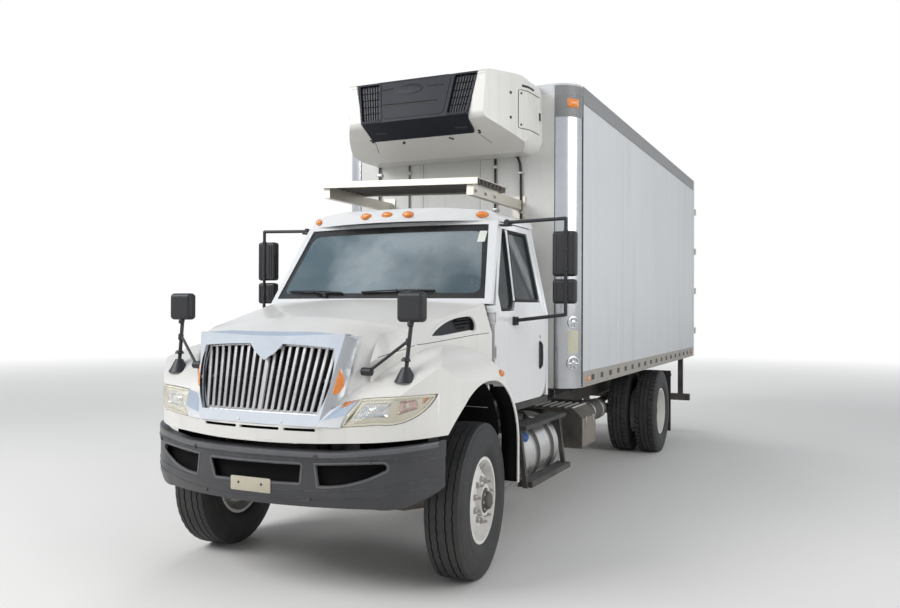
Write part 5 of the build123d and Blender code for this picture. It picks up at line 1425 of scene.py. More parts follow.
class TRUCK_OT_wipers(bpy.types.Operator):
    """Two parked wipers at the foot of the windshield"""

    bl_idname = "truck.wipers"
    bl_label = "Wipers"

    def execute(self, context):
        bm = bmesh.new()
        # Blade's ends across and above, pivot across
        for a, b, pivot in (((-0.82, 1.972), (-0.24, 1.956), -0.40), ((-0.06, 1.960), (0.56, 1.972), 0.42)):
            path = laid("windshield", before([a, b]), REARWARD, 0.02)
            bead(bm, path, 0.004, 0.014, 0)
            bows = [0.020 + 0.012 * math.sin(math.pi * n / (len(path) - 1)) for n in range(len(path))]
            tube(bm, [place + normal * bow for bow, (place, normal) in zip(bows, path)], 0.0055, 6)
            middle, normal = path[len(path) // 2]
            foot = fall("windshield", *before([(pivot, 1.935)]), REARWARD)[0] + Vector((0, -0.02, 0.0))
            tube(bm, [foot, foot + Vector((0, -0.01, 0.022)), middle + normal * 0.034], 0.008, 8)
            rod(bm, foot + Vector((0, 0.02, -0.012)), foot + Vector((0, -0.016, 0.016)), 0.016, 14)
            rod(bm, middle + normal * 0.018, middle + normal * 0.042, 0.009, 10)
        add_mesh("wipers", bm, "black moulding", "chassis")
        return {"FINISHED"}


# Hood


# Vent in the hood's side: behind the axle, height
VENT = [
    (-0.253, 1.656), *arc((-0.253, 1.656), (-0.090, 1.733), (0.236, 1.785), 10),
    *arc((0.236, 1.785), (0.262, 1.764), (0.193, 1.690), 6), (-0.141, 1.658),
]
# Louvre in the vent: share of the vent's height, front end and rear end behind the axle
LOUVRES = [(0.20, -0.17, 0.20), (0.42, -0.13, 0.232), (0.64, -0.03, 0.245), (0.84, 0.10, 0.247)]
LOUVRE_SECTION = [(0.004, -0.010), (0.004, -0.006), (-0.022, 0.008), (-0.022, 0.004)]


def vent_pieces(bm, side):
    """A raised rim round the side vent, a black tray that is painted shade inside it, and four slanted louvres
    in it.
    """
    inward = (-side, 0, 0)
    rim = beside(flat_evenly(drawn_in(VENT, -0.012), 0.02), side)
    path = laid("hood_shell", rim, inward, 0.02, True)
    bead(bm, path, 0.011, 0.006, 0, True)
    for share, front, rear in LOUVRES:
        rows = []
        for y in spaced(front, rear, 13):
            z = 1.660 + share * 0.105 + (y + 0.141) * 0.085
            near, _ = fall("hood_shell", *beside([(y, 1.81)], side), inward)
            at = Vector((near.x - side * 0.004, near.y, z))
            rows.append(row(bm, [at + Vector((side * a, 0, c)) for a, c in LOUVRE_SECTION]))
        loft(bm, rows, 1, flip=True)
    # Black tray sunk inside the vent: painted shade behind the louvres
    inner = [place for place, _ in path]
    lip, tray = (row(bm, [point - Vector((side * sunk, 0, 0)) for point in inner]) for sunk in (0.010, 0.045))
    back = row(bm, [sum(inner, Vector()) / len(inner) - Vector((side * 0.050, 0, 0))])
    skin(bm, [lip, tray, back], 1, True)


# Seam along the hood's side and the stops below the grille, as pixels of the photograph
HOOD_SEAM = [
    (378, 357.6), (390, 353.6), (407.5, 348.4), (427, 343.6), (450.9, 339.2), (472.5, 335.2), (489.4, 332.9),
]
GRILLE_STOPS = [(247.5, 438.0), (266.5, 438.0)]
# Strips on the fronts of the grille's bars: how many, and the outer one's foot and top, across and above
BAR_FRONTS = 19
BAR_FOOT, BAR_TOP = (0.438, 1.190), (0.498, 1.590)


class TRUCK_OT_hood_details(bpy.types.Operator):
    """Side vents with louvres, seams, the tabs and stops under the grille and the fronts of its bars"""

    bl_idname = "truck.hood_details"
    bl_label = "Hood details"

    def execute(self, context):
        finishes = ["hood moulding", "black moulding", "seam", "rubber", "steel"]
        bm = bmesh.new()
        vent_pieces(bm, 1)
        mirrored(bm)
        outward(bm)
        add_mesh("hood_vents", bm, finishes, "hood")
        bm = bmesh.new()
        away = Vector((-0.7, 0, -0.7))
        points = [seen("hood_shell", *pixel)[0] - away * 0.1 for pixel in HOOD_SEAM]
        bead(bm, laid("hood_shell", points, away, 0.03), 0.0028, 0.0006, 2)
        mirrored(bm)
        add_mesh("hood_seams", bm, finishes, "hood")
        bm = bmesh.new()
        for x in (-0.128, 0.205):
            place, _ = fall("hood_shell", *before([(x, 1.112)]), REARWARD)
            box(bm, (x - 0.018, place.y - 0.004, 1.070), (x + 0.018, place.y + 0.014, 1.122), 0.006, 3, 0)
            place, _ = fall("grille_surround", *before([(x, 1.130)]), REARWARD)
            dome(bm, place, AHEAD, 0.011, 0.008, 12, 0)
        for pixel in GRILLE_STOPS:
            place, _ = seen("hood_shell", *pixel)
            low, high = (place + Vector(away) for away in ((-0.032, -0.001, -0.014), (0.032, 0.012, 0.004)))
            box(bm, low, high, 0.004, 3, 0)
        add_mesh("grille_tabs", bm, finishes, "hood")
        bm = bmesh.new()
        for n, share in enumerate(spaced(-1, 1, BAR_FRONTS)):
            heights = spaced(BAR_FOOT[1], BAR_TOP[1], 9)
            line = [(share * x, z) for x, z in zip(spaced(BAR_FOOT[0], BAR_TOP[0], 9), heights)]
            path = [(place, AHEAD) for place, _ in seen_from("grille_bars", before(line), REARWARD)]
            bead(bm, path, 0.019 if n == BAR_FRONTS // 2 else 0.0135, 0.005, 0, sink=0.008)
        reach = 0.467 * (BAR_FRONTS - 2) / (BAR_FRONTS - 1)
        rail = before([(x, 1.385) for x in spaced(-reach, reach, BAR_FRONTS - 1)])
        path = [(place, AHEAD) for place, _ in seen_from("grille_bars", rail, REARWARD)]
        bead(bm, path, 0.010, 0.0015, 1, sink=0.016)
        outward(bm)
        add_mesh("bar_fronts", bm, ["bar metal", "liner"], "hood", 0.9)
        return {"FINISHED"}


# Black sheet behind the bumper, painted shade seen through its openings: height, distance behind the bumper's
# face
BUMPER_SHADE_SHEET = [(0.700, 0.030), (0.74, 0.050), (0.90, 0.052), (0.945, 0.046), (0.972, 0.048)]


class TRUCK_OT_liners_and_shade(bpy.types.Operator):
    """Wheel-arch liners with sheets of painted shade on the arch lips, a wire screen whose black is painted
    shade behind the grille, and a black sheet of painted shade behind the bumper
    """

    bl_idname = "truck.dark_liners"
    bl_label = "Dark liners"

    def execute(self, context):
        bm = bmesh.new()
        # Liners inside the wheel arches, near black: partly the liners' own colour and partly painted shade in
        # the arches
        arch = [(-0.615, 0.70), (-0.580, 1.015), *arc((-0.580, 1.015), (-0.300, 1.285), (0.090, 1.360), 10)]
        arch += arc((0.090, 1.360), (0.470, 1.190), (0.600, 0.890), 10)
        rows = [row(bm, [spot(0.54, y * 0.985, max(0.98, z - 0.16)) for y, z in arch])]
        for x in (0.55, 0.60, 1.02):
            rows.append(row(bm, [spot(x, y, z if z < 1.33 else 1.33 + (z - 1.33) * 0.3) for y, z in arch]))
        skin(bm, rows)
        mirrored(bm)
        # A black sheet on the front face of the lip behind the wheel, painted shade inside the arch, which
        # leaves its outer edge bare
        for side in SIDES.values():
            rows = []
            for z in spaced(0.552, 1.306, 25):
                place, _ = fall("arch_lips", (side * 1.120, FRONT_Y, z), REARWARD)
                rows.append(row(bm, [(side * x, place.y - 0.003, z) for x in (1.040, 1.168)]))
            skin(bm, rows)
        outward(bm)
        piece = add_mesh("arch_liners", bm, "liner", "hood")
        thicken(piece, 0.003)
        # Wire screen behind the grille; its black is painted shade seen between the bars
        bm = bmesh.new()
        rows = []
        for z in spaced(1.062, 1.625, 9):
            points = [spot(x, 0.020 * (x / 0.48) ** 2 + 0.25 * z - 1.196, z) for x in spaced(-0.53, 0.53, 21)]
            rows.append(row(bm, points))
        skin(bm, rows)
        piece = add_mesh("grille_screen", bm, "insect screen", "hood")
        thicken(piece, 0.002)
        # Black sheet behind the bumper: painted shade in its openings
        bm = bmesh.new()
        rows = []
        for x in spaced(-0.95, 0.95, 25):
            place, _ = fall("front_bumper", *before([(x, 0.715)]), REARWARD)
            rows.append(row(bm, [(x, place.y + back, z) for z, back in BUMPER_SHADE_SHEET]))
        skin(bm, rows, flip=True)
        piece = add_mesh("bumper_air_dam", bm, "liner", "chassis")
        thicken(piece, 0.003)
        return {"FINISHED"}


def thicken(piece, thickness):
    """Gives a sheet its thickness, as part of its mesh."""
    solid = piece.modifiers.new("thickness", "SOLIDIFY")
    solid.thickness = thickness
    solid.offset = 0
    apply_modifiers(piece)


def apply_modifiers(piece):
    """Turns a piece's modifiers into its mesh."""
    shape = bpy.data.meshes.new_from_object(piece.evaluated_get(bpy.context.evaluated_depsgraph_get()))
    old = piece.data
    piece.modifiers.clear()
    piece.data = shape
    shape.name = old.name + "_made"
    bpy.data.meshes.remove(old)


# Bumper


# Middle of the blank plate and its half sizes
PLATE_MIDDLE = (0.002, 0.732)
PLATE_HALF = (0.1545, 0.045)
PLATE_SCREW = [(0.0085, 0), (0.0085, 0.0012), (0.0045, 0.0012), (0, 0.0004)]
BUMPER_BOLT = [(0.017, 0), (0.017, 0.002), (0.012, 0.003), (0.011, 0.009), (0.006, 0.012), (0, 0.0125)]
BUMPER_BOLTS = [(0.459, 0.933), (0.414, 0.667), (-0.391, 0.652), (-0.494, 0.925), (0.93, 0.93), (-0.93, 0.93)]
# Pressed line along the bumper: height in the middle, rise at the ends, half-width
PRESSED_LINES = [(0.905, 0.055, 0.006), (0.715, 0.090, 0.005), (0.650, 0.120, 0.004)]


class TRUCK_OT_bumper_trim(bpy.types.Operator):
    """Blank plate, bolts, pressed lines, a pale top band that is a painted highlight, and opening rims on the
    front bumper
    """

    bl_idname = "truck.bumper_trim"
    bl_label = "Bumper trim"

    def execute(self, context):
        finishes = ["bumper paint", "plate blank", "nut steel", "rubber", "seam", "bumper rim"]
        middle_x, middle_z = PLATE_MIDDLE
        face, _ = fall("front_bumper", *before([(0, 0.715)]), REARWARD)
        bm = bmesh.new()
        rows = []
        for depth, wide, high in ((0.004, 1.0, 1.0), (-0.002, 1.0, 1.0), (-0.0035, 0.985, 0.96)):
            edge = [((x + middle_x) * wide, middle_z + z * high) for x, z in rounded(*PLATE_HALF, 0.010)]
            rows.append(row(bm, before(edge, face.y + depth)))
        loft(bm, rows, 1, flip=True)
        for x in (-0.089, 0.089):
            turned(bm, PLATE_SCREW, (x, face.y - 0.0036, middle_z + 0.006), AHEAD, 16, 4)
        for point in before(BUMPER_BOLTS):
            place, normal = fall("front_bumper", point, REARWARD)
            turned(bm, BUMPER_BOLT, place, normal, 18, 0)
        outward(bm)
        add_mesh("bumper_fittings", bm, finishes, "chassis")
        bm = bmesh.new()
        for height, rise, half in PRESSED_LINES:
            places = spaced(-BUMPER_HALF, BUMPER_HALF, 61)
            line = [(x, height + rise * (abs(x) / BUMPER_HALF) ** 2.6) for x in places]
            bead(bm, laid("front_bumper", before(line), REARWARD, 0.03), half, 0.0035, 0)
        # Pale band along the bumper's top lip: a painted highlight
        line = []
        for x in spaced(-BUMPER_HALF, BUMPER_HALF, 57):
            line.append((x, 0.943 + 0.069 * (max(0, abs(x) - 0.54) / 0.645) ** 1.35))
        bead(bm, laid("front_bumper", before(line), REARWARD, 0.02), 0.0185, 0.0008, 5)
        side = [(0.463, 0.878), (0.862, 0.898), *arc((0.862, 0.898), (0.882, 0.880), (0.862, 0.855), 5)]
        side += arc((0.862, 0.855), (0.700, 0.786), (0.480, 0.757), 10)
        middle = softened([(-0.334, 0.869), (0.360, 0.877), (0.350, 0.769), (-0.292, 0.758)], 0.012)
        for hole in (middle, side, [(-x, z) for x, z in side]):
            rim = before(drawn_in(hole, -0.011))
            bead(bm, laid("front_bumper", rim, REARWARD, 0.03, True), 0.0065, 0.003, 5, True)
        add_mesh("bumper_lines", bm, finishes, "chassis")
        return {"FINISHED"}


# Doors and mirrors


def mirror_face(bm, middle, wide, high, bulge):
    """Silvered glass in a thin rim, on the rear of a mirror head."""
    points = rounded(wide / 2, high / 2, 0.022)
    levels = [(1.0, 0.0), (0.985, 0.004), (0.95, 0.0045)]
    levels += [(share, 0.003 + bulge * (1 - share * share)) for share in (0.93, 0.7, 0.45, 0.2)]
    rings = []
    for share, out in levels:
        rings.append(row(bm, [middle + Vector((x * share, out, z * share)) for x, z in points]))
    skin(bm, rings[:3], 0, True)
    skin(bm, rings[2:], 1, True)
    bm.faces.new(rings[-1]).material_index = 1


MIRROR_X = 1.419
# Clamps and joints of the mirrors, turned: radius, height
CLAMP = [(0.0142, -0.014), (0.019, -0.012), (0.019, 0.012), (0.0142, 0.014)]
HEAD_JOINT = [(0.013, -0.05), (0.020, -0.045), (0.022, 0.0), (0.020, 0.045), (0.013, 0.05)]
FOOT_JOINT = [(0.0265, -0.004), (0.031, 0.0), (0.0285, 0.010), (0.018, 0.022)]
STEM_JOINT = [(0.0132, -0.022), (0.0185, -0.018), (0.0185, 0.018), (0.0132, 0.022)]


class TRUCK_OT_mirrors(bpy.types.Operator):
    """Glass, ribs, clamps and joints of the door and hood mirrors"""

    bl_idname = "truck.mirrors"
    bl_label = "Mirrors"

    def execute(self, context):
        finishes = ["black moulding", "mirror glass", "rubber"]
        for side, sign in SIDES.items():
            bm = bmesh.new()
            x = sign * MIRROR_X
            mirror_face(bm, spot(x, 1.0085, 2.272), 0.160, 0.318, 0.001)
            mirror_face(bm, spot(x, 1.0085, 1.980), 0.158, 0.162, 0.006)
            for low, high in ((2.120, 2.424), (1.903, 2.058)):
                for rib in (-0.060, 0.038, 0.060):
                    ends = [spot(x + rib, 0.9285, z) for z in (low + 0.012, high - 0.012)]
                    tube(bm, ends, 0.0032, 6)
            for z in (2.44, 2.30, 2.15, 2.035, 1.94):
                lathe(bm, CLAMP, Matrix.Translation(spot(sign * 1.437, 0.930, z)), 16)
            for z in (1.732, 1.766):
                hexagon(bm, spot(sign * 1.065, 0.870, z), (sign, 0, 0), 0.008, 0.007)
            rod(bm, spot(sign * 0.955, 0.90, 2.533), spot(sign * 0.955, 0.94, 2.533), 0.021, 16)
            box(bm, spot(sign * 0.945 - 0.045, 0.885, 2.500), spot(sign * 0.945 + 0.045, 0.955, 2.518), 0.006)
            add_mesh(f"door_mirror_parts_{side}", bm, finishes, f"door_{side[0]}")
        bm = bmesh.new()
        mirror_face(bm, spot(0.935, -0.6015, 1.850), 0.156, 0.156, 0.008)
        turned(bm, HEAD_JOINT, spot(0.934, -0.648, 1.775), (0.0005, 0.006, 0.025), 18)
        turned(bm, FOOT_JOINT, spot(0.92, -0.689, 1.515), (0.0015, 0.005, 0.085), 18)
        turned(bm, STEM_JOINT, spot(0.9262, -0.6690, 1.632), (0.0023, 0.007, 0.048), 16)
        mirrored(bm)
        add_mesh("hood_mirror_parts", bm, finishes, "hood")
        return {"FINISHED"}


# Middle of the door's handle: distance behind the front axle, and height
HANDLE_Y, HANDLE_Z = 1.490, 1.455
# Handle's grip: distance out of the door, height over its middle
HANDLE_GRIP = [(0.006, -0.105), (0.018, -0.083), (0.020, 0.0), (0.018, 0.083), (0.006, 0.105)]


class TRUCK_OT_door_hardware(bpy.types.Operator):
    """Upright pull handles in dark recesses, and locks on the doors"""

    bl_idname = "truck.door_hardware"
    bl_label = "Door hardware"

    def execute(self, context):
        finishes = ["black moulding", "cab paint", "steel", "rubber"]
        for side, sign in SIDES.items():
            bm = bmesh.new()
            door, inward = f"door_{side}", (-sign, 0, 0)
            tray = [(HANDLE_Y + y, HANDLE_Z + z) for y, z in rounded(0.026, 0.122, 0.024)]
            draped(bm, door, beside(tray, sign), inward, 0.0015, 0.002, 3, 0)
            place, _ = fall(door, *beside([(HANDLE_Y, HANDLE_Z)], sign), inward)
            grip = [place + Vector((sign * out, 0, z)) for out, z in HANDLE_GRIP]
            tube(bm, grip, 0.0105, 12)
            lock, normal = fall(door, *beside([(HANDLE_Y, HANDLE_Z + 0.155)], sign), inward)
            turned(bm, [(0.012, 0), (0.012, 0.003), (0.009, 0.004), (0, 0.004)], lock, normal, 18, 2)
            add_mesh(f"door_handle_{side}", bm, finishes, f"door_{side[0]}")
        return {"FINISHED"}


# Cooling unit, front wall and deck


# Grooves in the unit's front panel: ends as pixels of the photograph, half-width
PANEL_GROOVES = [
    ((380.0, 92.2), (392.8, 89.6), 0.006), ((427.7, 86.9), (443.1, 85.2), 0.006),
    ((382.8, 106.3), (436.8, 100.9), 0.008), ((375.2, 134.4), (386.5, 133.6), 0.010),
    ((455.2, 127.9), (467.2, 127.1), 0.010),
]
# More places on the unit, as pixels: its bare badge, shell screws, hatch, slot and the seam down its corner
UNIT_BADGE = (410.0, 88.9)
HOUSING_SCREWS = [
    (510.7, 92.4), (510.7, 117.2), (480.0, 132.3), (452.6, 138.8), (424.0, 136.7), (404.5, 142.2),
    (371.2, 140.8),
]
HATCH = [(518.4, 89.2), (540.0, 98.6), (539.6, 135.4), (518.2, 127.6)]
HOUSING_SLOT = [(522.0, 85.6), (533.6, 90.4)]
HOUSING_SEAM = [(374.8, 141.5), (377.2, 147.5), (379.0, 153.0)]
# Opening in the unit's panel: across and above
AIR_OPENING = [(0.334, 3.508), (0.376, 3.834), (0.566, 3.834), (0.500, 3.508)]
# Pressed outline between the openings
PANEL_MIDDLE = [(-0.300, 3.512), (0.286, 3.512), (0.330, 3.852), (-0.415, 3.852)]
SHELL_SCREW = [(0.013, 0), (0.013, 0.002), (0.008, 0.0025), (0.0075, 0.006), (0, 0.006)]
HATCH_SCREW = [(0.010, 0.004), (0.010, 0.008), (0, 0.009)]


def carried(found, side):
    """A place and normal of the left side, carried to a side."""
    return [Vector((vector.x * side, vector.y, vector.z)) for vector in found]


def air_grille(bm, side):
    """A rim, a black mat that is painted shade in the opening, and crossed bars in one of the unit's openings.
    """
    node, high = "unit_grille", BOX_FRONT_Y - 1.6

    def opening(outline, radius):
        return before([(side * x, z) for x, z in softened(outline, radius)], high)

    rim = laid(node, opening(drawn_in(AIR_OPENING, -0.013), 0.020), REARWARD, 0.03, True)
    bead(bm, rim, 0.010, 0.006, 0, True)
    # Black mat over the opening: painted shade inside it
    draped(bm, node, opening(drawn_in(AIR_OPENING, 0.004), 0.016), REARWARD, 0.0008, 0.0, 3, 4, 0.0)
    for n in range(1, 7):
        ends = [(side * (0.334 + 0.166 * n / 7), 3.512), (side * (0.376 + 0.190 * n / 7), 3.830)]
        bead(bm, laid(node, before(ends, high), REARWARD, 0.05), 0.0035, 0.010, 0)
    for n in range(1, 5):
        share, z = n / 5, 3.508 + 0.326 * n / 5
        ends = [(side * (0.334 + 0.042 * share), z), (side * (0.500 + 0.066 * share), z)]
        bead(bm, laid(node, before(ends, high), REARWARD, 0.05), 0.003, 0.008, 0)


def side_hatch(bm, side, corners):
    """The hatch in one side of the unit's shell, with its seam, screws and latch."""
    inward = (-side, 0, 0)
    hatch = [Vector((side * 1.3, y, z)) for y, z in softened(corners, 0.02)]
    draped(bm, "unit_housing", hatch, inward, 0.004, 0.0, 3, 2, 0.0)
    bead(bm, laid("unit_housing", hatch, inward, 0.03, True), 0.003, 0.0046, 1, True)
    for y, z in (corners[0], corners[3]):
        at, out = fall("unit_housing", (side * 1.3, y + 0.03, z - 0.03 if z > 3.6 else z + 0.03), inward)
        turned(bm, HATCH_SCREW, at, out, 14, 4)
    middle = (corners[0][1] + corners[3][1]) / 2
    at, _ = fall("unit_housing", (side * 1.3, corners[1][0] - 0.04, middle), inward)
    low = (at.x - 0.002, at.y - 0.012, middle - 0.035)
    box(bm, low, (at.x + side * 0.014, at.y + 0.012, middle + 0.035), 0.004, 2, 4)


class TRUCK_OT_unit_details(bpy.types.Operator):
    """Grooves, air grilles, screws, hatch and seams of the cooling unit"""

    bl_idname = "truck.unit_details"
    bl_label = "Cooling unit details"

    def execute(self, context):
        finishes = ["unit panel", "seam", "unit shell", "steel", "black moulding"]
        bm = bmesh.new()
        for a, b, half in PANEL_GROOVES:
            ends = [seen("unit_grille", *pixel)[0] + AHEAD * 0.1 for pixel in (a, b)]
            path = laid("unit_grille", ends, REARWARD, 0.03)
            bead(bm, path, half, 0.0012, 1, sink=0.001)
            lip = Vector((0, 0, half + 0.004))
            bead(bm, [(place + lip, normal) for place, normal in path], 0.004, 0.004, 0, sink=0.001)
        for side in SIDES.values():
            air_grille(bm, side)
        outline = before(softened(PANEL_MIDDLE, 0.03), BOX_FRONT_Y - 1.6)
        bead(bm, laid("unit_grille", outline, REARWARD, 0.03, True), 0.007, 0.004, 0, True)
        place, _ = seen("unit_grille", *UNIT_BADGE)
        badge = before([(place.x + x, place.z + z) for x, z in oval(0.125, 0.046)], BOX_FRONT_Y - 1.6)
        draped(bm, "unit_grille", badge, REARWARD, 0.003, 0.004, 4, 0, 0.001)
        outward(bm)
        add_mesh("unit_panel_details", bm, finishes, "chassis")
        bm = bmesh.new()
        screws, hatch, slot, seam = (
            [seen("unit_housing", *pixel) for pixel in pixels]
            for pixels in (HOUSING_SCREWS, HATCH, HOUSING_SLOT, HOUSING_SEAM)
        )
        for side in SIDES.values():
            for screw in screws:
                turned(bm, SHELL_SCREW, *carried(screw, side), 14, 4)
            side_hatch(bm, side, [(place.y, place.z) for place, _ in hatch])
            # The slot is drawn as a black strip: painted shade in its opening
            line = [Vector((side * 1.3, place.y, min(place.z, 3.83))) for place, _ in slot]
            bead(bm, laid("unit_housing", line, (-side, 0, 0), 0.03), 0.012, 0.004, 4)
            bead(bm, [carried(found, side) for found in seam], 0.003, 0.001, 1)
        add_mesh("unit_shell_details", bm, finishes, "chassis")
        return {"FINISHED"}


def rivet_row(bm, node, start, end, direction, material=0, pitch=None):
    """A row of rivets on a CAD node between two points, seen along a direction."""
    sizes = bpy.context.scene.truck_sizes
    start, end = Vector(start), Vector(end)
    count = max(1, round((end - start).length / (pitch or sizes.rivet_pitch)))
    for n in range(count + 1):
        place, normal = fall(node, start.lerp(end, n / count), direction)
        dome(bm, place - normal * 0.0004, normal, sizes.rivet, 0.0045, 8, material)


# Strap down the front wall: place across, half-width
STRAPS = [(-0.795, 0.016), (-0.463, 0.010), (0.444, 0.016)]
RIVET_COLUMNS = (-0.98, -0.62, -0.28, 0.0, 0.28, 0.56, 0.80, 0.98)
# Hose down the front wall: across and above
HOSE = [
    (0.640, 3.250), (0.668, 3.235), (0.690, 3.170), (0.697, 3.060), (0.699, 2.70), (0.699, 2.30),
    (0.699, 1.95),
]


class TRUCK_OT_wall_details(bpy.types.Operator):
    """Straps, hose, clips, seams and rivets on the front wall"""

    bl_idname = "truck.wall_details"
    bl_label = "Front wall details"

    def execute(self, context):
        finishes = ["front wall", "rubber", "steel", "seam"]
        bm = bmesh.new()
        wall = BOX_FRONT_Y
        for x, half in STRAPS:
            box(bm, (x - half, wall - 0.014, 1.95), (x + half, wall - 0.001, 3.262), 0.003, 2, 1)
            for z in (2.2, 2.75, 3.15):
                wide = half + 0.012
                box(bm, (x - wide, wall - 0.017, z), (x + wide, wall - 0.001, z + 0.03), 0.003, 2, 2)
        tube(bm, [(x, wall - 0.016, z) for x, z in HOSE], 0.012, 10, 1)
        for z in (3.08, 2.72, 2.35, 2.0):
            box(bm, (0.676, wall - 0.030, z), (0.722, wall - 0.001, z + 0.022), 0.003, 2, 2)
        add_mesh("wall_straps", bm, finishes, "chassis")
        bm = bmesh.new()
        for x in RIVET_COLUMNS:
            rivet_row(bm, "box_front_wall", *before([(x, 1.20), (x, 3.75)], wall - 0.5), REARWARD)
        for z in (1.17, 3.765):
            rivet_row(bm, "box_front_wall", *before([(-0.96, z), (0.96, z)], wall - 0.5), REARWARD)
        for x in (-0.315, 0.285):
            ends = before([(x, 1.15), (x, 3.78)], wall - 0.5)
            bead(bm, laid("box_front_wall", ends, REARWARD, 0.2), 0.002, 0.0007, 3)
        add_mesh("wall_rivets", bm, finishes, "chassis", 0.7)
        return {"FINISHED"}


# Treads across the deck over the cab, and sections of a tread and of a rib below the deck, whose dark finish
# is painted shade
TREADS, TREAD_PITCH, DECK_HALF = 12, 0.049, 0.75
TREAD_SECTION = [(-0.012, -0.001), (-0.009, 0.004), (0.009, 0.004), (0.012, -0.001)]
RIB_SECTION = [(-0.010, 0), (-0.008, -0.038), (0.008, -0.038), (0.010, 0)]


class TRUCK_OT_deck_details(bpy.types.Operator):
    """Raised treads on top of the deck over the cab, ribs below it in painted shade, and bolts on its arms"""

    bl_idname = "truck.deck_details"
    bl_label = "Deck details"

    def execute(self, context):
        finishes = ["deck metal", "deck underside", "nut steel"]
        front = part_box("catwalk")[0][1]
        slope = math.sin(math.radians(DECK_TILT))
        bm = bmesh.new()

        def bar(y, half, drop, section, material):
            """A bar across the deck, from a section of (distance behind its middle, height) pairs."""
            rows = []
            for x in (-half, half):
                rows.append(row(bm, [(x, y + a, DECK_TOP_Z - slope * x - drop + c) for a, c in section]))
            loft(bm, rows, material)

        for n in range(TREADS):
            bar(front + 0.035 + n * TREAD_PITCH, DECK_HALF, 0, TREAD_SECTION, 0)
        # Ribs below the deck, in the dark finish that paints its shade
        for n in range(7):
            bar(front + 0.060 + n * 0.080, DECK_HALF - 0.005, 0.0065, RIB_SECTION, 1)
        outward(bm)
        for n in range(TREADS):
            shift = 0.012 if n % 2 else -0.012
            for x in spaced(-0.72 + shift, 0.72 + shift, 29):
                top = DECK_TOP_Z - slope * x - 0.0005
                dome(bm, (x, front + 0.0595 + n * TREAD_PITCH, top), (0, 0, 1), 0.007, 0.005, 8)
        for side in SIDES.values():
            for y in (front + 0.08, front + 0.28, front + 0.48):
                high = DECK_TOP_Z - slope * side * 0.70 - 0.10
                hexagon(bm, (side * 0.710, y, high), (side, 0, 0), 0.011, 0.009, 2)
            for z in (2.68, 2.80):
                hexagon(bm, (side * 0.725, BOX_FRONT_Y - 0.0125, z), AHEAD, 0.011, 0.009, 2)
        add_mesh("deck_treads", bm, finishes, "chassis")
        return {"FINISHED"}


# Body


def corner_point(side, z, share=0.555):
    """The place and normal on a corner post: a share of 0 is the front end of its bend, 1 the rear end."""
    centre = Vector((side * (1.219 - CORNER_RADIUS), BOX_FRONT_Y + CORNER_RADIUS, z))
    angle = math.radians(0.5 + 89 * share)
    out = Vector((side * math.sin(angle), -math.cos(angle), 0))
    return fall("corner_posts" if z < 3.789 else "box_roof", centre + out * 0.6, -out)


def bend_row(bm, side, z, shares, lift):
    """Vertices round a corner post's bend, lifted off it."""
    points = [corner_point(side, z, share) for share in shares]
    return row(bm, [at + out * lift for at, out in points])


def rosette(bm, at, out, radius):
    """A round fitting with six spokes on a corner post."""
    matrix = frame_along(at - out * 0.004, at + out)
    lathe(bm, [(radius * share, height) for share, height in ROSETTE], matrix, 28, 2)
    for angle in angles(6):
        ends = [matrix @ polar(radius * share, angle, 0.005) for share in (0.3, 0.8)]
        rod(bm, *ends, radius * 0.09, 8, 2)


# Rosette's section: share of its radius, height
ROSETTE = [
    (1, 0), (1, 0.007), (0.9, 0.010), (0.76, 0.009), (0.70, 0.003), (0.42, 0.003), (0.36, 0.009),
    (0.2, 0.011), (0, 0.011),
]
# Corner cap's section: height, lift off the post
CAP_SECTION = [
    (3.578, -0.001), (3.578, 0.003), (3.60, 0.004), (3.70, 0.004), (3.786, 0.004), (3.80, 0.004),
    (3.84, 0.004), (3.862, 0.003),
]
# Heights of the rivet rows on the rails
RAIL_RIVETS = (3.845, 3.735, 1.155)
RAIL_SLOTS, SLOT_PITCH, SLOT_Z = 18, 0.325, 1.205
# Distance between the seams of a side wall
SEAM_PITCH = 1.22
# Ends of the strips and of the rivet rows on a corner post
STRIP_ENDS = (1.14, 3.785)
POST_RIVET_ENDS = (1.16, 3.76)


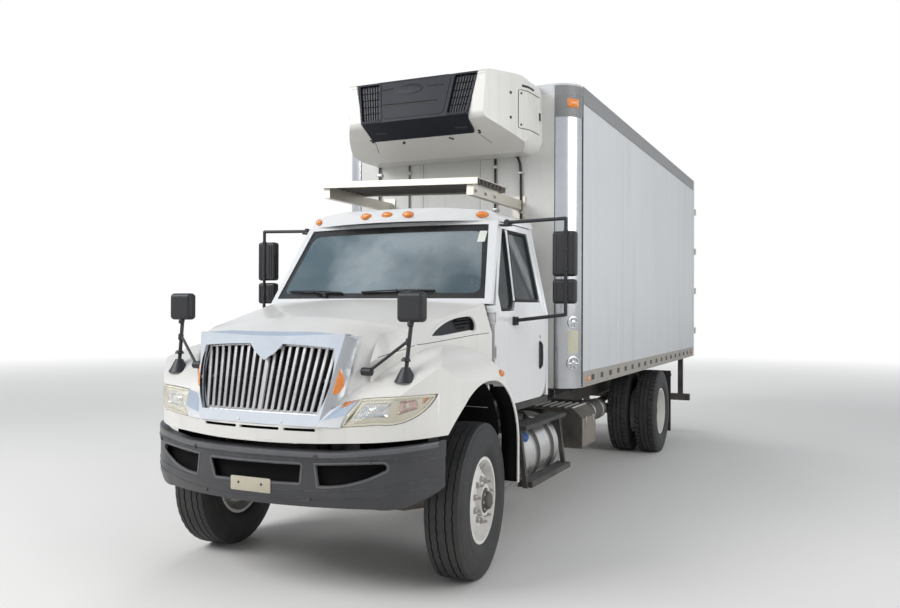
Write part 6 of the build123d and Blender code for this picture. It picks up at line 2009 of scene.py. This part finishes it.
class TRUCK_OT_body_trim(bpy.types.Operator):
    """Rivets, rail slots, corner fittings and seams of the insulated body"""

    bl_idname = "truck.body_trim"
    bl_label = "Body trim"

    def execute(self, context):
        finishes = ["rail paint", "seam", "post metal", "label blank", "body panel", "slot dark"]
        front, rear = FRONT_Y + 2.18, BOX_REAR_Y - 0.04
        bm = bmesh.new()
        for side in SIDES.values():
            out, inward = side * 1.6, (-side, 0, 0)
            for z in RAIL_RIVETS:
                rivet_row(bm, "box_rails", (out, front + 0.05, z), (out, rear, z), inward, 0, 0.15)
            for n in range(RAIL_SLOTS):
                at, _ = fall("box_rails", spot(out, 2.476 + SLOT_PITCH * n, SLOT_Z), inward)
                rows = []
                for grow, lift in ((1.12, 0.0004), (1.0, 0.0016)):
                    edge = rounded(0.052, 0.026, 0.006)
                    rows.append(row(bm, [at + Vector((side * lift, a * grow, c * grow)) for a, c in edge]))
                skin(bm, rows, 0, True)
                # Each slot's face is dark: painted shade in the hollow of the slot
                bm.faces.new(rows[1]).material_index = 5
        outward(bm)
        add_mesh("rail_details", bm, finishes, "chassis", 0.7)
        bm = bmesh.new()
        for label, side in SIDES.items():
            out, inward, wall = side * 1.6, (-side, 0, 0), f"box_side_{label}"
            for n in range(1, 5):
                y = front + SEAM_PITCH * n
                bead(bm, laid(wall, [(out, y, 1.275), (out, y, 3.69)], inward, 0.3), 0.014, 0.0016, 4)
                for shift in (-0.008, 0.008):
                    ends = [(out, y + shift, z) for z in (1.32, 3.66)]
                    rivet_row(bm, wall, *ends, inward, 4, 0.13)
        add_mesh("side_seams", bm, finishes, "chassis", 0.7)
        bm = bmesh.new()
        for side in SIDES.values():
            inward, node = (-side, 0, 0), "corner_posts"
            for z, radius in ((1.724, 0.058), (1.357, 0.066)):
                rosette(bm, *corner_point(side, z), radius)
            shares = [0.555 + m * 0.043 for m in range(-4, 5)]
            skin(bm, [bend_row(bm, side, z, shares, 0.0012) for z in spaced(1.448, 1.653, 7)], 3)
            strip_y, rivets_y = BOX_FRONT_Y + 0.190, BOX_FRONT_Y + 0.168
            ends = [(side * 1.6, strip_y, z) for z in STRIP_ENDS]
            bead(bm, laid(node, ends, inward, 0.3), 0.016, 0.004, 1)
            ends = before([(side * 1.016, z) for z in STRIP_ENDS], BOX_FRONT_Y - 0.5)
            bead(bm, laid(node, ends, REARWARD, 0.3), 0.004, 0.003, 1)
            ends = before([(side * 1.034, z) for z in POST_RIVET_ENDS], BOX_FRONT_Y - 0.5)
            rivet_row(bm, node, *ends, REARWARD, 2, 0.06)
            ends = [(side * 1.6, rivets_y, z) for z in POST_RIVET_ENDS]
            rivet_row(bm, node, *ends, inward, 2, 0.12)
        outward(bm)
        add_mesh("post_fittings", bm, finishes, "chassis", 0.7)
        bm = bmesh.new()
        for side in SIDES.values():
            skin(bm, [bend_row(bm, side, z, spaced(0, 1, 21), lift) for z, lift in CAP_SECTION])
            for z in (3.60, 3.77):
                for share in spaced(0.05, 0.95, 7):
                    at, out = corner_point(side, z, share)
                    dome(bm, at + out * 0.0035, out, 0.0075, 0.0045, 8, 0)
        outward(bm)
        add_mesh("corner_caps", bm, finishes, "chassis", 0.7)
        return {"FINISHED"}


LOCK_CAM = [(0.0172, -0.025), (0.026, -0.022), (0.026, 0.022), (0.0172, 0.025)]


class TRUCK_OT_rear_details(bpy.types.Operator):
    """Seals, hinge bolts, lock cams, latches and buffers at the rear"""

    bl_idname = "truck.rear_details"
    bl_label = "Rear details"

    def execute(self, context):
        finishes = ["frame paint", "rubber", "steel", "nut steel"]
        for side, sign in SIDES.items():
            bm = bmesh.new()
            door = f"rear_door_{side}"
            low, high = (Vector(corner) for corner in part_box(door))
            foot, top = low.z + 0.02, high.z - 0.02
            edge = [(0.030, foot), (1.120, foot), (1.120, top), (0.030, top)]
            rim = before([(sign * x, z) for x, z in softened(edge, 0.02)], BOX_REAR_Y - 0.0035)
            bead(bm, [(point, REARWARD) for point in evenly(rim, 0.10, True)], 0.012, 0.008, 1, True)
            for z in spaced(1.528, 3.394, 4):
                for x in (1.04, 0.98):
                    hexagon(bm, (sign * x, BOX_REAR_Y + 0.0205, z), REARWARD, 0.011, 0.009, 3)
            for x in (0.130, 0.560):
                for z in (low.z + 0.03, high.z - 0.03):
                    lathe(bm, LOCK_CAM, Matrix.Translation((sign * x, BOX_REAR_Y + 0.038, z)), 16, 2)
                latch = Vector((sign * (x + 0.30), BOX_REAR_Y + 0.030, low.z + 0.835))
                half = Vector((0.014, 0.022, 0.035))
                box(bm, latch - half, latch + half, 0.004, 2, 2)
            add_mesh(f"rear_door_fittings_{side}", bm, finishes, f"rear_door_{side[0]}")
        bm = bmesh.new()
        for sign in (1, -1):
            for z in (1.15, 1.19):
                hexagon(bm, (sign * 1.18, BOX_REAR_Y + 0.0125, z), REARWARD, 0.011, 0.009, 3)
            foot = Vector((sign * 0.93, BOX_REAR_Y, 1.150))
            box(bm, foot + Vector((-0.045, 0.010, 0)), foot + Vector((0.045, 0.060, 0.150)), 0.012, 3, 1)
        add_mesh("rear_buffers", bm, finishes, "chassis")
        return {"FINISHED"}


# Chassis


TANK_X, TANK_Z, TANK_RADIUS = 0.790, 0.640, 0.285
# Tank strap's section: distance along the tank, lift off it
STRAP_SECTION = [
    (-0.004, 0.0), (-0.003, 0.004), (0.020, 0.0045), (0.022, 0.002), (0.038, 0.002), (0.040, 0.0045),
    (0.063, 0.004), (0.064, 0.0),
]
FILLER_CAP = [(0.050, -0.01), (0.050, 0.020), (0.056, 0.022), (0.056, 0.050), (0.048, 0.056), (0, 0.057)]
BLUE_CAP = [(0.030, -0.03), (0.030, 0.0), (0.046, 0.004), (0.046, 0.040), (0.040, 0.046), (0, 0.047)]


def upright_circle(centre, radius, count):
    """Points of an upright circle across the truck."""
    steps = angles(count)
    return [centre + Vector((radius * math.cos(angle), 0, radius * math.sin(angle))) for angle in steps]


class TRUCK_OT_tank_details(bpy.types.Operator):
    """Straps with their bolts, filler cap, rolled ribs and the blue cap by the fuel tank"""

    bl_idname = "truck.tank_details"
    bl_label = "Tank details"

    def execute(self, context):
        finishes = ["strap", "steel", "blue plastic", "tank metal", "black moulding"]
        centre = spot(TANK_X, 0, TANK_Z)
        bm = bmesh.new()
        for y in (1.310, 1.670):
            rings = []
            for angle in angles(64):
                out = Vector((math.cos(angle), 0, math.sin(angle)))
                middle, radius = centre + Vector((0, y, 0)), TANK_RADIUS + 0.005
                ring = [middle + Vector((0, a, 0)) + out * (radius + lift) for a, lift in STRAP_SECTION]
                rings.append(row(bm, ring))
            skin(bm, rings + rings[:1])
            at = centre + Vector((0.205, y + 0.030, 0.212))
            tip = at + Vector((0.03, 0, 0.03))
            rod(bm, at + Vector((0, 0, -0.01)), tip, 0.012, 10, 1)
            hexagon(bm, tip, (1, 0, 1), 0.014, 0.012, 1)
        for y in (1.045, 1.070, 1.235, 1.260, 1.560, 1.800, 1.865):
            middle = centre + Vector((0, y, 0))
            ring = upright_circle(middle, TANK_RADIUS, 64)
            bead(bm, [(point, (point - middle).normalized()) for point in ring], 0.004, 0.0025, 3, True)
        turned(bm, FILLER_CAP, centre + Vector((0.13, 1.50, 0.250)), (0.45, 0, 0.89), 28, 1)
        for y, way in ((1.010, AHEAD), (1.900, REARWARD)):
            for radius in (0.235, 0.165):
                ring = upright_circle(centre + Vector((0, y, 0)), radius, 48)
                bead(bm, [(point, way) for point in ring], 0.008, 0.006, 3, True)
        outward(bm)
        add_mesh("tank_straps", bm, finishes, "chassis")
        bm = bmesh.new()
        cap, out = spot(1.008, 1.125, 0.790), Vector((0.55, -0.2, 0.8))
        turned(bm, BLUE_CAP, cap, out, 20, 0)
        matrix = frame_along(cap, cap + out)
        for angle in angles(10):
            rod(bm, *(matrix @ polar(0.046, angle, height) for height in (0.006, 0.038)), 0.004, 6, 0)
        neck = [spot(1.000, 1.128, 0.770), spot(0.975, 1.135, 0.720), spot(0.960, 1.140, 0.66)]
        tube(bm, neck, 0.020, 12, 1)
        add_mesh("blue_cap", bm, ["blue plastic", "black moulding"], "chassis")
        return {"FINISHED"}


GRIP = [(0.008, 0), (0.0075, 0.004), (0.005, 0.004), (0.0045, 0.001), (0, 0.001)]


class TRUCK_OT_step_grips(bpy.types.Operator):
    """Open gratings and raised grips on the cab steps"""

    bl_idname = "truck.step_grips"
    bl_label = "Step grips"

    def execute(self, context):
        finishes = ["step metal", "chassis paint"]
        bm = bmesh.new()
        for x in spaced(1.038, 1.142, 5):
            box(bm, spot(x - 0.003, 0.990, 0.470), spot(x + 0.003, 1.995, 0.479), 0.0015, 1, 0)
        for y in spaced(1.0, 1.98, 34):
            box(bm, spot(1.033, y - 0.003, 0.470), spot(1.147, y + 0.003, 0.476), 0.001, 1, 0)
        for n in range(6):
            for m in range(26):
                x, y = 0.968 + 0.026 * n, 0.950 + 0.0385 * m + (0.019 if n % 2 else 0)
                lathe(bm, GRIP, Matrix.Translation(spot(x, y, 0.919)), 8, 0)
        mirrored(bm)
        add_mesh("step_grips", bm, finishes, "chassis")
        return {"FINISHED"}


RESERVOIR_X, RESERVOIR_Z = 0.900, 0.760
RESERVOIR_BAND = [(0.1101, -0.016), (0.1135, -0.014), (0.1135, 0.014), (0.1101, 0.016)]
RESERVOIR_PLUG = [(0.040, 0.0), (0.040, 0.006), (0.030, 0.010), (0, 0.010)]


class TRUCK_OT_locker_details(bpy.types.Operator):
    """Ribbed lid, latch, straps and clamps of the locker and the air reservoir"""

    bl_idname = "truck.locker_details"
    bl_label = "Locker details"

    def execute(self, context):
        finishes = ["rib metal", "locker face", "steel", "chassis paint", "cab paint"]
        bm = bmesh.new()
        box(bm, spot(0.436, 2.565, 0.866), spot(0.702, 3.035, 0.880), 0.003, 2, 3)
        for n in range(8):
            x = 0.462 + 0.0745 * n
            box(bm, spot(x - 0.013, 2.575, 0.8795), spot(x + 0.013, 3.025, 0.897), 0.005, 2, 0)
        box(bm, spot(1.0895, 2.585, 0.520), spot(1.0935, 3.015, 0.782), 0.002, 2, 1)
        for y in (2.68, 2.92):
            box(bm, spot(1.092, y - 0.016, 0.735), spot(1.102, y + 0.016, 0.800), 0.003, 2, 2)
            rod(bm, spot(1.098, y - 0.020, 0.742), spot(1.098, y + 0.020, 0.742), 0.006, 10, 2)
        centre = spot(RESERVOIR_X, 0, RESERVOIR_Z)
        for y in (3.325, 3.645):
            turned(bm, RESERVOIR_BAND, centre + Vector((0, y, 0)), REARWARD, 40, 2)
        for y, way in ((3.2005, AHEAD), (3.7795, REARWARD)):
            at = centre + Vector((0, y, 0))
            turned(bm, RESERVOIR_PLUG, at, way, 24, 3)
            bead(bm, [(point, way) for point in upright_circle(at, 0.080, 32)], 0.006, 0.005, 0, True)
        outward(bm)
        add_mesh("locker_fittings", bm, finishes, "chassis")
        bm = bmesh.new()
        for x, z, radius in ((0.452, 0.93, 0.010), (0.455, 0.895, 0.008), (-0.452, 0.93, 0.010)):
            points = [spot(x, y, z + 0.012 * math.sin(y * 5.0 + x)) for y in spaced(2.0, 6.0, 17)]
            tube(bm, points, radius, 8, 0)
            inner, outer = (0.431, x + 0.016) if x > 0 else (x - 0.016, -0.431)
            for y in spaced(2.1, 5.85, 6):
                box(bm, spot(inner, y - 0.01, z - 0.03), spot(outer, y + 0.01, z + 0.03), 0.003, 1, 2)
        add_mesh("air_lines", bm, ["rubber", "rubber", "steel"], "chassis")
        return {"FINISHED"}


# Cabin


# Seats: middle across, width
SEATS = {"driver": (0.450, 0.500), "bench": (-0.430, 0.760)}


# Cushion: half-width where it isn't the seat's, front and foot, rear and top, lean
PADS = [
    ("seat_base", None, (0.960, 1.400), (1.430, 1.535), 0.0),
    ("seat_back", None, (1.395, 1.480), (1.525, 2.090), 0.105),
    ("headrest", 0.125, (1.470, 2.095), (1.550, 2.250), 0.0),
]


def cushion(name, low, high, lean, swell=0.022):
    """A padded cushion swollen by cloth pressure from a slightly smaller block, then rounded."""
    low, high = Vector(low), Vector(high)
    bm = bmesh.new()
    margin = Vector((swell, swell, swell))
    for vert in box(bm, low + margin, high - margin):
        vert.co.y += lean * (vert.co.z - low.z)
    mesh = bpy.data.meshes.new(name)
    bm.to_mesh(mesh)
    bm.free()
    piece = bpy.data.objects.new(name, mesh)
    bpy.context.scene.collection.objects.link(piece)
    remesh = piece.modifiers.new("voxels", "REMESH")
    remesh.mode = "VOXEL"
    remesh.voxel_size = 0.016
    apply_modifiers(piece)
    rest = [vert.co.copy() for vert in piece.data.vertices]
    cloth = piece.modifiers.new("cloth", "CLOTH")
    cloth.settings.use_pressure = True
    cloth.settings.uniform_pressure_force = 4
    cloth.settings.effector_weights.gravity = 0
    cloth.settings.quality = 4
    for frame_number in range(1, 21):
        bpy.context.scene.frame_set(frame_number)
    apply_modifiers(piece)
    bpy.context.scene.frame_set(1)
    for vert, start in zip(piece.data.vertices, rest):
        move = vert.co - start
        if move.length > swell:
            vert.co = start + move.normalized() * swell
    smooth = piece.modifiers.new("smooth", "SUBSURF")
    smooth.levels = 1
    apply_modifiers(piece)
    piece.data.shade_smooth()
    return piece


class TRUCK_OT_seats(bpy.types.Operator):
    """Padded seats on boxed bases"""

    bl_idname = "truck.seats"
    bl_label = "Seats"

    def execute(self, context):
        bases = bmesh.new()
        pads = []
        for label, (x, width) in SEATS.items():
            half = width / 2
            for part, wide, (y, z), (rear, top), lean in PADS:
                wide = wide or half
                pads.append((f"{label}_{part}", spot(x - wide, y, z), spot(x + wide, rear, top), lean))
            foot, hinge = half - 0.060, half - 0.020
            box(bases, spot(x - foot, 1.020, 1.142), spot(x + foot, 1.420, 1.415), 0.020, 3, 0)
            box(bases, spot(x - hinge, 1.480, 1.440), spot(x + hinge, 1.520, 1.560), 0.012, 3, 0)
            for rod_x in (x - 0.06, x + 0.06):
                rod(bases, spot(rod_x, 1.500, 2.060), spot(rod_x, 1.510, 2.130), 0.007, 10, 1)
        for name, low, high, lean in pads:
            piece = cushion(name, low, high, lean)
            piece.data.materials.append(finish("seat cloth"))
            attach(piece, "chassis")
        add_mesh("seat_boxes", bases, ["cabin moulding", "steel"], "chassis")
        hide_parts("seats")
        return {"FINISHED"}


STEERING_PLACE = (0.450, 0.930, 1.762)
STEERING_AXIS = Vector((0, 0.76, 0.65)).normalized()
STEERING_RADIUS = 0.210
# Dial: place across, radius
DIALS = [(0.33, 0.045), (0.45, 0.055), (0.57, 0.045), (0.655, 0.028), (0.245, 0.028)]


class TRUCK_OT_dashboard(bpy.types.Operator):
    """Instrument hood, dials, vents, wheel rim, column stalks, inside mirror and sun visors"""

    bl_idname = "truck.dashboard"
    bl_label = "Dashboard"

    def execute(self, context):
        finishes = ["dash moulding", "black moulding", "dial", "steel", "wheel rim"]
        bm = bmesh.new()
        for x, radius in DIALS:
            at, normal = fall("dashboard", spot(x, 1.20, 1.700), AHEAD)
            bezel = [(radius, 0), (radius, 0.010), (radius * 0.92, 0.012), (radius * 0.88, 0.004)]
            turned(bm, bezel, at, normal, 28, 3)
            turned(bm, [(radius * 0.88, 0.003), (0, 0.0035)], at, normal, 28, 2)
            hand = frame_along(at + normal * 0.0045, at + normal)
            rod(bm, hand @ Vector((0, 0, 0)), hand @ Vector((radius * 0.5, radius * 0.5, 0)), 0.0014, 6, 1)
        for x in (-0.75, -0.50, 0.02, 0.82):
            at, _ = fall("dashboard", spot(x, 1.20, 1.700), AHEAD)
            box(bm, (x - 0.060, at.y - 0.004, 1.665), (x + 0.060, at.y + 0.010, 1.735), 0.006, 2, 1)
            for z in spaced(1.675, 1.725, 5):
                low, high = Vector((x - 0.052, at.y + 0.008, z - 0.0015)), Vector((0.104, 0.006, 0.004))
                box(bm, low, low + high, 0.001, 1, 0)
        hood = []
        for n, x in enumerate(spaced(0.20, 0.70, 13)):
            rise = 0.060 * math.sin(math.pi * n / 12) ** 0.5 if 0 < n < 12 else 0.0
            arch = ((0.62, -0.01), (0.64, rise * 0.7), (0.74, rise), (0.792, rise * 0.8), (0.79, -0.03))
            hood.append(row(bm, [spot(x, y, 1.812 + z) for y, z in arch]))
        skin(bm, hood, flip=True)
        centre = spot(*STEERING_PLACE)
        matrix = frame_along(centre, centre + STEERING_AXIS)
        tube(bm, [matrix @ polar(STEERING_RADIUS, angle) for angle in angles(48)], 0.0165, 10, 4, True)
        for angle in (0.3, math.pi - 0.3, -math.pi / 2):
            tip = matrix @ polar(STEERING_RADIUS - 0.010, angle)
            tube(bm, [matrix @ Vector((0, 0, 0.004)), tip], 0.011, 8, 4)
        lathe(bm, [(0.062, -0.012), (0.066, 0.0), (0.058, 0.014), (0.03, 0.020), (0, 0.021)], matrix, 28, 4)
        for side in SIDES.values():
            stalk = ((0.028, 0, -0.07), (0.10, 0.02, -0.055), (0.17, 0.03, -0.04))
            tube(bm, [matrix @ Vector((side * x, y, z)) for x, y, z in stalk], 0.007, 8, 1)
        outward(bm)
        add_mesh("dash_fittings", bm, finishes, "chassis")
        bm = bmesh.new()
        y = fall("windshield", (0, FRONT_Y - 0.5, 2.44), REARWARD)[0].y
        box(bm, (-0.11, y + 0.060, 2.360), (0.11, y + 0.085, 2.425), 0.012, 3, 1)
        tube(bm, [(0, y + 0.012, 2.45), (0, y + 0.05, 2.43), (0, y + 0.065, 2.41)], 0.008, 8, 1)
        for x in (0.20, -0.76):
            box(bm, (x, y + 0.115, 2.372), (x + 0.56, y + 0.135, 2.478), 0.008, 3, 0)
        add_mesh("cabin_fittings", bm, finishes, "chassis")
        return {"FINISHED"}


# Camera, light and floor


LAMP_SIZE = (8.0, 5.6)


def add_lamp(name, place, target, power):
    """A rectangular lamp that looks at a point."""
    data = bpy.data.lights.new(name, "AREA")
    data.energy = power
    data.shape = "RECTANGLE"
    data.size, data.size_y = LAMP_SIZE
    lamp = bpy.data.objects.new(name, data)
    turn = (Vector(target) - Vector(place)).to_track_quat("-Z", "Y").to_matrix().to_4x4()
    lamp.matrix_world = Matrix.Translation(place) @ turn
    bpy.context.scene.collection.objects.link(lamp)


def make_world(strength):
    """A pale sky that lights softly and shows white to the camera, to metal and through glass."""
    world = bpy.data.worlds.new("pale sky")
    bpy.context.scene.world = world
    world.use_nodes = True
    tree = world.node_tree
    direction = node(tree, "SeparateXYZ", {0: node(tree, "TexCoord").outputs["Generated"]}).outputs["Z"]
    sky = mix_colour(tree, ramp(tree, direction, 0.0, 0.55), (1.0, 1.0, 1.0, 1), (0.50, 0.58, 0.68, 1))
    shown = mix_colour(tree, ramp(tree, direction, -0.35, -0.02), (0.55, 0.53, 0.50, 1), sky)
    lit = {"Color": mix_colour(tree, 0.35, (1, 1, 1, 1), shown), "Strength": strength}
    light = feed(tree, tree.nodes["Background"], lit)
    rays = node(tree, "LightPath").outputs
    reflected = math_node(tree, "MAXIMUM", rays["Is Glossy Ray"], rays["Is Transmission Ray"])
    plain = mix_colour(tree, reflected, (1, 1, 1, 1), shown)
    backdrop = node(tree, "Background", {"Color": plain, "Strength": 1.0})
    direct = math_node(tree, "MAXIMUM", rays["Is Camera Ray"], reflected)
    mixed = node(tree, "MixShader", {0: direct, 1: light.outputs[0], 2: backdrop.outputs[0]})
    feed(tree, tree.nodes["World Output"], {"Surface": mixed.outputs[0]})


def make_floor(colour):
    """A wide pale floor that keeps the truck's shadow and fades to white far off."""
    material, tree, shader = start_material("pale floor")
    tint = effect(tree, "mottle", color=(*colour, 1), scale=0.4, amount=0.03)["Color"]
    feed(tree, shader, {"Base Color": tint, "Roughness": 0.85})
    far = node(tree, "VectorMath", {0: object_place(tree)}, operation="LENGTH").outputs["Value"]
    fade = times(tree, ramp(tree, far, 9.0, 26.0), node(tree, "LightPath").outputs["Is Camera Ray"])
    white = node(tree, "Emission", {"Strength": 1.0})
    mixed = node(tree, "MixShader", {0: fade, 1: shader.outputs[0], 2: white.outputs[0]})
    feed(tree, tree.nodes["Material Output"], {"Surface": mixed.outputs[0]})
    bm = bmesh.new()
    bmesh.ops.create_circle(bm, cap_ends=True, segments=96, radius=120)
    mesh = bpy.data.meshes.new("floor")
    bm.to_mesh(mesh)
    bm.free()
    mesh.materials.append(material)
    floor = bpy.data.objects.new("floor", mesh)
    bpy.context.scene.collection.objects.link(floor)


# Lamp: name, place, what it looks at
LAMPS = [
    ("key", (-7, -11, 9), (0, -1, 1.8)),
    ("fill", (11, -4, 6), (0, 0, 2.0)),
    ("back", (-6, 12, 9), (0, 1, 2.0)),
]


class TRUCK_OT_stage(bpy.types.Operator):
    """Camera at the photograph's angle, soft lamps, sky and floor"""

    bl_idname = "truck.stage"
    bl_label = "Stage"

    def execute(self, context):
        settings = context.scene.truck_stage
        right, up, forward = camera_axes()
        turn = Matrix((right, up, -forward)).transposed().to_4x4()
        data = bpy.data.cameras.new("camera")
        data.lens = CAMERA_LENS
        data.sensor_width = SENSOR
        camera = bpy.data.objects.new("camera", data)
        camera.matrix_world = Matrix.Translation(CAMERA_PLACE) @ turn
        context.scene.collection.objects.link(camera)
        context.scene.camera = camera
        for name, place, target in LAMPS:
            add_lamp(name, place, target, settings.key if name == "key" else settings.fill)
        make_world(settings.sky)
        make_floor(tuple(settings.floor))
        context.scene.view_settings.view_transform = "Standard"
        return {"FINISHED"}


class TRUCK_PT_panel(bpy.types.Panel):
    """Lists the truck's operators and settings"""

    bl_idname = "TRUCK_PT_panel"
    bl_label = "Refrigerated truck"
    bl_space_type = "VIEW_3D"
    bl_region_type = "UI"
    bl_category = "Truck"

    def draw(self, context):
        for settings in (context.scene.truck_paint, context.scene.truck_sizes, context.scene.truck_stage):
            for key in settings.__annotations__:
                self.layout.prop(settings, key)
        for maker in OPERATORS:
            self.layout.operator(maker.bl_idname)


SETTINGS = {"truck_paint": TruckPaint, "truck_sizes": TruckSizes, "truck_stage": TruckStage}
OPERATORS = [
    TRUCK_OT_finishes,
    TRUCK_OT_tyres,
    TRUCK_OT_wheel_hardware,
    TRUCK_OT_headlamps,
    TRUCK_OT_marker_lamps,
    TRUCK_OT_glass_trim,
    TRUCK_OT_wipers,
    TRUCK_OT_hood_details,
    TRUCK_OT_liners_and_shade,
    TRUCK_OT_bumper_trim,
    TRUCK_OT_mirrors,
    TRUCK_OT_door_hardware,
    TRUCK_OT_unit_details,
    TRUCK_OT_wall_details,
    TRUCK_OT_deck_details,
    TRUCK_OT_body_trim,
    TRUCK_OT_rear_details,
    TRUCK_OT_tank_details,
    TRUCK_OT_step_grips,
    TRUCK_OT_locker_details,
    TRUCK_OT_seats,
    TRUCK_OT_dashboard,
    TRUCK_OT_stage,
]


def register():
    """Registers every class and hangs the settings on the scene."""
    for kind in [*SETTINGS.values(), *OPERATORS, TRUCK_PT_panel]:
        bpy.utils.register_class(kind)
    for name, kind in SETTINGS.items():
        setattr(bpy.types.Scene, name, PointerProperty(type=kind))


def unregister():
    """Takes the settings and classes away again."""
    for name in SETTINGS:
        delattr(bpy.types.Scene, name)
    for kind in [TRUCK_PT_panel, *reversed(OPERATORS), *SETTINGS.values()]:
        bpy.utils.unregister_class(kind)


def main():
    """Builds everything in order."""
    for leftover in [o for o in bpy.data.objects if o.name in ("Cube", "Light", "Camera")]:
        bpy.data.objects.remove(leftover)
    register()
    for maker in OPERATORS:
        group, name = maker.bl_idname.split(".")
        getattr(getattr(bpy.ops, group), name)()


if __name__ == "__main__":
    main()
